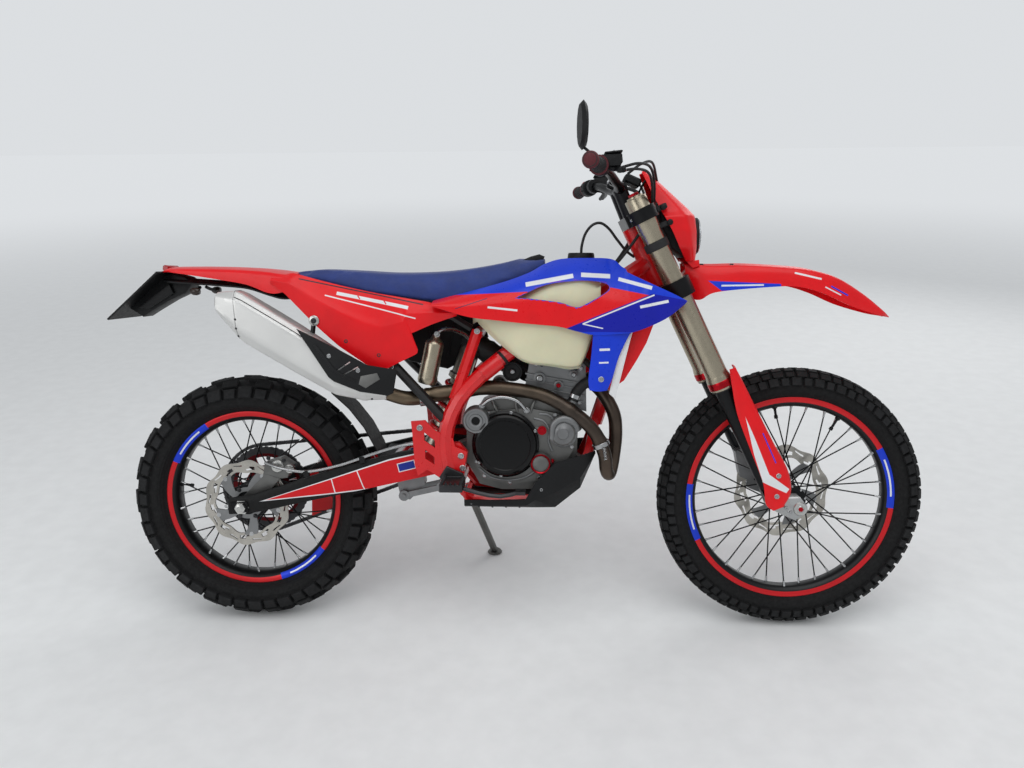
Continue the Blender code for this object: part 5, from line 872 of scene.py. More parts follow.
def makeStudio():
    # three soft lamps, a pale world that shows brighter to the camera and through glass, and a wide floor
    for name, place, size, power in (
        ("overheadSoftbox", (0.4, -1.6, 4.2), 3.6, studio["lampPower"]),
        ("sideSoftbox", (-3.2, -3.6, 2.4), 2.4, studio["sidePower"]),
        ("farSoftbox", (2.8, 3.4, 2.8), 2.4, studio["sidePower"]),
    ):
        lamp = bpy.data.lights.new(name, "AREA")
        lamp.size, lamp.energy = size, power
        made = bpy.data.objects.new(name, lamp)
        bpy.context.scene.collection.objects.link(made)
        made.location = place
        made.rotation_euler = (Vector((0, 0, 0.6)) - Vector(place)).to_track_quat("-Z", "Y").to_euler()
    world = bpy.data.worlds.new("paleStudio")
    bpy.context.scene.world = world
    world.use_nodes = True
    tree = world.node_tree
    background = tree.nodes["Background"]
    path = addNode(tree, "LightPath").outputs
    seen = addNode(
        tree, "Math", links={0: path["Is Camera Ray"], 1: path["Is Transmission Ray"]}, operation="MAXIMUM"
    ).outputs[0]
    background.inputs["Color"].default_value = linearOf(studio["skyHex"])
    tree.links.new(
        remap(tree, seen, 0, 1, studio["worldStrength"], studio["seenStrength"]),
        background.inputs["Strength"]
    )
    half = studio["floorSize"] / 2
    mesh = bpy.data.meshes.new("paleFloor")
    mesh.from_pydata(
        [(-half, -half, 0), (half, -half, 0), (half, half, 0), (-half, half, 0)], [], [(0, 1, 2, 3)]
    )
    mesh.materials.append(makeFloorPaint())
    floor = bpy.data.objects.new("paleFloor", mesh)
    bpy.context.scene.collection.objects.link(floor)
    bpy.context.scene.view_settings.view_transform = "Standard"


makeCamera()
makeStudio()
print("camera and light ready")


# Wheels.

rearWheel = {
    "axle": rearAxle, "body": "rear_wheel", "word": "rear", "radius": 0.344, "halfWidth": 0.066, "lug": 0.013,
    "rim": 0.246, "rimWidth": 0.066, "pitches": 22, "flangeLine": 0.044, "hubRadius": 0.052,
    "hubHalf": 0.0892,
    "blueArcs": [(138, 17), (305, 18)], "stubs": [(172, 0.026), (20, 0.02)],
    # tread rows: distance from the crown along the carcass, phase, length, width, height
    "rows": [
        (0.0125, 0.0, 0.046, 0.022, 0.0128), (0.037, 0.5, 0.044, 0.021, 0.013),
        (0.062, 0.0, 0.041, 0.026, 0.0135), (0.0645, 0.5, 0.034, 0.022, 0.0122),
    ],
}
frontWheel = {
    "axle": frontAxle, "body": "front_wheel", "word": "front", "radius": 0.357, "halfWidth": 0.046,
    "lug": 0.01,
    "rim": 0.279, "rimWidth": 0.05, "pitches": 34, "flangeLine": 0.036, "hubRadius": 0.04, "hubHalf": 0.0665,
    "blueArcs": [(189, 17), (13, 18)], "stubs": [(100, 0.024), (60, 0.03)],
    "rows": [
        (0.0095, 0.0, 0.025, 0.016, 0.0098), (0.0105, 0.5, 0.022, 0.014, 0.0098),
        (0.0275, 0.25, 0.026, 0.015, 0.0098), (0.028, 0.75, 0.021, 0.013, 0.0092),
        (0.0455, 0.0, 0.027, 0.018, 0.0102), (0.0465, 0.5, 0.021, 0.017, 0.0096),
    ],
}


def carcassOf(wheel):
    # half section (y, radius): flat crown, full shoulder, then in to the bead
    base = wheel["radius"] - wheel["lug"]
    depth = base - wheel["rim"]
    full = wheel["halfWidth"] - wheel["lug"] * 0.82
    bead = wheel["rimWidth"] / 2 - 0.0045
    half = resample([
        (0, base), (full * 0.34, base - depth * 0.035), (full * 0.66, base - depth * 0.15),
        (full * 0.9, base - depth * 0.34), (full, base - depth * 0.56), (full * 0.92, base - depth * 0.78),
        (bead + 0.006, base - depth * 0.95), (bead, base - depth * 1.03),
    ], 40)
    step = np.concatenate([[0], np.cumsum(np.linalg.norm(np.diff(half, axis=0), axis=1))])
    slope = np.gradient(half, axis=0)
    slope /= np.linalg.norm(slope, axis=1, keepdims=True)
    return half, step, np.stack([-slope[:, 1], slope[:, 0]], -1)


def onCarcass(wheel, table, angle, arc, height):
    # angle round the wheel, distance across from the crown, height out along the carcass normal
    half, step, normal = table
    side, reach = np.sign(arc), np.abs(arc)
    y = np.interp(reach, step, half[:, 0]) + height * np.interp(reach, step, normal[:, 0])
    r = np.interp(reach, step, half[:, 1]) + height * np.interp(reach, step, normal[:, 1])
    return wheel["axle"] + np.stack([r * np.sin(angle), side * y, r * np.cos(angle)], -1)


def makeTyre(wheel):
    table = carcassOf(wheel)
    half = table[0]
    lip = half[-1:] + [-0.004, 0.004]
    profile = np.concatenate([lip * [-1, 1], half[::-1] * [-1, 1], half[1:], lip])
    # the carcass: the section turned about the axle, with an inner wall 6 mm inside the crown
    inner = profile[::-1].copy()
    inner[:, 0] *= 0.86
    inner[1:-1, 1] -= 0.006 * np.clip((inner[1:-1, 1] - wheel["rim"]) / 0.03, 0, 1)
    loop = np.concatenate([profile, inner])
    points, faces = revolveOf(loop[:, ::-1], wheel["axle"], acrossAxis, 144)
    radial = np.linalg.norm((points - wheel["axle"])[:, [0, 2]], axis=1)
    ribs = 0.5 + 0.5 * np.sin(radial * 2 * np.pi / 0.0052)
    inWall = (radial < wheel["rim"] + 0.05) & (radial > wheel["rim"] + 0.006)
    forms = [(points, faces)]
    # knobs: eased blocks laid on the carcass, in rows mirrored about the crown
    corner = np.array([(1, 1), (-1, 1), (-1, -1), (1, -1)]) / 2
    levels = [(1.06, -0.25), (1.0, 0.86), (0.9, 1.0)]
    u = np.concatenate([corner[:, 0] * grow for grow, _ in levels])
    v = np.concatenate([corner[:, 1] * grow for grow, _ in levels])
    h = np.concatenate([np.full(4, lift) for _, lift in levels])
    blockFaces = np.concatenate([gridFaces(3, 4, wrapColumns=True), [(8, 9, 10, 11)]])
    for arc, phase, length, width, height in wheel["rows"]:
        for side in (1, -1):
            shift = phase + (0.25 if side < 0 and arc < 0.02 else 0)
            angle = (np.arange(wheel["pitches"]) + shift) * 2 * np.pi / wheel["pitches"]
            where = angle[:, None] + u[None] * length / (wheel["radius"] - wheel["lug"])
            across = side * (arc + v[None] * width) + 0 * where
            block = onCarcass(wheel, table, where, across, h[None] * height + 0 * where).reshape(-1, 3)
            rows = (np.arange(len(angle)) * 12)[:, None, None]
            blockQuads = (blockFaces[None] + rows).reshape(-1, 4)
            forms.append((block, blockQuads if side > 0 else blockQuads[:, ::-1]))
    points, faces = stacked(*forms)
    layer = np.full(len(points), 0.5)
    layer[:len(ribs)] = np.where(inWall, ribs, 0.5)
    radial = np.linalg.norm((points - wheel["axle"])[:, [0, 2]], axis=1)
    across = np.abs(points[:, 1])
    # the carcass stays dark; the outer faces of crown and shoulder knobs wear grey
    worn = np.where(np.arange(len(points)) < len(ribs), 0.1, 0.35)
    worn = np.where((radial > wheel["radius"] - 0.006) | (across > wheel["halfWidth"] - 0.006), 0.85, worn)
    piece = addPiece(
        wheel["word"] + "Tyre", points, faces, tyreRubber, wheel["body"], wheel["word"] + "_tyre",
        {"ribs": layer, "worn": worn}, smooth=35, slot="tyre"
    )
    fixNormals(piece)


def makeRim(wheel):
    # hooked flange, stepped wall and a drop centre, turned about the axle
    radius, half = wheel["rim"], wheel["rimWidth"] / 2
    outer = np.array([
        (radius - 0.026, 0.0), (radius - 0.026, half * 0.52), (radius - 0.02, half * 0.74),
        (radius - 0.013, half * 0.97), (radius - 0.0055, half * 1.0), (radius - 0.001, half * 1.02),
        (radius + 0.0005, half * 0.99), (radius - 0.001, half - 0.0035), (radius - 0.013, half - 0.0045),
        (radius - 0.022, half * 0.4), (radius - 0.022, 0.0),
    ])
    profile = np.concatenate([outer, outer[::-1][1:-1] * [1, -1]])
    points, faces = revolveOf(np.concatenate([profile, profile[:1]]), wheel["axle"], acrossAxis, 180)
    addPiece(
        wheel["word"] + "Rim", points, faces, makeRimTape(wheel), wheel["body"], wheel["word"] + "_rim",
        weld=True, smooth=50,
    )


def makeSpokes(wheel):
    # each spoke runs straight from its hub flange to the rim, crossing three others
    count = 36
    index = np.arange(count)
    side = np.where(index % 2 == 1, 1.0, -1.0)
    sweep = np.where((index // 2) % 2 == 1, 1.0, -1.0)
    rimAngle = 2 * np.pi * index / count
    hubAngle = rimAngle + sweep * math.radians(62)
    hubReach = wheel["hubRadius"] * 0.93
    rimReach = wheel["rim"] - 0.0245
    hubSide = side * (wheel["flangeLine"] - wheel["hubRadius"] * 0.12 * np.where(sweep > 0, 0.1, 0.9))
    rimSide = side * wheel["rimWidth"] * np.where(sweep > 0, 0.21, 0.06)
    start = wheel["axle"] + np.stack([hubReach * np.sin(hubAngle), hubSide, hubReach * np.cos(hubAngle)], -1)
    end = wheel["axle"] + np.stack([rimReach * np.sin(rimAngle), rimSide, rimReach * np.cos(rimAngle)], -1)
    run = end - start
    frames = framesAlong(run)
    length = np.linalg.norm(run, axis=1)
    rod = upright([(0, 0), (0.0019, 0), (0.0019, 1), (0, 1)], 8)
    stretched = frames * np.stack([np.ones(count), np.ones(count), length], -1)[:, None, :]
    addCopies(wheel["word"] + "Spokes", rod, start, stretched, blackAnodised, wheel["body"])
    nipple = upright(
        [(0, -0.017), (0.0026, -0.017), (0.0034, -0.006), (0.004, -0.004), (0.004, 0.001), (0, 0.001)], 8
    )
    addCopies(wheel["word"] + "Nipples", nipple, end, frames, polishedSteel, wheel["body"])
    elbow = upright([(0, -0.0022), (0.0034, -0.0022), (0.0038, 0), (0.003, 0.0018), (0, 0.0024)], 8)
    heads = start + acrossAxis * (side * 0.0035 * np.where(sweep > 0, 1, -1))[:, None]
    turned = framesAlong(acrossAxis * side[:, None])
    addCopies(wheel["word"] + "SpokeHeads", elbow, heads, turned, polishedSteel, wheel["body"])


def makeHub(wheel, leftMount, rightMount):
    # barrel that swells to two drilled flanges, and bearing bosses at both ends
    flange, line, half = wheel["hubRadius"], wheel["flangeLine"], wheel["hubHalf"]
    def sideOf(mount):
        reach = mount if mount else half - 0.004
        return [
            (0.011, half), (0.017, half), (0.019, half - 0.002), (0.021, reach),
            (flange * (0.98 if mount else 0.5), reach), (flange * (0.98 if mount else 0.5), reach - 0.006),
            (flange * 0.58, reach - 0.01), (flange * 0.6, line + 0.006), (flange * 0.92, line + 0.003),
            (flange, line + 0.001), (flange, line - flange * 0.12), (flange * 0.9, line - flange * 0.14),
            (flange * 0.55, line - flange * 0.35), (flange * 0.5, line * 0.3),
        ]
    profile = sideOf(leftMount) + [(r, -y) for r, y in reversed(sideOf(rightMount))] + [(0.011, half)]
    addTurned(
        wheel["word"] + "Hub", profile, wheel["axle"], acrossAxis, 64, blackAnodised, wheel["body"],
        replaces=wheel["word"] + "_hub"
    )


discShape = {  # shares of the radius; cells are counted round the disc
    "band": (0.74, 0.79, 0.83, 0.865, 0.9, 0.935, 1.0), "cells": 240, "slotEvery": 24,
    "slots": ((1, 0, 10), (2, 1, 6), (4, 14, 9)),  # row, first cell, how many cells are open
    "carrierRim": 0.765, "carrierOpen": 0.68, "buttonRim": 0.745, "lean": 0.22, "carrierLean": -0.35,
    "thickness": 0.004, "carrierThickness": 0.0055, "carrierHole": 0.62, "boltRing": 1.3,
}


def makeDisc(wheel, line, radius, word, arms):
    # scalloped rim, slots in the braking band, and a spider with leaning arms
    cells, body, outward = discShape["cells"], wheel["body"], np.sign(line)
    column = np.arange(cells)
    band = [radius * share for share in discShape["band"]]
    keep = np.ones((len(band) - 1, cells), bool)
    for row, first, count in discShape["slots"]:
        keep[row] &= ((column + first) % discShape["slotEvery"]) >= count
    # rim radius x (1 + 0.030 cos(10 angle) - 0.012)
    wave = lambda a: 0.03 * np.cos(a * 10) - 0.012
    lean, thickness = discShape["lean"], discShape["thickness"]
    polarPlate(
        word + "Disc", wheel["axle"], band, cells, keep, line, thickness, makeDiscSteel(word), body,
        wave=wave, twist=lean, replaces=word + "_disc",
    )
    inner, lean = wheel["hubRadius"] * discShape["carrierHole"], discShape["carrierLean"]
    spider = np.linspace(inner, radius * discShape["carrierRim"], 6)
    keep = np.ones((5, cells), bool)
    keep[1:, :] &= ((column + 4) % (cells // arms)) < (cells // arms) * (1 - discShape["carrierOpen"])
    polarPlate(
        word + "DiscSpider", wheel["axle"], spider, cells, keep, line - outward * 0.0005,
        discShape["carrierThickness"], castAluminium, body, twist=lean,
    )
    # buttons where the arms meet the band, and bolts round the hub
    angle = (np.arange(arms) + 0.1) * 2 * np.pi / arms + lean
    reach = radius * discShape["buttonRim"]
    at = wheel["axle"] + np.stack([reach * np.cos(angle), np.full(arms, line), reach * np.sin(angle)], -1)
    button = [(0, -0.0026), (0.006, -0.0026), (0.0064, -0.002), (0.0064, 0.002), (0.006, 0.0026), (0, 0.0026)]
    turned = framesAlong([acrossAxis] * arms)
    addCopies(word + "DiscButtons", upright(button, 16), at, turned, polishedSteel, body)
    x, _, z = wheel["axle"]
    spots = around(x, z, inner * discShape["boltRing"], range(0, 360, 60))
    addSideBolts(word + "DiscBolts", line + outward * 0.002, spots, 0.0062, 0.005, darkSteel, body)


def makeDiscSteel(word):
    # ground stainless, straw-toned by heat; its fine marks stretch the highlights
    made, tree, shader = newMaterial(word + "GroundStainless", {"Metallic": 1.0, "Anisotropic": 0.3})
    finishSurface(tree, shader, linearOf("#BEBAB2"), 0.3, (0.5, 0.05), 0.1, 30)
    return made


for wheel in (rearWheel, frontWheel):
    makeTyre(wheel)
    makeRim(wheel)
    makeSpokes(wheel)
makeHub(rearWheel, 0.082, 0.076)
makeHub(frontWheel, 0.058, 0)
makeDisc(rearWheel, -0.078, 0.118, "rear", 5)
makeDisc(frontWheel, 0.06, 0.13, "front", 6)


def makeSprocket():
    # 48 rounded teeth, six windows and a bolt circle
    sectors, radius = 48 * 6, 0.1225
    radii = [0.046, 0.06, 0.066, 0.092, 0.102, radius]
    keep = np.ones((5, sectors), bool)
    column = np.arange(sectors)
    keep[2] &= ((column + 8) % 48) < 16
    darkRed = simpleMaterial("darkRedAnodisedRing", "#5E0E14", 0.34, 0.8, (0.6, 0.03), 0.08)
    polarPlate(
        "rearSprocket", rearAxle, radii[:-1], sectors, keep[:-1], 0.085, 0.006, darkRed, "rear_wheel",
        replaces="rear_sprocket"
    )
    # tooth radius x (1 - 0.020 x (half of 1 - cos(48 angle))^1.5)
    wave = lambda a: -0.02 * (0.5 - 0.5 * np.cos(a * 48)) ** 1.5
    polarPlate(
        "sprocketTeeth", rearAxle, [0.1015, 0.112, radius], sectors, keep[:2], 0.085, 0.0056, darkSteel,
        "rear_wheel", wave=wave
    )
    spots = around(rearAxle[0], rearAxle[2], 0.053, np.degrees(0.26) + np.arange(6) * 60)
    addSideBolts("sprocketBolts", 0.0885, spots, 0.0075, 0.006, polishedSteel, "rear_wheel")


makeSprocket()
for wheel in (rearWheel, frontWheel):  # tyre valve and rim lock, both black
    for index, (angle, length) in enumerate(wheel["stubs"]):
        way = np.array([math.cos(math.radians(angle)), 0, math.sin(math.radians(angle))])
        stub = [
            (0, 0), (0.007, 0), (0.007, 0.005), (0.0035, 0.007), (0.0035, length), (0.0052, length + 0.001),
            (0.0052, length + 0.009), (0, length + 0.009),
        ]
        foot = wheel["axle"] + way * (wheel["rim"] - 0.0255)
        addTurned(wheel["word"] + "Stub%d" % index, stub, foot, -way, 12, blackPlastic, wheel["body"])
print("wheels ready")


# Bodywork: fender, mask, tank, seat, shrouds, side panels, tail and plate.

def mirroredRow(half):
    # one side's points from the edge to the middle, then the other side's back to its edge
    half = np.asarray(half, float)
    other = half[::-1] * [1, -1, 1]
    return np.concatenate([half, other[1:] if abs(half[-1, 1]) < 1e-9 else other])


fenderShape = {  # middle and side edges from rear to front, then shares of the half width and of the ridge
    "top": [
        (1.176, 0.996), (1.235, 0.99), (1.328, 0.991), (1.437, 0.985), (1.502, 0.977), (1.568, 0.956),
        (1.635, 0.914), (1.69, 0.872), (1.716, 0.852)
    ],
    "edge": [
        (1.186, 0.903), (1.215, 0.897), (1.258, 0.917), (1.394, 0.93), (1.465, 0.93), (1.53, 0.912),
        (1.602, 0.88), (1.676, 0.857), (1.713, 0.85)
    ],
    "width": [0.56, 0.8, 0.92, 0.96, 1.0, 0.97, 0.88, 0.68, 0.34],
    "ridge": [1.0, 1.0, 1.0, 1.0, 1.0, 0.9, 0.6, 0.3, 0.0],
    "halfWidth": 0.0785, "thickness": 0.0028,
}


def makeFrontFender():
    # rows across the fender from side edge over a raised shoulder to a slightly ridged middle
    rows = []
    for (xt, zt), (xe, ze), w, ridge in zip(*(fenderShape[k] for k in ("top", "edge", "width", "ridge"))):
        y = w * fenderShape["halfWidth"]
        rows.append(mirroredRow([
            (xe, -y, ze), ((xe * 2 + xt) / 3, -y, ze + (zt - ze) * 0.38),
            ((xe + xt * 2) / 3, -y * 0.95, ze + (zt - ze) * 0.76),
            (xt, -y * 0.8, zt - 0.004 * ridge - 0.001), (xt, -y * 0.45, zt - 0.009 * ridge),
            (xt, -y * 0.18, zt - 0.003 * ridge), (xt, 0, zt),
        ]))
    grid = smoothGrid(rows, 120, 61)
    points, faces, inside = shellOf(grid, fenderShape["thickness"])
    sticker = stickerMaterial("redFenderPlastic", redHex, 0.33, [
        (blueHex, [(1.235, 0.946), (1.269, 0.92), (1.419, 0.93), (1.418, 0.938)]),
        (whiteHex, lineArea((1.268, 0.9335), (1.375, 0.9352), 0.0042)),
        (whiteHex, lineArea((1.452, 0.966), (1.52, 0.95), 0.0045)),
        (whiteHex, lineArea((1.53, 0.93), (1.572, 0.909), 0.003)),
        (blueHex, lineArea((1.545, 0.932), (1.59, 0.908), 0.004)),
    ], redHex)
    addPiece("frontFender", points, faces, sticker, "steering", "front_fender", {"inner": inside}, smooth=55)
    addPlate(
        "fenderNeck",
        [(1.166, 0.908), (1.205, 0.917), (1.256, 0.98), (1.235, 0.982), (1.193, 0.988), (1.17, 0.945)], 0,
        0.056, redPlastic, "steering", bevel=0.003
    )
    heads = [((x, y, 0.9865), (0, 0, 1)) for x in (1.222, 1.3) for y in (-0.035, 0.035)]
    addBolts("fenderBolts", heads, 0.007, 0.0035, darkSteel, "steering")


maskShape = {  # front x, z, width share, how far the side edges lie back, how far they drop
    "rows": [
        (1.072, 1.23, 0.34, 0.01, 0.004), (1.112, 1.197, 0.58, 0.03, 0.016),
        (1.184, 1.132, 0.84, 0.072, 0.014), (1.203, 1.112, 0.98, 0.086, 0.004),
        (1.209, 1.072, 1.0, 0.072, 0.0), (1.209, 1.03, 0.92, 0.052, 0.0), (1.207, 0.998, 0.66, 0.03, 0.002),
    ],
    "halfWidth": 0.097, "thickness": 0.003,
}


def makeHeadlightMask():
    # flat facets: a narrow brow that widens down to sharp cheeks beside the lamp
    rows = []
    for x, z, w, back, drop in maskShape["rows"]:
        y = w * maskShape["halfWidth"]
        rows.append(mirroredRow([
            (x - back, -y * 0.96, z - drop), (x - back * 0.42, -y, z - drop * 0.4),
            (x - back * 0.1, -y * 0.7, z), (x - 0.003, -y * 0.46, z), (x, -y * 0.2, z), (x, 0, z),
        ]))
    points, faces, inside = shellOf(creasedGrid(rows, 73, 61, 2), maskShape["thickness"])
    addPiece(
        "headlightMask", points, faces, redPlastic, "steering", "headlight_mask", {"inner": inside},
        smooth=28
    )
    # lamp: bezel, bright bowl and a domed lens, each an ellipse swept in from its rim
    centre = np.array([1.2115, 0, 1.062])
    angle = np.linspace(0, 2 * np.pi, 48, endpoint=False)
    t = np.linspace(0, 1, 9)
    for name, sizes, dome, lift, material in (
        ("lampBezel", (0.054, 0.048), 0.002, 0.0006, blackPlastic),
        ("lampBowl", (0.05, 0.044), -0.001, 0.0034, polishedSteel),
        ("headlight", (0.051, 0.045), 0.008, 0.004, clearLens),
    ):
        ring = np.stack([np.cos(angle) * sizes[0], np.sin(angle) * sizes[1]], -1)
        front = centre[0] + lift + dome * (1 - t[:, None] ** 2)
        swept = t[:, None, None] * ring + [0, centre[2]]
        points = np.concatenate([np.broadcast_to(front[..., None], (9, 48, 1)), swept], -1)
        depth = np.array([0.012 if name == "lampBezel" else 0.003, 0, 0])
        hub = np.broadcast_to(centre + np.array([lift, 0, 0]) - depth, (1, 48, 3))
        points = np.concatenate([points, points[-1:] - depth, hub])
        faces = oriented(points.reshape(-1, 3), gridFaces(11, 48, wrapColumns=True))
        addPiece(
            name, points, faces, material, "steering", "headlight" if name == "headlight" else (), weld=True
        )
    # black lamp carrier between mask and fork, with its rubber straps and plugs
    addPlate(
        "lampCarrier",
        [
            (1.105, 1.15), (1.165, 1.112), (1.19, 1.1), (1.192, 1.03), (1.172, 1.006), (1.14, 1.03),
            (1.112, 1.09)
        ],
        0, 0.118, blackPlastic, "steering", bevel=0.004
    )
    for side, word in ((-1, "R"), (1, "L")):
        for index, (x, z) in enumerate(((1.118, 1.09), (1.1, 1.128))):
            addBlock(
                "maskStrap%s%d" % (word, index), (0.046, 0.009, 0.014), (x, side * 0.086, z), gripDark,
                "steering", 24
            )
            addTurned(
                "maskPlug%s%d" % (word, index),
                [(0, 0.007), (0.004, 0.007), (0.0075, 0.005), (0.0085, 0), (0, 0)],
                (x + 0.012, side * 0.0895, z + 0.004), (0, side, 0), 16, blackPlastic, "steering"
            )
        # lower hook that reaches down to the fender
        hook = [(1.176, 1.004), (1.2, 0.998), (1.212, 1.0), (1.214, 0.984), (1.196, 0.978), (1.184, 0.99)]
        addPlate("maskHook" + word, hook, side * 0.052, 0.01, redPlastic, "steering", bevel=0.002)


tankShape = {  # x, outer lower edge, tunnel roof, top, half width
    "rows": [
        (0.624, 0.855, 0.862, 0.892, 0.5), (0.65, 0.828, 0.856, 0.905, 0.74),
        (0.704, 0.78, 0.848, 0.926, 0.9), (0.762, 0.739, 0.852, 0.954, 1.0),
        (0.83, 0.729, 0.88, 0.984, 1.0), (0.888, 0.724, 0.905, 0.999, 0.97),
        (0.915, 0.745, 0.918, 1.0, 0.94), (0.955, 0.862, 0.938, 0.99, 0.86),
    ],
    "halfWidth": 0.145,
}


def makeTank():
    # closed rings from the tunnel roof round the belly and over the shoulder, lofted from rear to front
    rings = []
    for x, low, roof, top, w in tankShape["rows"]:
        outer = w * tankShape["halfWidth"]
        inner = min(0.101, outer * 0.8)
        half = resample([
            (x, 0.0, roof), (x, inner * 0.75, roof), (x, inner, roof - 0.004),
            (x, inner + 0.002, low + 0.012), (x, inner + 0.01, low), (x, outer - 0.012, low + 0.004),
            (x, outer, low + 0.022), (x, outer * 1.0, (low + top) / 2 + 0.006),
            (x, outer * 0.93, top - 0.058), (x, outer * 0.72, top - 0.032), (x, outer * 0.42, top - 0.012),
            (x, 0.0, top - 0.003),
        ], 45)
        rings.append(bothSides(half))
    points, faces = closedLoft(resample(rings, 70))
    addPiece("fuelTank", points, faces, tankPlastic, "frame", "fuel_tank", weld=True, smooth=60)
    ridge = [
        (0, 0), (0.04, 0), (0.041, 0.006), (0.036, 0.01), (0.035, 0.02), (0.033, 0.0235), (0.024, 0.0235),
        (0.022, 0.021), (0, 0.021)
    ]
    addTurned("tankCap", ridge, (0.909, 0, 0.996), (0, 0, 1), 28, blackPlastic)
    addTube(
        "tankBreather",
        [
            (0.909, 0, 1.016), (0.911, 0, 1.04), (0.92, -0.004, 1.07), (0.938, -0.008, 1.092),
            (0.96, -0.008, 1.097), (0.982, -0.006, 1.082), (1.003, -0.004, 1.055), (1.028, -0.003, 1.025),
            (1.05, -0.002, 1.008)
        ],
        0.0036, hoseRubber
    )


seatShape = {  # x, top, bottom, half width
    "rows": [
        (0.128, 0.966, 0.956, 0.5), (0.17, 0.969, 0.952, 0.74), (0.229, 0.973, 0.944, 0.86),
        (0.33, 0.969, 0.919, 0.98), (0.421, 0.964, 0.905, 1.0), (0.529, 0.966, 0.892, 0.93),
        (0.62, 0.975, 0.903, 0.84), (0.7, 0.989, 0.93, 0.8), (0.76, 1.004, 0.952, 0.7),
        (0.812, 1.012, 0.982, 0.42),
    ],
    "halfWidth": 0.105, "inset": 0.004, "voxel": 0.005, "pressure": 4.0, "cap": 0.006, "frames": 20,
    "lowSide": 0.9, "sideHeight": 0.05, "lowShare": 0.35,
}


def makeSeat():
    # closed rings: flat base, rolled side and a crowned top, lofted from the tail to the nose; a short cloth
    # simulation then presses the cover out from inside, by no more than the cap
    rings = []
    for x, top, low, w in seatShape["rows"]:
        y, tall = w * seatShape["halfWidth"] - seatShape["inset"], top - low
        half = resample([
            (x, 0, low + 0.001), (x, y * 0.7, low + 0.001), (x, y * 0.97, low + 0.002),
            (x, y * 1.0, low + tall * 0.3), (x, y * 0.95, low + tall * 0.66),
            (x, y * 0.78, low + tall * 0.9), (x, y * 0.42, top - 0.003), (x, 0, top - 0.001),
        ], 25)
        rings.append(bothSides(half))
    points, faces = closedLoft(resample(rings, 90))
    piece = addPiece(
        "seatPad", points, faces, seatCover, "frame", "seat", weld=True, smooth=180, slot="seat_cover"
    )
    remesh = piece.modifiers.new("remesh", "REMESH")
    remesh.mode, remesh.voxel_size = "VOXEL", seatShape["voxel"]
    applyModifiers(piece)
    start = np.zeros(len(piece.data.vertices) * 3, np.float32)
    piece.data.vertices.foreach_get("co", start)
    cloth = piece.modifiers.new("cloth", "CLOTH")
    cloth.settings.use_pressure, cloth.settings.uniform_pressure_force = True, seatShape["pressure"]
    cloth.settings.effector_weights.gravity = 0
    cloth.point_cache.frame_start, cloth.point_cache.frame_end = 1, seatShape["frames"]
    for number in range(1, seatShape["frames"] + 1):
        bpy.context.scene.frame_set(number)
    applyModifiers(piece)
    bpy.context.scene.frame_set(1)
    end = np.zeros_like(start)
    piece.data.vertices.foreach_get("co", end)
    start, end = start.reshape(-1, 3), end.reshape(-1, 3)
    move = end - start
    reach = np.linalg.norm(move, axis=1, keepdims=True)
    limited = start + move * np.minimum(1, seatShape["cap"] / np.maximum(reach, 1e-9))
    upright = (limited - shiftArray) @ uprightArray.T
    before = (start - shiftArray) @ uprightArray.T
    # the push is whole on top and only a share of it low on the sides
    rise = np.clip((before[:, 2] - seatShape["lowSide"]) / seatShape["sideHeight"], 0, 1)[:, None]
    limited = start + (limited - start) * (seatShape["lowShare"] + (1 - seatShape["lowShare"]) * rise)
    piece.data.vertices.foreach_set("co", limited.astype(np.float32).ravel())
    layer = piece.data.attributes.get("place") or piece.data.attributes.new("place", "FLOAT_VECTOR", "POINT")
    layer.data.foreach_set("vector", upright.astype(np.float32).ravel())
    piece.data.update()
    piece.data.shade_smooth()
    finer = piece.modifiers.new("finer", "SUBSURF")
    finer.levels = finer.render_levels = 1


def applyModifiers(piece):
    # the evaluated mesh takes the place of the piece's own
    mesh = bpy.data.meshes.new_from_object(piece.evaluated_get(bpy.context.evaluated_depsgraph_get()))
    piece.modifiers.clear()
    old = piece.data
    piece.data = mesh
    bpy.data.meshes.remove(old)


shroudShape = {  # edges and opening in the side view; "roll" is how far the upper edge leans in at "rollAt"
    "upper": [
        (0.526, 0.891), (0.625, 0.916), (0.712, 0.94), (0.772, 0.962), (0.812, 0.984), (0.856, 0.997),
        (0.92, 0.999), (0.984, 0.996), (1.012, 0.974), (1.062, 0.948), (1.128, 0.917), (1.163, 0.899)
    ],
    "lower": [
        (0.528, 0.884), (0.619, 0.858), (0.7, 0.848), (0.755, 0.842), (0.8, 0.838), (0.85, 0.833),
        (0.893, 0.822), (0.94, 0.812), (0.99, 0.815), (1.04, 0.822), (1.11, 0.853), (1.158, 0.891)
    ],
    "window": [
        (0.742, 0.905), (0.778, 0.903), (0.85, 0.894), (0.882, 0.884), (0.905, 0.884), (0.96, 0.914),
        (0.975, 0.93), (0.965, 0.941), (0.93, 0.947), (0.878, 0.946), (0.812, 0.936)
    ],
    "rollAt": [0.53, 0.68, 0.76, 0.83, 0.98, 1.03, 1.07, 1.16],
    "roll": [0.34, 0.36, 0.44, 0.58, 0.56, 0.22, 0.05, 0.02],
    "halfWidth": 0.163, "thickness": 0.003,
}


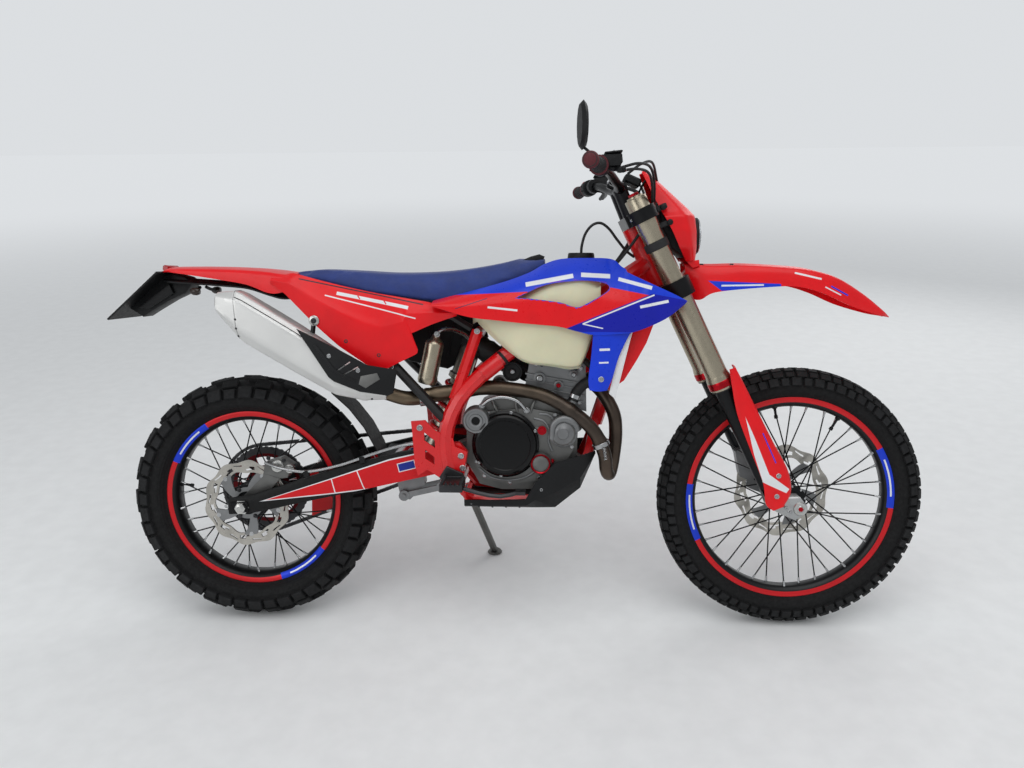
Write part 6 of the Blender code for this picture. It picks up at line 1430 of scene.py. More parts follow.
def makeShroud(side, word, sticker):
    # rows between the upper and lower edges, s being the share of the way down; the reach sideways is the
    # half width x (1 - roll x (1 - s)^3.6 - 0.03 s + 0.17 x share ahead of x 0.95) and a bell-shaped crease
    upper, lower = resample(shroudShape["upper"], 120), resample(shroudShape["lower"], 120)
    t = np.linspace(0, 1, 44)[None, :, None]
    flat = upper[:, None] * (1 - t) + lower[:, None] * t
    s, x = t[..., 0], flat[..., 0]
    rolled = np.interp(x, shroudShape["rollAt"], shroudShape["roll"])
    bulge = 1.0 - rolled * (1 - s) ** 3.6 - 0.03 * s + 0.17 * np.maximum(0, (x - 0.95) / 0.2)
    crease = 0.014 * np.exp(
        -((s - 0.52) / 0.1) ** 2
    ) * np.clip((x - 0.55) / 0.1, 0, 1) * np.clip((1.14 - x) / 0.1, 0, 1)
    lift = 0.006 * (1 - s) ** 2 * (rolled > 0.3)
    grid = np.stack([x, side * shroudShape["halfWidth"] * (bulge + crease * 0.4), flat[..., 1] + lift], -1)
    points, faces, inside = shellOf(grid if side < 0 else grid[:, ::-1], -shroudShape["thickness"])
    piece = addPiece(
        "shroud" + word, points, faces, sticker, "frame", "shroud_" + word.lower(),
        {"inner": decideInside(points, inside)}, smooth=50
    )
    cutWindow(piece, side)
    # the lower leg beside the radiator, folded forward along its front edge
    legRows = np.array([
        [(0.936, 0.826), (0.985, 0.828), (1.04, 0.836)], [(0.934, 0.79), (0.975, 0.792), (1.02, 0.8)],
        [(0.93, 0.745), (0.968, 0.748), (1.0, 0.754)],
        [(0.925, 0.7), (0.955, 0.702), (0.986, 0.704)], [(0.928, 0.671), (0.95, 0.669), (0.972, 0.671)],
    ])
    legFlat = resample(resample(legRows, 40).transpose(1, 0, 2), 16).transpose(1, 0, 2)
    bow = 0.004 * np.sin(np.linspace(0, np.pi, 16))[None, :]
    grid = np.stack([legFlat[..., 0], side * (0.1545 + bow + 0 * legFlat[..., 0]), legFlat[..., 1]], -1)
    points, faces, inside = shellOf(grid, -0.003 * side)
    addPiece(
        "shroudLeg" + word, points, faces, sticker, "frame", (), {"inner": decideInside(points, inside)},
        smooth=50
    )
    addSideBolts("shroudLegBolt" + word, side * 0.1585, [(0.957, 0.7)], 0.0072, 0.005, polishedSteel)
    edge = [(1.006, 0.79), (1.036, 0.822), (1.03, 0.8), (0.994, 0.648), (0.978, 0.662)]
    fin = [
        (0.99, 0.735), (1.03, 0.805), (1.07, 0.846), (1.092, 0.84), (1.074, 0.79), (1.05, 0.745),
        (1.018, 0.692), (1.004, 0.682), (0.994, 0.7),
    ]
    addPlate("shroudEdge" + word, edge, side * 0.1465, 0.003, plateWhite)
    addPlate("shroudFin" + word, fin, side * 0.118, 0.003, redPlastic)


def decideInside(points, inside):
    # whichever of the two walls lies nearer the middle is the inner one
    reach = np.abs(points[:, 1])
    first, second = reach[inside < 0.5].mean(), reach[inside > 0.5].mean()
    return inside if second < first else 1 - inside


def cutWindow(piece, side):
    cutter = addPlate(
        "windowCutter", resample(shroudShape["window"] + shroudShape["window"][:1], 60)[:-1].tolist(),
        side * 0.15, 0.09, redPlastic, "frame", bevel=0.0001
    )
    opening = piece.modifiers.new("opening", "BOOLEAN")
    opening.operation, opening.solver, opening.object = "DIFFERENCE", "EXACT", cutter
    bpy.context.view_layer.update()
    applyModifiers(piece)
    piece.data.materials.clear()
    piece.data.materials.append(bpy.data.materials["shroudStickers"])
    piece.data.set_sharp_from_angle(angle=math.radians(50))
    bpy.data.objects.remove(cutter)


def shroudStickers():
    # red moulding under vinyl: royal blue along the top, red along the flank, deep blue at the nose
    return stickerMaterial("shroudStickers", blueHex, 0.3, [
        (deepBlueHex, [(0.799, 0.8), (1.2, 0.8), (1.2, 0.893), (1.078, 0.916)]),
        (blueHex, [(0.9, 0.64), (1.06, 0.64), (1.06, 0.82), (0.9, 0.82)]),
        (redHex, [(0.5, 0.907), (0.5, 0.78), (0.751, 0.78), (1.071, 0.9125), (0.978, 0.931)]),
        (whiteHex, lineArea((0.765, 0.938), (0.885, 0.96), 0.011)),
        (whiteHex, lineArea((0.905, 0.9625), (0.978, 0.9585), 0.011)),
        (whiteHex, lineArea((0.998, 0.952), (1.078, 0.93), 0.009)),
        (whiteHex, lineArea((0.909, 0.84), (1.084, 0.913), 0.0034)),
        (whiteHex, lineArea((0.909, 0.84), (0.96, 0.829), 0.0026)),
        (whiteHex, lineArea((1.05, 0.883), (1.118, 0.898), 0.007)),
        (whiteHex, lineArea((0.67, 0.882), (0.745, 0.874), 0.005)),
        ("#20284E", lineArea((0.588, 0.878), (0.668, 0.904), 0.0018)),
        (whiteHex, lineArea((0.952, 0.775), (0.978, 0.776), 0.006)),
        (whiteHex, lineArea((0.951, 0.742), (0.975, 0.743), 0.004)),
    ], redHex)


panelShape = {  # edges from rear to front; "across" is (share of the way down, lean sideways)
    "upper": [
        (0.104, 0.957), (0.16, 0.966), (0.231, 0.948), (0.29, 0.934), (0.345, 0.922), (0.385, 0.914),
        (0.42, 0.908), (0.45, 0.902), (0.512, 0.891), (0.589, 0.866)
    ],
    "lower": [
        (0.1, 0.942), (0.141, 0.915), (0.219, 0.835), (0.28, 0.78), (0.352, 0.731), (0.396, 0.718),
        (0.486, 0.762), (0.466, 0.812), (0.52, 0.836), (0.587, 0.861)
    ],
    "across": [(0.0, -0.0165), (0.1, -0.011), (0.34, 0.0), (0.44, 0.0055), (0.5, 0.005), (1.0, -0.0005)],
    "line": 0.1225, "thickness": 0.0034,
}


def makeSidePanel(side, word, sticker):
    # straight lines between the two edges; the reach sideways is the panel's line + a lean looked up by the
    # share of the way down - 0.020 x (1 - three times the share of the length, at most 1)^2
    upper, lower = straight(panelShape["upper"], 109, 1), straight(panelShape["lower"], 109, 1)
    t = np.linspace(0, 1, 50)[None, :, None]
    flat = upper[:, None] * (1 - t) + lower[:, None] * t
    share, lean = np.array(panelShape["across"]).T
    along = np.linspace(0, 1, 109)[:, None]
    y = panelShape["line"] + np.interp(t[..., 0], share, lean) - 0.02 * (1 - np.clip(along * 3, 0, 1)) ** 2
    grid = np.stack([flat[..., 0], side * (y + 0 * flat[..., 0]), flat[..., 1]], -1)
    points, faces, inside = shellOf(grid, -panelShape["thickness"] * side)
    addPiece(
        "sidePanel" + word, points, faces, sticker, "frame", "side_panel_" + word.lower(),
        {"inner": decideInside(points, inside)}, smooth=24
    )
    spots = [(0.384, 0.757), (0.299, 0.793)]
    addSideBolts("panelBolts" + word, side * (panelShape["line"] + 0.0015), spots, 0.008, 0.004, darkSteel)


def panelStickersAndSeatShadow():
    # red moulding with white stripes, and one slim dark line just below the seat's lower edge, which is
    # painted shadow of the seat
    return stickerMaterial("sidePanelStickersAndSeatShadow", redHex, 0.32, [
        # painted shadow: a navy-black line along the seat's lower edge
        ("#161A2C", lineArea((0.176, 0.9535), (0.5, 0.887), 0.003)),
        (whiteHex, lineArea((0.276, 0.9165), (0.462, 0.879), 0.0085)),
        (redHex, lineArea((0.33, 0.91), (0.336, 0.901), 0.003)),
        (redHex, lineArea((0.398, 0.897), (0.404, 0.888), 0.003)),
        (whiteHex, lineArea((0.246, 0.9115), (0.482, 0.852), 0.003)),
    ], redHex)


tailShape = {  # x, top, width share, depth of the side skirt
    "rows": [
        (-0.216, 0.976, 0.42, 0.005), (-0.19, 0.981, 0.62, 0.01), (-0.12, 0.982, 0.7, 0.02),
        (-0.047, 0.981, 0.76, 0.03), (0.03, 0.978, 0.86, 0.04), (0.09, 0.973, 0.97, 0.056),
        (0.128, 0.968, 1.04, 0.05), (0.16, 0.965, 1.04, 0.03),
    ],
    "halfWidth": 0.105,
}


def makeTail():
    # rows across a thin shell, turned down at both edges into skirts that deepen towards the seat
    rows = []
    for x, z, w, skirt in tailShape["rows"]:
        y = w * tailShape["halfWidth"]
        rows.append(mirroredRow([
            (x, -y, z - skirt), (x, -y, z - skirt * 0.55), (x, -y * 0.97, z - 0.006),
            (x, -y * 0.82, z - 0.001), (x, -y * 0.4, z + 0.003), (x, 0, z + 0.004),
        ]))
    points, faces, inside = shellOf(smoothGrid(rows, 60, 49), 0.003)
    addPiece("rearFender", points, faces, redPlastic, "frame", "rear_fender", {"inner": inside}, smooth=55)
    # black undertray below it, deeper where it carries the plate holder
    belly = [-0.012, -0.02, -0.026, -0.03, -0.034, -0.046, -0.05, -0.046]
    under = np.array(
        [
            [
                (x, y * w * 0.098, z - 0.004 + drop - 0.01 * abs(y)) for y in np.linspace(-1, 1, 9)
            ] for (x, z, w, _),
            drop in zip(tailShape["rows"], belly)
        ]
    )
    points, faces, inside = shellOf(smoothGrid(under, 50, 33), 0.004)
    addPiece("tailUndertray", points, faces, blackPlastic, "frame", smooth=55)


def makePlateHolder():
    # moulded wedge under the tail and a slanted blank plate with a pale edge
    arm = [
        (-0.196, 0.968), (-0.222, 0.962), (-0.3, 0.894), (-0.318, 0.872), (-0.284, 0.85), (-0.258, 0.866),
        (-0.205, 0.896), (-0.16, 0.916), (-0.14, 0.944), (-0.16, 0.958)
    ]
    addPlate("plateArm", arm, 0, 0.062, blackPlastic, bevel=0.004, replaces="plate_holder")
    addPlate(
        "plateArmRib", [(-0.2, 0.94), (-0.29, 0.876), (-0.262, 0.872), (-0.19, 0.915)], 0, 0.086,
        blackPlastic, bevel=0.003
    )
    start, end = np.array([-0.208, 0, 0.972]), np.array([-0.352, 0, 0.846])
    along = (end - start) / np.linalg.norm(end - start)
    outward = np.cross(along, acrossAxis)
    outward = outward if outward[2] > 0 else -outward
    for name, half, length, lift, thick, material in (
        ("plateBacking", 0.09, 0.19, 0.0, 0.005, blackPlastic),
        ("numberPlate", 0.087, 0.184, 0.0035, 0.0018, plateWhite)
    ):
        points, faces = blockForm((length, half * 2, thick), min(0.0007, thick / 3))
        turn = np.stack([along, acrossAxis, outward], -1)
        addPiece(
            name, points @ turn.T + (start + end) / 2 + outward * lift, oriented(points @ turn.T, faces),
            material, "frame", weld=True, smooth=30
        )
    addBlock("tailLamp", (0.018, 0.064, 0.016), (-0.212, 0, 0.9815), tailLens, "frame", -8, 0.003)
    for side, word in ((-1, "R"), (1, "L")):
        addTube(
            "indicatorStalk" + word,
            [(-0.125, side * 0.02, 0.93), (-0.122, side * 0.04, 0.924), (-0.118, side * 0.06, 0.921)],
            0.0045, hoseRubber, "frame", 10, 10
        )
        lamp = [(0, -0.014), (0.006, -0.013), (0.01, -0.006), (0.0105, 0.004), (0.008, 0.011), (0, 0.013)]
        addTurned("indicator" + word, lamp, (-0.116, side * 0.07, 0.92), (1, 0, 0), 20, smokedLens)


makeFrontFender()
makeHeadlightMask()
makeTank()
stickers = shroudStickers()
for side, word in bothHands:
    makeShroud(side, word, stickers)
panel = panelStickersAndSeatShadow()
for side, word in bothHands:
    makeSidePanel(side, word, panel)
makeTail()
makePlateHolder()
makeSeat()
addPlate(
    "seatStrap",
    [
        (0.69, 0.983), (0.735, 0.993), (0.775, 1.01), (0.798, 1.016), (0.812, 1.01), (0.806, 0.998),
        (0.7, 0.977)
    ],
    0, 0.058, blackPlastic, bevel=0.003
)
print("bodywork ready")


# Exhaust.

silencerShape = {  # edges from outlet to inlet, shares of the half width, and the middle's place sideways
    "top": [
        (-0.033, 0.908), (-0.028, 0.92), (0.016, 0.924), (0.024, 0.922), (0.041, 0.915), (0.11, 0.874),
        (0.177, 0.833), (0.266, 0.773), (0.345, 0.722), (0.405, 0.686)
    ],
    "bottom": [
        (-0.036, 0.88), (-0.032, 0.866), (0.024, 0.802), (0.029, 0.797), (0.04, 0.788), (0.095, 0.756),
        (0.16, 0.718), (0.273, 0.654), (0.345, 0.64), (0.402, 0.641)
    ],
    "width": [0.62, 0.78, 0.97, 1.0, 1.0, 1.0, 1.0, 1.0, 0.8, 0.46],
    "line": -0.12, "halfWidth": 0.045,
}


silencerSection = [  # across and up, as shares: flat sides, a bevel above and a deeper one below
    (0.0, 1.0), (0.48, 1.0), (0.62, 0.96), (0.96, 0.7), (1.0, 0.62), (1.0, -0.46), (0.96, -0.56),
    (0.62, -0.95), (0.48, -1.0), (0.0, -1.0), (-0.48, -1.0), (-0.62, -0.95), (-0.96, -0.56), (-1.0, -0.46),
    (-1.0, 0.62), (-0.96, 0.7), (-0.62, 0.96), (-0.48, 1.0), (0.0, 1.0),
]


def silencerAt(t, turn, grow=0.0):
    # the section scaled between the top and bottom edges at shares t of the length; turn runs 0 to 1 round it
    top, bottom = (np.array(silencerShape[k], float) for k in ("top", "bottom"))
    pick = lambda rows: np.stack(
        [np.interp(t, np.linspace(0, 1, 300), straight(rows, 300, 2)[:, k]) for k in range(rows.shape[1])],
        -1
    )
    high, low = pick(top), pick(bottom)
    wide = pick(np.array(silencerShape["width"])[:, None])[..., 0] * silencerShape["halfWidth"] + grow
    section = np.array(silencerSection)
    across, up = (np.interp(turn, np.linspace(0, 1, len(section)), section[:, k]) for k in (0, 1))
    middle, rise = (high + low) / 2, (high - low) / 2
    rise = rise * (1 + grow / np.linalg.norm(rise, axis=-1, keepdims=True))
    flat = middle[:, None] + rise[:, None] * up[None, :, None]
    return np.stack([flat[..., 0], silencerShape["line"] - wide[:, None] * across[None], flat[..., 1]], -1)


def makeSilencer():
    # the section carried from outlet to inlet, with bands round it, a folded seam on both bevels and rivets
    turn = np.linspace(0, 1, 91)[:-1]
    points, faces = closedLoft(silencerAt(np.linspace(0, 1, 150), turn))
    addPiece("silencer", points, faces, satinAluminium, "frame", "silencer", weld=True, smooth=24)
    bands = (
        ("silencerSeam", 0.262, 0.268, 0.0007, darkSteel),
        ("silencerFrontBand", 0.88, 0.905, 0.0012, satinAluminium)
    )
    for name, low, high, grow, material in bands:
        edges = ((low, -0.001), (low, grow), (high, grow), (high, -0.001))
        points = np.concatenate([silencerAt(np.array([t]), turn, g) for t, g in edges]).reshape(-1, 3)
        faces = oriented(points, gridFaces(4, 90, wrapRows=True, wrapColumns=True))
        addPiece(name, points, faces, material, "frame", smooth=24)
    for word, at in (("Right", 0.155), ("Left", 0.845)):
        seam = silencerAt(np.linspace(0.3, 0.8, 60), np.array([at]), 0.0004)[:, 0]
        points, faces, _ = tubeOf(seam, 0.0011, 8)
        addPiece("silencerFold" + word, points, faces, darkSteel, "frame", weld=True)
    rivetRows = ((0.29, [0.262, 0.315, 0.375, 0.625, 0.685, 0.738]), (0.93, [0.27, 0.38, 0.62, 0.73]))
    centres = np.concatenate([silencerAt(np.array([t]), np.array(turns))[0] for t, turns in rivetRows])
    out = np.where(centres[:, 1:2] < silencerShape["line"], -acrossAxis, acrossAxis)
    rivet = upright([(0, -0.001), (0.003, -0.001), (0.003, 0.0008), (0.002, 0.002), (0, 0.0024)], 12)
    addCopies("silencerRivets", rivet, centres, framesAlong(out), darkSteel)
    rear = silencerAt(np.array([0.0]), turn)[0].mean(0)
    outlet = [(0, -0.004), (0.0105, -0.004), (0.011, 0.0035), (0.0135, 0.0035), (0.014, -0.006), (0, -0.006)]
    addTurned("silencerOutlet", outlet, rear, np.array([-0.98, 0, 0.18]), 28, darkSteel)
    # hanger eye, and the guard with its raised panel, rib and bolts
    eye = [(0, -0.03), (0.013, -0.03), (0.0145, -0.008), (0.0135, 0.003), (0.009, 0.005), (0, 0.005)]
    slits = [lineArea((0.285, 0.721), (0.319, 0.744), 0.0028), lineArea((0.3, 0.71), (0.339, 0.731), 0.0028)]
    outline = [
        (0.183, 0.828), (0.262, 0.704), (0.276, 0.693), (0.342, 0.667), (0.414, 0.657), (0.428, 0.664),
        (0.439, 0.724), (0.362, 0.736), (0.3, 0.77), (0.236, 0.802),
    ]
    panel = [(0.34, 0.687), (0.358, 0.677), (0.395, 0.7), (0.388, 0.716), (0.346, 0.708)]
    rib = [
        (0.226, 0.786), (0.272, 0.722), (0.3, 0.704), (0.33, 0.694), (0.332, 0.698), (0.304, 0.71),
        (0.278, 0.728), (0.234, 0.788),
    ]
    addPlate(
        "silencerGuard", outline, -0.169, 0.0055, blackPlastic, "frame", slits, 0.0016,
        replaces="silencer_guard"
    )
    addFittings(
        turned=[("silencerEye", eye, (0.217, -0.126, 0.846), 28, machinedAluminium)],
        bolts=[
            ("silencerEyeBolt", -0.131, [(0.217, 0.846)], 0.0075, 0.005, darkSteel),
            ("silencerGuardBolts", -0.1718, [(0.265, 0.759), (0.339, 0.722)], 0.0055, 0.004, polishedSteel),
        ],
        plates=[
            ("silencerGuardPanel", panel, -0.1725, 0.0026, darkCast, 0.0008),
            ("silencerGuardRib", rib, -0.1722, 0.003, blackPlastic, 0.001),
        ],
    )


headerRoute = [
    (0.918, -0.0325, 0.69), (0.962, -0.035, 0.655), (0.996, -0.0525, 0.6), (1.004, -0.055, 0.545),
    (0.998, -0.0625, 0.48), (0.988, -0.0775, 0.438), (0.978, -0.095, 0.45), (0.97, -0.1075, 0.5),
    (0.94, -0.11, 0.56), (0.88, -0.105, 0.612), (0.809, -0.095, 0.649), (0.735, -0.085, 0.662),
    (0.65, -0.0775, 0.666), (0.59, -0.075, 0.656), (0.532, -0.0775, 0.649), (0.485, -0.08, 0.64),
    (0.445, -0.0975, 0.64), (0.4, -0.1162, 0.656),
]


def makeHeader():
    # round tube along its route, a little fuller behind the cylinder, ringed at its joints
    count = 160
    path = resample(headerRoute, count)
    t = np.linspace(0, 1, count)
    radius = 0.018 + 0.003 * np.exp(-((t - 0.8) / 0.14) ** 2)
    for at in (0.44, 0.53, 0.86):
        radius = radius + 0.0022 * np.exp(-((t - at) / 0.006) ** 2)
    points, faces, along = tubeOf(path, radius, 28)
    addPiece(
        "headerPipe", points, faces, heatedSteel, "frame", "header_pipe", {"along": along}, weld=True,
        smooth=50
    )
    tangent = np.gradient(path, axis=0)
    for name, at, size, width in (
        ("headerSlipRing", 0.435, 0.0235, 0.012), ("headerMidClamp", 0.885, 0.0245, 0.014)
    ):
        k, half, eased = int(at * (count - 1)), width / 2, width / 2 - 0.001
        ring = [
            (0.018, -half), (size - 0.001, -half), (size, -eased), (size, eased), (size - 0.001, half),
            (0.018, half)
        ]
        addTurned(name, ring + ring[:1], path[k], tangent[k], 32, polishedSteel)
    # retaining spring beside the slip joint: a helix of fine wire
    k = int(0.4 * (count - 1))
    turns, steps = 9, 180
    turn = np.linspace(0, 2 * np.pi * turns, steps)[:, None]
    axis = tangent[k] / np.linalg.norm(tangent[k])
    aside = np.cross(axis, acrossAxis)
    aside /= np.linalg.norm(aside)
    start = path[k] + np.array([0, -0.0255, 0])
    coil = start + axis * np.linspace(0, 0.034, steps)[:, None] + 0.0042 * (
        np.cos(turn) * aside + np.sin(turn) * acrossAxis
    )
    points, faces, _ = tubeOf(coil, 0.0009, 6)
    addPiece("headerSpring", points, faces, polishedSteel, "frame", weld=True)


makeSilencer()
makeHeader()
print("exhaust ready")


# Chassis and engine: eased copies of the solids, then their fittings.

def swingarmFinish():
    # black anodised beam with a printed red panel that narrows to the rear, edged in white
    return stickerMaterial("swingarmPrintedBlack", "#08090A", 0.66, [
        (whiteHex, [(0.05, 0.3605), (0.402, 0.4), (0.52, 0.429), (0.52, 0.503), (0.4, 0.477)]),
        ("#D4141C", [(0.066, 0.3645), (0.402, 0.4035), (0.52, 0.4325), (0.52, 0.5), (0.4, 0.4735)]),
        (whiteHex, lineArea((0.246, 0.425), (0.256, 0.384), 0.0026)),
        (whiteHex, lineArea((0.314, 0.448), (0.334, 0.393), 0.0026)),
        (whiteHex, lineArea((0.424, 0.453), (0.47, 0.464), 0.024)),
        ("#1A2F8F", lineArea((0.426, 0.4535), (0.468, 0.4635), 0.02)),
    ], None, 0.05)


def coverFinish():
    # grey cast cover, black round the clutch
    made, tree, shader = newMaterial("twoToneCastCover", {"Metallic": 0.7})
    outside = mathNode(tree, "GREATER_THAN", fromAxle(tree, engine["clutch"])[1], engine["clutchRadius"])
    finishSurface(
        tree, shader, mixColour(tree, outside, linearOf("#101113"), linearOf("#747472")), 0.42, (1.1, 0.2),
        0.12
    )
    return made


def lowersFinish():
    # hard black coating down the legs, bare machined metal at the feet
    made, tree, shader = newMaterial("blackCoatedLegs", {"Metallic": 0.8})
    place = attribute(tree, "place", "Vector")
    up = addNode(tree, "VectorMath", {1: tuple(forkUp)}, {0: place}, operation="DOT_PRODUCT").outputs["Value"]
    above = mathNode(
        tree, "GREATER_THAN", up, float(np.dot(machine["legFoot"], forkUp)) + machine["bareFoot"]
    )
    colour = mixColour(tree, above, linearOf("#B9BABA"), linearOf("#0E0E10"))
    finishSurface(tree, shader, colour, 0.3, (0.8, 0.06), 0.08)
    return made


engine = {"face": -0.0963, "clutch": (0.711, 0, 0.519), "clutchRadius": 0.088, "rearCaliperFace": 0.0953}
nodeFinishes = {
    "frame": (redPaint, 0.001), "subframe": (blackPaint, 0.0012), "swingarm": (swingarmFinish(), 0.002),
    "engine_cases": (darkCast, 0.0022),
    "cylinder": (castAluminium, 0.002), "right_engine_cover": (coverFinish(), 0.002),
    "left_engine_cover": (blackCast, 0.002), "throttle_body": (blackPlastic, 0.0015),
    "skid_plate": (blackPlastic, 0.001), "radiator_left": (radiatorCore, 0.0015),
    "radiator_right": (radiatorCore, 0.0015), "linkage": (castAluminium, 0.0012),
    "chain_guide": (redPlastic, 0.002), "rear_caliper": (darkCast, 0.003),
    "footpeg_left": (darkSteel, 0.0015), "footpeg_right": (darkSteel, 0.0015),
    "brake_pedal": (darkSteel, 0.0008), "gear_lever": (castAluminium, 0.0008),
    "side_stand": (standSteel, 0.001),
}
for node, (material, bevel) in nodeFinishes.items():
    dressNode(node, material, "side_stand" if node == "side_stand" else "frame", bevel)
for node, material, bevel in (
    ("yokes", blackAnodised, 0.0015), ("fork_lowers", lowersFinish(), 0.0012),
    ("front_caliper", castAluminium, 0.0025),
    ("controls_left", blackPlastic, 0.0012), ("controls_right", blackPlastic, 0.0012),
    ("mirror", blackPlastic, 0.001),
):
    dressNode(node, material, "steering", bevel)
print("solids dressed")


def makeEngineFittings():
    # each cover is a profile of (radius, height) turned about a line sideways
    # right side: clutch, starter gear, water pump and oil filter covers
    clutch = [
        (0.089, 0.0), (0.089, 0.012), (0.086, 0.0145), (0.0835, 0.016), (0.0825, 0.025), (0.078, 0.0295),
        (0.071, 0.0315), (0.067, 0.0315), (0.065, 0.0295), (0.04, 0.0305), (0.0, 0.031),
    ]
    starter = [
        (0.0, 0.029), (0.0105, 0.029), (0.0115, 0.037), (0.0175, 0.038), (0.0185, 0.034), (0.026, 0.034),
        (0.027, 0.037), (0.032, 0.037), (0.036, 0.031), (0.037, 0.0), (0, 0),
    ]
    starterBore = [(0, 0.0295), (0.0104, 0.0295), (0.0104, 0.0285), (0, 0.0285)]
    pump = [(0, 0.03), (0.014, 0.03), (0.018, 0.026), (0.03, 0.024), (0.038, 0.018), (0.038, 0.0), (0, 0)]
    filterCap = [
        (0, 0.031), (0.016, 0.031), (0.02, 0.028), (0.026, 0.027), (0.029, 0.022), (0.029, 0), (0, 0)
    ]
    filterRing = [(0.0215, 0.028), (0.0245, 0.0305), (0.0265, 0.028), (0.0215, 0.0265)]
    # left side: domed ignition cover with a stepped rim, sprocket and output shaft
    dome = [
        (0.072, 0.0), (0.072, 0.01), (0.067, 0.016), (0.066, 0.026), (0.061, 0.03), (0.04, 0.031),
        (0.036, 0.028), (0, 0.028),
    ]
    sprocket = [(0.008, -0.003), (0.036, -0.003), (0.036, 0.003), (0.008, 0.003), (0.008, -0.003)]
    shaft = [(0, -0.014), (0.012, -0.014), (0.012, 0.008), (0.009, 0.01), (0, 0.01)]
    cx, _, cz = engine["clutch"]
    face = engine["face"]
    raised, sunk = face + 0.004, face + 0.01
    ignition, output = (0.772, 0.0855, 0.497), (0.642, 0.085, 0.497)
    turned = [
        ("clutchCover", clutch, (cx, raised, cz), 72, glossBlack),
        ("starterGearCover", starter, (0.634, sunk, 0.584), 40, castAluminium),
        ("starterGearBore", starterBore, (0.634, sunk, 0.584), 24, glossBlack),
        ("waterPumpCover", pump, (0.862, raised, 0.551), 40, castAluminium),
        ("oilFilterCover", filterCap, (0.804, raised, 0.47), 36, darkCast),
        ("oilFilterRing", filterRing, (0.804, face + 0.003, 0.47), 36, redAnodised),
        ("ignitionCover", dome, ignition, 64, blackCast),
        ("frontSprocket", sprocket, output, 26, darkSteel),
        ("outputShaft", shaft, output, 20, polishedSteel),
    ]
    bosses = ((0.8, 0.69, 0.016), (0.85, 0.672, 0.013), (0.89, 0.7, 0.012))
    for index, (x, z, size) in enumerate(bosses):
        boss = [(0, 0.014), (size * 0.5, 0.014), (size * 0.62, 0.01), (size, 0.009), (size, 0), (0, 0)]
        turned.append(("cylinderBoss%d" % index, boss, (x, -0.0605, z), 24, castAluminium))
    for index, (x, z, size) in enumerate(((0.807, 0.556, 0.012), (0.834, 0.474, 0.006))):
        plug = [(0, 0.01), (size * 0.6, 0.01), (size * 0.65, 0.006), (size, 0.006), (size, 0), (0, 0)]
        turned.append(("enginePlug%d" % index, plug, (x, face - 0.001, z), 18, redAnodised))
    coverSpots = [
        (0.634, 0.47), (0.654, 0.432), (0.722, 0.414), (0.8, 0.427), (0.858, 0.458), (0.886, 0.512),
        (0.842, 0.597), (0.77, 0.608), (0.664, 0.6), (0.88, 0.585),
    ]
    bolts = [
        (
            "clutchCoverBolts", face - 0.008, around(cx, cz, 0.0845, [80, 25, 330, 262, 215, 150]), 0.0058,
            0.006, polishedSteel
        ),
        ("engineCoverBolts", face + 0.0005, coverSpots, 0.0058, 0.007, polishedSteel),
        (
            "headBolts", -0.0505, [(0.8, 0.78), (0.895, 0.778), (0.8, 0.742), (0.905, 0.735)], 0.0065,
            0.008, polishedSteel
        ),
        (
            "cylinderBolts", -0.0605, [(0.785, 0.64), (0.905, 0.625), (0.79, 0.728), (0.908, 0.716)], 0.007,
            0.008, polishedSteel
        ),
        (
            "ignitionCoverBolts", 0.098, around(0.772, 0.497, 0.0665, range(20, 380, 60)), 0.0055, 0.007,
            polishedSteel
        ),
    ]
    for index, (x, z, size) in enumerate(bosses):
        metal = redAnodised if index == 1 else polishedSteel
        bolts.append(("cylinderBossBolt%d" % index, -0.0745, [(x, z)], size * 0.45, 0.005, metal))
    # hoses, oil line, boot and cap; webs between the housings and ribs under the skid plate
    snail = [
        (0.832, -0.112, 0.536), (0.838, -0.114, 0.575), (0.862, -0.114, 0.59), (0.89, -0.11, 0.58),
        (0.9, -0.1, 0.56)
    ]
    outlet = [(0.872, -0.09, 0.575), (0.88, -0.078, 0.606), (0.892, -0.068, 0.64)]
    lowerHose = [(0.889, -0.07, 0.63), (0.9, -0.066, 0.656), (0.922, -0.07, 0.678), (0.95, -0.084, 0.69)]
    upperHose = [
        (0.76, -0.066, 0.76), (0.81, -0.078, 0.782), (0.87, -0.078, 0.776), (0.915, -0.072, 0.742),
        (0.94, -0.08, 0.72),
    ]
    plugCap = [(0.85, -0.052, 0.765), (0.852, -0.072, 0.772), (0.856, -0.08, 0.79)]
    oilLine = [
        (0.648, -0.106, 0.622), (0.672, -0.112, 0.64), (0.706, -0.113, 0.646), (0.742, -0.112, 0.636),
        (0.765, -0.11, 0.612),
    ]
    boot = [(0.69, -0.001, 0.735), (0.72, -0.001, 0.722), (0.752, -0.001, 0.708), (0.785, -0.001, 0.695)]
    bootFolds = [0.03, 0.031, 0.028, 0.031, 0.028, 0.031, 0.028, 0.03, 0.03, 0.028]
    tubes = [
        ("waterPumpSnail", snail, np.linspace(0.008, 0.0125, 30), castAluminium, 30, 18),
        ("waterPumpOutlet", outlet, 0.012, castAluminium, 16, 20),
        ("radiatorHose", lowerHose, 0.014, hoseRubber, 20, 20),
        ("upperHose", upperHose, 0.0085, hoseRubber, 30, 16),
        ("sparkPlugCap", plugCap, 0.0095, blackPlastic, 12, 16),
        ("oilLine", oilLine, 0.0046, polishedSteel, 30, 12),
        ("throttleBoot", boot, bootFolds, hoseRubber, 10, 24),
    ]
    webs = (
        ((0.79, 0.56), (0.832, 0.56)), ((0.775, 0.602), (0.79, 0.64)), ((0.742, 0.604), (0.735, 0.64)),
        ((0.69, 0.604), (0.675, 0.632)),
    )
    for index, ((x0, z0), (x1, z1)) in enumerate(webs):
        web = [(x0, face + 0.002, z0), ((x0 + x1) / 2, face + 0.002, (z0 + z1) / 2), (x1, sunk, z1)]
        tubes.append(("engineWeb%d" % index, web, 0.0045, darkCast, 8, 10))
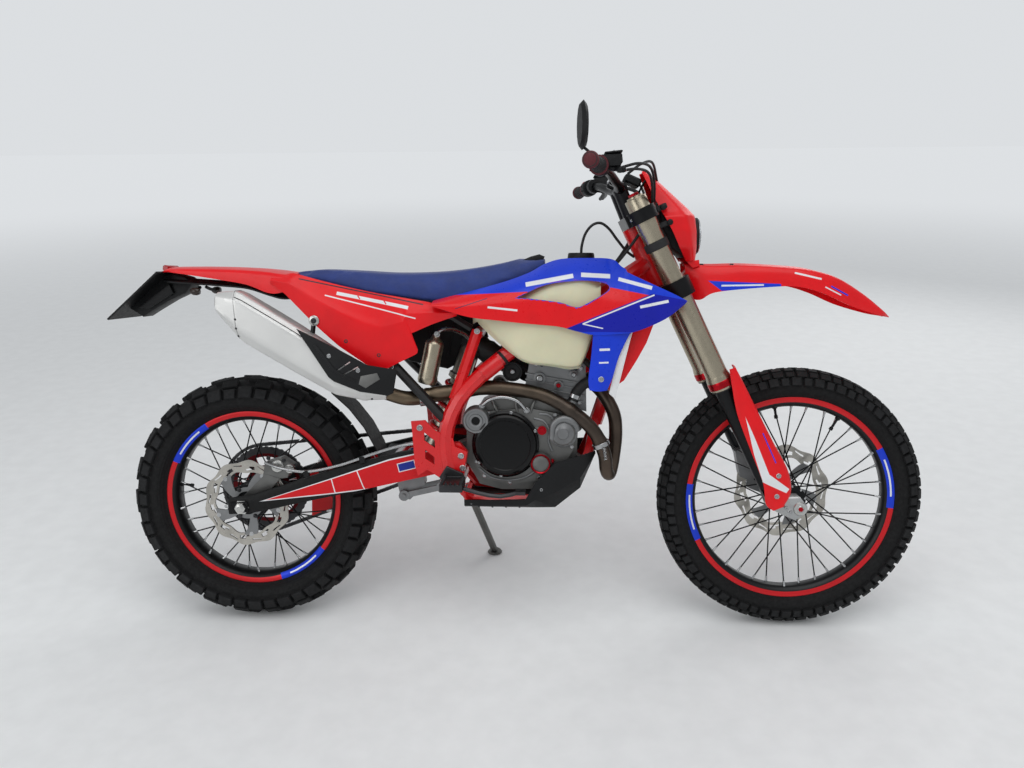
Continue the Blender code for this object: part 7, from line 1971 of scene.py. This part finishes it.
    for index, x in enumerate((0.64, 0.676, 0.712, 0.748)):
        rib = [(x, -0.1215, 0.37), (x + 0.001, -0.1225, 0.361), (x, -0.112, 0.351), (x, -0.08, 0.3455)]
        tubes.append(("skidRib%d" % index, rib, 0.0028, blackPlastic, 14, 8))
    # horizontal ribs across the cylinder
    plates = []
    for index, z in enumerate((0.652, 0.668, 0.684, 0.7)):
        front = 0.922 - (0.7 - z) * 0.1
        outline = [(0.762, z), (front, z - 0.028), (front + 0.001, z - 0.023), (0.762, z + 0.005)]
        plates.append(("cylinderRib%d" % index, outline, 0, 0.13, castAluminium, 0.0008))
    addFittings(turned, tubes, bolts, plates)
    clamp = [(0.0138, -0.005), (0.0152, -0.005), (0.0152, 0.005), (0.0138, 0.005), (0.0138, -0.005)]
    addTurned("hoseClamp", clamp, (0.893, -0.068, 0.642), (0.35, 0.1, 0.92), 28, polishedSteel)
    motor = [(0, -0.045), (0.02, -0.045), (0.023, -0.04), (0.023, 0.04), (0.018, 0.046), (0, 0.046)]
    addTurned("starterMotor", motor, (0.69, -0.01, 0.664), (0, 1, 0), 28, darkCast)
    right = (0, -1, 0)
    addBolts(
        "oilLineBanjos", [((0.648, -0.104, 0.62), right), ((0.766, -0.106, 0.61), right)], 0.0082, 0.009,
        polishedSteel
    )
    addBolts(
        "skidBolts", [((0.806, -0.1215, 0.402), right), ((0.622, -0.119, 0.364), right)], 0.007, 0.005,
        polishedSteel
    )


makeEngineFittings()


def makeFrameFittings():
    # nuts, bolts, sleeves, welds and peg teeth on both sides, and the rear brake line
    pivotNut = [
        (0, -0.004), (0.019, -0.004), (0.0195, 0.002), (0.017, 0.005), (0.011, 0.006), (0.01, 0.003),
        (0, 0.003)
    ]
    axleNut = [
        (0, 0.016), (0.006, 0.016), (0.008, 0.014), (0.0145, 0.013), (0.0155, 0.01), (0.0155, 0.002),
        (0.0205, 0.002), (0.0205, -0.002), (0, -0.002),
    ]
    frameSpots = [
        (0.596, 0.1375, 0.494), (0.6, 0.1375, 0.462), (0.489, 0.1375, 0.568), (0.56, 0.112, 0.588),
        (0.412, 0.1145, 0.726), (0.638, 0.104, 0.818),
    ]
    # sleeve where the cast lower section takes the tube, and the weld beside it
    sleeve = np.array([(0.65, 0.10625, 0.705), (0.672, 0.1, 0.722), (0.694, 0.093, 0.739)])
    weld = np.array([(0.7, 0.0905, 0.744), (0.703, 0.0895, 0.7465), (0.706, 0.0885, 0.749)])
    tooth = upright([(0.0042, -0.003), (0.0042, 0.0), (0.0012, 0.0055), (0, 0.006)], 4)
    for side, word in bothHands:
        out, mirror = (0, side, 0), np.array([1, side, 1])
        addTurned("pivotNut" + word, pivotNut, (0.571, side * 0.1225, 0.479), out, 28, machinedAluminium)
        addBolts(
            "frameBolts" + word, [(spot * mirror, out) for spot in frameSpots], 0.008, 0.006, polishedSteel
        )
        addTube("sparSleeve" + word, resample(sleeve * mirror, 12), 0.0222, redPaint, "frame", 14, 28)
        addTube(
            "sparJoint" + word, resample(weld * mirror, 4), [0.0202, 0.0212, 0.0212, 0.0202], gripDark,
            "frame", 4, 28
        )
        # knurled teeth along both long edges of the peg and across its end
        spots = [(x, side * y, 0.4435) for y in np.linspace(0.158, 0.236, 9) for x in (0.556, 0.604)]
        spots += [(x, side * 0.238, 0.4435) for x in (0.568, 0.58, 0.592)]
        addCopies("footpegTeeth" + word, tooth, spots, [np.eye(3)] * len(spots), darkSteel, smooth=20)
        # chain adjuster block, axle nut and washer at the arm's end
        axleEnd = (0, side * 0.1225, 0.344)
        addTurned("rearAxleNut" + word, axleNut, axleEnd, out, 6 if side < 0 else 24, machinedAluminium)
        addBlock(
            "chainAdjuster" + word, (0.046, 0.006, 0.03), (-0.004, side * 0.1245, 0.3445), blackAnodised,
            "frame", 6
        )
        addBolts(
            "adjusterBolt" + word, [((-0.04, side * 0.11, 0.3435), (-1, 0, -0.1))], 0.0065, 0.01,
            polishedSteel
        )
    # rear brake line along the top of the swingarm, with its clips
    line = [
        (0.062, -0.1, 0.462), (0.11, -0.118, 0.452), (0.18, -0.1215, 0.444), (0.27, -0.119, 0.462),
        (0.36, -0.112, 0.492), (0.43, -0.104, 0.512), (0.486, -0.1, 0.52),
    ]
    addTube("rearBrakeLine", line, 0.0042, polishedSteel, "frame", 50, 10)
    for index, place in enumerate(((0.18, -0.1205, 0.438), (0.33, -0.114, 0.476))):
        addBlock("brakeLineClip%d" % index, (0.016, 0.012, 0.018), place, blackPlastic, "frame", 12)


makeFrameFittings()


def makeAirBox():
    # black moulded air box wall on the far side of the shock, ribbed, with its boot to the throttle
    wall = [
        (0.372, 0.88), (0.42, 0.893), (0.56, 0.872), (0.64, 0.838), (0.655, 0.79), (0.61, 0.735),
        (0.54, 0.7), (0.43, 0.722), (0.385, 0.8),
    ]
    plates = [("airBoxWall", wall, 0.062, 0.024, blackPlastic, 0.006)]
    for index, x in enumerate((0.44, 0.5, 0.56)):
        rib = [(x, 0.86), (x - 0.02, 0.735), (x - 0.014, 0.735), (x + 0.006, 0.86)]
        plates.append(("airBoxRib%d" % index, rib, 0.048, 0.006, blackPlastic, 0.001))
    boot = [(0.6, 0.04, 0.79), (0.64, 0.022, 0.762), (0.684, 0.004, 0.739)]
    folds = [0.03, 0.033, 0.03, 0.033, 0.03, 0.033, 0.03, 0.029]
    addFittings(tubes=[("airBoot", boot, folds, hoseRubber, 8, 24)], plates=plates)


makeAirBox()


def makeRightDetails():
    # throttle drum, two raised covers on the cylinder, ribs, and the rear caliper's bores and bolts
    drum = [
        (0.0, 0.016), (0.008, 0.016), (0.009, 0.013), (0.02, 0.013), (0.022, 0.016), (0.0255, 0.016),
        (0.0265, 0.012), (0.0265, 0), (0, 0),
    ]
    covers = {
        "camEndCover": [
            (0.78, 0.742), (0.812, 0.752), (0.872, 0.742), (0.905, 0.722), (0.905, 0.712), (0.868, 0.722),
            (0.8, 0.724), (0.782, 0.73),
        ],
        "barrelPad": [
            (0.792, 0.662), (0.836, 0.656), (0.862, 0.64), (0.858, 0.622), (0.824, 0.614), (0.796, 0.628)
        ],
    }
    ribs = {
        "coverRibA": [(0.8, 0.6), (0.826, 0.596), (0.846, 0.57), (0.842, 0.54), (0.852, 0.512)],
        "coverRibB": [(0.786, 0.588), (0.812, 0.58), (0.826, 0.556), (0.824, 0.528), (0.834, 0.5)],
        "coverRibC": [(0.64, 0.452), (0.672, 0.428), (0.716, 0.42), (0.762, 0.428), (0.798, 0.452)],
    }
    face = engine["rearCaliperFace"]
    turned = [("throttleDrum", drum, (0.728, -0.058, 0.708), 40, blackPlastic)]
    for index, (x, z, size) in enumerate(((0.094, 0.452, 0.017), (0.128, 0.446, 0.013))):
        rings = (
            (0, 0.0075), (0.55, 0.0075), (0.62, 0.0055), (0.9, 0.005), (1, 0.003), (1, -0.002), (0, -0.002)
        )
        bore = [(size * share, height) for share, height in rings]
        turned.append(("rearCaliperBore%d" % index, bore, (x, -face, z), 32, machinedAluminium))
    caliperSpots = [(0.07, 0.474), (0.112, 0.468), (0.146, 0.456)]
    bolts = [
        ("throttleDrumBolt", -0.0745, [(0.728, 0.708)], 0.0055, 0.004, polishedSteel),
        ("rearCaliperBolts", -face - 0.0005, caliperSpots, 0.0058, 0.0045, darkSteel),
    ]
    for name, outline in covers.items():
        corners = np.array(outline[::2]) * 0.86 + np.mean(outline, 0) * 0.14
        bolts.append((name + "Bolts", -0.069, corners, 0.0042, 0.003, darkSteel))
    height = engine["face"] - 0.0004
    tubes = [
        (name, [(x, height, z) for x, z in route], 0.0034, castAluminium, 40, 10) for name,
        route in ribs.items()
    ]
    plates = [(name, outline, -0.064, 0.009, castAluminium, 0.0028) for name, outline in covers.items()]
    addFittings(turned, tubes, bolts, plates)


makeRightDetails()


def makeChain():
    # links at equal steps along the belt line round both sprockets
    back, front = np.array([0.0, 0.344]), np.array([0.642, 0.497])
    large, small = 0.1215 + 0.0066, 0.034 + 0.0066
    span = front - back
    reach = np.linalg.norm(span)
    tilt, ease = math.atan2(span[1], span[0]), math.acos((large - small) / reach)
    way = lambda a: np.stack([np.cos(a), np.sin(a)], -1)
    rearArc = back + large * way(np.linspace(tilt + ease, tilt + 2 * np.pi - ease, 160))
    frontArc = front + small * way(np.linspace(tilt - ease, tilt + ease, 60))
    loop = np.concatenate([rearArc, frontArc, rearArc[:1]])
    step = np.concatenate([[0], np.cumsum(np.linalg.norm(np.diff(loop, axis=0), axis=1))])
    count = int(round(step[-1] / 0.015875 / 2)) * 2
    at = np.arange(count) * step[-1] / count
    pins = np.stack([np.interp(at, step, loop[:, k]) for k in (0, 1)], -1)
    after = np.roll(pins, -1, axis=0)
    middle, run = (pins + after) / 2, after - pins
    run /= np.linalg.norm(run, axis=1, keepdims=True)
    x = np.stack([run[:, 0], np.zeros(count), run[:, 1]], -1)
    frames = np.stack([x, np.repeat([acrossAxis], count, axis=0), np.cross(x, acrossAxis)], -1)
    angle = np.linspace(0, 2 * np.pi, 20, endpoint=False)
    # plate outline: two round ends joined by a waist
    px = np.cos(angle) * 0.006 + np.sign(np.cos(angle)) * 0.0079 * (np.abs(np.cos(angle)) > 0.05)
    pz = np.sin(angle) * (0.0058 - 0.0014 * (np.abs(np.cos(angle)) < 0.45))
    def plateForm(y, thick):
        rings = [
            np.stack([px * k, np.full(20, y + side * thick / 2), pz * k], -1) for side,
            k in ((-1, 0), (-1, 0.96), (-1, 1), (1, 1), (1, 0.96), (1, 0))
        ]
        points = np.concatenate(rings)
        return points, oriented(points, gridFaces(6, 20, wrapColumns=True))
    forms = []
    centres = np.stack([middle[:, 0], np.full(count, 0.085), middle[:, 1]], -1)
    for parity, offset in ((0, 0.0068), (1, 0.0047)):
        pair = stacked(plateForm(offset, 0.0018), plateForm(-offset, 0.0018))
        forms.append(repeated(*pair, centres[parity::2], frames[parity::2]))
    roller = revolveOf(
        [
            (0, -0.0088), (0.0028, -0.0088), (0.0028, -0.0036), (0.005, -0.0036), (0.005, 0.0036),
            (0.0028, 0.0036), (0.0028, 0.0088), (0, 0.0088)
        ],
        (0, 0, 0), (0, 1, 0), 12
    )
    pinCentres = np.stack([pins[:, 0], np.full(count, 0.085), pins[:, 1]], -1)
    forms.append(repeated(*roller, pinCentres, frames))
    points, faces = stacked(*forms)
    addPiece("driveChain", points, faces, darkSteel, "frame", "chain", weld=True, smooth=35)


makeChain()


shock = {
    "top": (0.628, 0, 0.806), "low": (0.466, 0, 0.395), "turns": 8, "coilRadius": 0.029, "wire": 0.0052,
    "canTop": (0.525, -0.075, 0.794), "canLow": (0.499, -0.075, 0.673),
}


def makeShock():
    # body turned about its axis; spring: a helix whose turns lie closer at its ends; reservoir and its hose
    top, low, canTop, canLow = (np.array(shock[k]) for k in ("top", "low", "canTop", "canLow"))
    length = np.linalg.norm(low - top)
    axis = (low - top) / length
    profile = [
        (0, 0.004), (0.015, 0.004), (0.016, 0.036), (0.024, 0.042), (0.0265, 0.048), (0.0265, 0.12),
        (0.0315, 0.124), (0.0315, 0.136), (0.0225, 0.14), (0.0225, 0.3), (0.0315, 0.352), (0.0315, 0.362),
        (0.02, 0.366), (0.0115, 0.372), (0.0115, length - 0.004), (0, length - 0.004),
    ]
    # anodised alloy body, satin grey
    grey = simpleMaterial("shockGreyAnodised", "#A39E92", 0.3, 0.9, (0.6, 0.03), 0.08)
    addTurned("shockBody", profile, top, axis, 40, grey, replaces="shock")
    t = np.linspace(0, 1, 420)[:, None]
    angle = 2 * np.pi * shock["turns"] * t
    rise = 0.14 + 0.21 * (t + 0.035 * np.sin(2 * np.pi * t))
    ring = np.cos(angle) * np.cross(axis, acrossAxis) + np.sin(angle) * acrossAxis
    points, faces, _ = tubeOf(top + axis * rise + shock["coilRadius"] * ring, shock["wire"], 12)
    # spring steel under red powder coat
    springRed = simpleMaterial("paintedSpringSteel", "#C9161E", 0.32, 0.0, (1.2, 0.05), 0.06)
    addPiece("shockSpring", points, faces, springRed, "frame", weld=True)
    can = [
        (0, -0.012), (0.01, -0.012), (0.012, -0.004), (0.017, 0.0), (0.0235, 0.008), (0.025, 0.014),
        (0.025, 0.1), (0.0262, 0.102), (0.0262, 0.112), (0.0235, 0.12), (0.01, 0.123), (0, 0.123),
    ]
    addTurned("shockReservoir", can, canTop, canLow - canTop, 40, champagneTube)
    hose = [
        (0.527, -0.075, 0.806), (0.54, -0.07, 0.818), (0.566, -0.048, 0.818), (0.596, -0.02, 0.802),
        (0.612, -0.006, 0.784),
    ]
    addTube("shockHose", hose, 0.0058, polishedSteel, "frame", 24, 14)
    addBolts("shockBanjo", [((0.53, -0.082, 0.808), (0, -1, 0.2))], 0.0085, 0.008, polishedSteel)


makeShock()
print("engine and chassis ready")


# Fork, bars and cables.

def guardStickers():
    # red moulding with a white flash down its rear edge that kicks forward at the foot
    return stickerMaterial("forkGuardStickers", redHex, 0.34, [
        (whiteHex, [(1.322, 0.618), (1.352, 0.505), (1.378, 0.431), (1.398, 0.452), (1.35, 0.552)]),
        (whiteHex, [(1.376, 0.431), (1.438, 0.403), (1.446, 0.413), (1.395, 0.45), (1.386, 0.454)]),
        (blueHex, lineArea((1.372, 0.56), (1.408, 0.482), 0.003)),
    ], redHex)


guardShape = {  # up the leg, rear and front edges ahead of its axis
    "rows": [
        (0.4154, 0.033, 0.046), (0.38, 0.022, 0.048), (0.3, 0.002, 0.05), (0.2, -0.006, 0.053),
        (0.11, -0.012, 0.057), (0.055, -0.028, 0.042), (0.03, -0.018, 0.012)
    ],
    "line": 0.134, "inner": 0.088,
}


def makeForkGuard(side, word, sticker):
    # rows up the leg, each bent from the outer face round the front edge; drawn as a smooth shell
    line, inner = guardShape["line"], guardShape["inner"]
    rows = []
    for up, back, ahead in guardShape["rows"]:
        wide = ahead - back
        ring = [
            (back, line - 0.004), (back + wide * 0.25, line), (back + wide * 0.75, line),
            (ahead - 0.002, line - 0.008), (ahead, inner + 0.018), (ahead, inner),
        ]
        rows.append([leg(up, 0, out) + acrossAxis * side * y for out, y in ring])
    points, faces, inside = shellOf(smoothGrid(np.array(rows), 60, 41), 0.003 * side)
    layers = {"inner": decideInside(points, inside)}
    addPiece(
        "forkGuard" + word, points, faces, sticker, "steering", "fork_guard_" + word.lower(), layers,
        smooth=50
    )
    spots = [(x, z) for x, _, z in (leg(0.062, 0, 0.004), leg(0.11, 0, 0.03))]
    addSideBolts("forkGuardBolts" + word, side * 0.1375, spots, 0.0065, 0.005, polishedSteel, "steering")


forkTurned = {  # about a leg's axis: profile (radius, height), its foot up the leg, facets, material
    "forkCollar": (
        [(0.0305, 0.004), (0.0331, 0.006), (0.0331, 0.022), (0.0305, 0.026)], 0.372, 48, redAnodised
    ),
    "forkSeal": ([(0.0237, -0.004), (0.03, -0.003), (0.0305, 0.001), (0.0237, 0.001)], 0.372, 40, gripDark),
    "maskBand": (
        [(0.0283, -0.011), (0.0312, -0.01), (0.0318, 0.0), (0.0312, 0.01), (0.0283, 0.011)], 0.778, 40,
        gripDark,
    ),
    "forkSlider": ([(0.0238, 0.0), (0.0238, 0.312), (0.023, 0.312), (0.023, 0.0)], 0.06, 48, blackAnodised),
}


def makeForkLeg(side, word):
    # outer tube: scraper lip, thick lower collar, slim middle and a hexagon cap, turned about the leg
    profile = [
        (0, 0.05), (0.024, 0.05), (0.024, 0.0), (0.0305, 0.0), (0.0318, 0.003), (0.0318, 0.03),
        (0.03, 0.036), (0.0288, 0.042), (0.0286, 0.26), (0.027, 0.268), (0.027, 0.44), (0.0286, 0.448),
        (0.0286, 0.534), (0.0275, 0.536), (0.0215, 0.537), (0.0205, 0.541), (0.01, 0.5425), (0, 0.5425),
    ]
    replaced = "fork_outer_" + word.lower()
    addTurned(
        "forkOuter" + word, profile, leg(0.372, side), forkUp, 56, champagneTube, "steering",
        replaces=replaced
    )
    for name, (ring, height, facets, material) in forkTurned.items():
        addTurned(name + word, ring + ring[:1], leg(height, side), forkUp, facets, material, "steering")
    cap = [
        (0, 0.004), (0.0135, 0.004), (0.0135, 0.0095), (0.012, 0.0105), (0.004, 0.0105), (0.004, 0.0085),
        (0, 0.0085)
    ]
    addTurned("forkCap" + word, cap, leg(0.911, side), forkUp, 8, redAnodised, "steering")
    # pinch bolts of both clamps
    out = acrossAxis * side
    spots = [(leg(h, side, -0.03) + out * 0.014, -forkAhead * 0.2 + out) for h in (0.643, 0.667, 0.862)]
    addBolts("clampBolts" + word, spots, 0.0062, 0.007, polishedSteel, "steering")
    # the foot: axle clamp, the insert in it and its pinch bolts
    clamp = [
        (0, 0.0275), (0.007, 0.0275), (0.009, 0.0255), (0.0165, 0.0255), (0.0185, 0.023), (0.0185, 0.0),
        (0, 0.0)
    ]
    insert = [(0.0, 0.0295), (0.0062, 0.0295), (0.0068, 0.0285), (0.0068, 0.026), (0, 0.026)]
    end = frontAxle + out * 0.1
    addTurned("axleClamp" + word, clamp, end, out, 30, machinedAluminium, "steering")
    addTurned("axleInsert" + word, insert, end, out, 6, redAnodised, "steering")
    foot = [(leg(h, 0, a) + out * 0.1228, out) for h, a in ((0.004, 0.02), (0.02, 0.014))]
    addBolts("footPinchBolts" + word, foot, 0.0062, 0.006, polishedSteel, "steering")


guard = guardStickers()
for side, word in bothHands:
    makeForkLeg(side, word)
    makeForkGuard(side, word, guard)

bar = {"centre": (1.005, 0.0, 1.18), "sweep": 0.33, "half": 0.395, "radius": 0.0112, "thick": 0.0143}
barShares = [
    (0.0, 0.0, 0.0), (0.14, 0.0, 0.0), (0.28, -0.04, 0.03), (0.46, -0.12, 0.09), (0.7, -0.2, 0.1),
    (1.0, -0.28, 0.095)
]


def barHalf(side):
    # the bar's middle line from its centre out to one tip
    centre = np.array(bar["centre"])
    return np.array(
        [centre + (f * bar["sweep"], side * o * bar["half"], u * bar["sweep"]) for o, f, u in barShares]
    )


def makeBars():
    # a tube along both halves, thicker in its middle, with the same set of controls at each end
    left, right = barHalf(1), barHalf(-1)
    path = resample(np.concatenate([right[::-1], left[1:]]), 120)
    y = np.abs(path[:, 1])
    radius = bar["radius"] + (bar["thick"] - bar["radius"]) * np.clip((0.1 - y) / 0.03, 0, 1)
    points, faces, along = tubeOf(path, radius, 20)
    addPiece(
        "handlebar", points, faces, blackAnodised, "steering", "handlebar", {"along": along}, weld=True,
        smooth=50
    )
    for side, word, half in ((-1, "Right", right), (1, "Left", left)):
        tip = half[-1]
        run = (half[-2] - tip) / np.linalg.norm(half[-2] - tip)
        makeGrip(word, tip, run)
        makeControls(side, word, tip + run * 0.131, run)
    # clamp caps over the bar
    for side, word in ((-1, "R"), (1, "L")):
        at = np.array(bar["centre"]) + acrossAxis * side * 0.048
        lid = at + np.array([-0.005, 0, 0.012])
        addBlock("barClamp" + word, (0.046, 0.026, 0.018), lid, blackAnodised, "steering", -26, 0.003)
        heads = [
            (
                (at[0] - 0.008 + d * 0.9, at[1], at[2] + 0.021 - d * 0.44), (-0.438, 0, 0.899)
            ) for d in (-0.015, 0.015)
        ]
        addBolts("barClampBolts" + word, heads, 0.0055, 0.006, polishedSteel, "steering")
    addBlock("dashUnit", (0.045, 0.07, 0.022), (1.04, 0, 1.205), blackPlastic, "steering", -24, 0.004)


def makeGrip(word, tip, run):
    # turned about the bar: a square wave of ribs 4.2 mm apart, with a bell-shaped flange near both ends
    z = np.linspace(-0.004, 0.115, 240)
    ribs = 0.0158 + 0.0009 * np.where(np.sin(z * 2 * np.pi / 0.0042) > 0, 1, 0) * ((z > 0.012) & (z < 0.103))
    radius = ribs + (
        0.0055 * (np.exp(-((z - 0.111) / 0.003) ** 2)) + 0.0035 * np.exp(-((z - 0.006) / 0.004) ** 2)
    )
    radius[0] = 0.0
    profile = np.stack([np.append(radius, 0.0112), np.append(z, 0.115)], -1)
    addTurned("grip" + word, profile, tip, run, 40, gripDark, "steering", replaces="grip_" + word.lower())
    end = [
        (0, -0.0062), (0.0105, -0.0062), (0.0165, -0.002), (0.019, 0.003), (0.019, 0.01), (0.016, 0.012),
        (0.016, -0.001),
    ]
    ring = [
        (0.016, 0.1085), (0.0228, 0.109), (0.0232, 0.1125), (0.0225, 0.115), (0.016, 0.115), (0.016, 0.1085)
    ]
    addTurned("gripEnd" + word, end, tip, run, 32, gripRubber, "steering")
    addTurned("gripRing" + word, ring, tip, run, 36, gripRubber, "steering")


def makeControls(side, word, near, run):
    # switch housing with a seam and buttons beside the grip
    housing = [
        (0.0112, -0.016), (0.021, -0.016), (0.0235, -0.012), (0.0235, -0.001), (0.0228, 0.0),
        (0.0235, 0.001), (0.0235, 0.012), (0.021, 0.016), (0.0112, 0.016), (0.0112, -0.016),
    ]
    addTurned("switchHousing" + word, housing, near, run, 32, blackPlastic, "steering")
    switches = ((-0.016, 0.016, redAnodised), (-0.021, 0.006, blackPlastic), (-0.02, -0.008, blackPlastic))
    for index, (back, up, material) in enumerate(switches):
        place = near + np.array([back, -side * 0.006 * (index - 1), up])
        addBlock("switch%s%d" % (word, index), (0.009, 0.009, 0.006), place, material, "steering", 40)
    # lever blade: thin tube that curves out and ends in a ball
    start = near + run * 0.02 + np.array([0.03, 0, -0.004])
    steps = (
        (0, 0, 0), (0.012, 0.01, -0.005), (0.017, 0.045, -0.01), (0.016, 0.09, -0.014),
        (0.01, 0.115, -0.016)
    )
    blade = [start + np.array([x, side * y, z]) for x, y, z in steps]
    taper = np.concatenate(
        [np.full(30, 0.0052), np.linspace(0.0052, 0.0042, 6), [0.005, 0.0068, 0.007, 0.0045]]
    )
    addTube("lever" + word, blade, taper, blackAnodised, "steering", 40, 12)
    # fluid reservoir with its lid
    at = near + run * 0.03 + np.array([0.026, 0, 0.016])
    addBlock("reservoir" + word, (0.04, 0.05, 0.026), at, blackCast, "steering", 6, 0.004)
    lid = at + np.array([-0.001, 0, 0.0155])
    addBlock("reservoirLid" + word, (0.042, 0.052, 0.005), lid, blackPlastic, "steering", 6, 0.0015)
    heads = [(lid + np.array([0, dy, 0.002]), (0.1, 0, 1)) for dy in (-0.018, 0.018)]
    addBolts("reservoirBolts" + word, heads, 0.0035, 0.003, polishedSteel, "steering")


makeBars()


def makeCables():
    # tubes along smooth routes; the first four run from the frame to the bars and are fixed in place,
    # attached to neither
    start, end = tuple(toWorld([(1.01, -0.03, 0.99)])[0]), tuple(toWorld([(1.075, -0.06, 1.14)])[0])
    crossing = ("frame", "steering", start, end)
    routes = {
        "throttleCableA": (0.0034, [
            (0.985, -0.262, 1.208), (1.034, -0.235, 1.222), (1.07, -0.17, 1.218), (1.088, -0.1, 1.176),
            (1.085, -0.062, 1.12), (1.045, -0.05, 1.05), (0.995, -0.044, 0.985), (0.94, -0.04, 0.945),
        ]),
        "throttleCableB": (0.0034, [
            (0.982, -0.268, 1.2), (1.03, -0.245, 1.208), (1.066, -0.18, 1.202), (1.082, -0.108, 1.16),
            (1.08, -0.07, 1.108), (1.04, -0.058, 1.042), (0.99, -0.05, 0.98), (0.94, -0.046, 0.94),
        ]),
        "clutchHose": (0.0036, [
            (1.0, 0.24, 1.215), (1.04, 0.215, 1.224), (1.072, 0.15, 1.216), (1.086, 0.09, 1.168),
            (1.082, 0.06, 1.112), (1.042, 0.05, 1.044), (0.992, 0.044, 0.982), (0.94, 0.04, 0.942),
        ]),
        "wiringLoom": (0.005, [
            (0.99, 0.15, 1.205), (1.03, 0.11, 1.2), (1.07, 0.05, 1.17), (1.062, 0.045, 1.1),
            (1.03, 0.046, 1.03), (0.985, 0.04, 0.972), (0.94, 0.034, 0.945),
        ]),
    }
    for name, (radius, route) in routes.items():
        addTube(name, route, radius, hoseRubber, None, 70, 10, blend=crossing)
    # front brake hose: looped ahead of the bar, then down the left leg to the caliper
    brakeHose = [
        (1.01, -0.225, 1.2), (1.044, -0.19, 1.226), (1.078, -0.12, 1.238), (1.1, -0.04, 1.206),
        (1.12, 0.03, 1.15), (1.14, 0.066, 1.08), (1.168, 0.074, 0.96), (1.19, 0.078, 0.9),
        (1.262, 0.13, 0.76), (1.33, 0.128, 0.6), (1.38, 0.126, 0.5), (1.392, 0.095, 0.462),
    ]
    maskCable = [
        (1.06, 0.02, 1.176), (1.078, 0.02, 1.208), (1.092, 0.018, 1.216), (1.104, 0.016, 1.194),
        (1.11, 0.014, 1.16), (1.112, 0.012, 1.11),
    ]
    addTube("frontBrakeHose", brakeHose, 0.0032, hoseRubber, "steering", 110, 10)
    addTube("maskCable", maskCable, 0.0028, hoseRubber, "steering", 50, 10)


makeCables()
print("fork and controls ready")

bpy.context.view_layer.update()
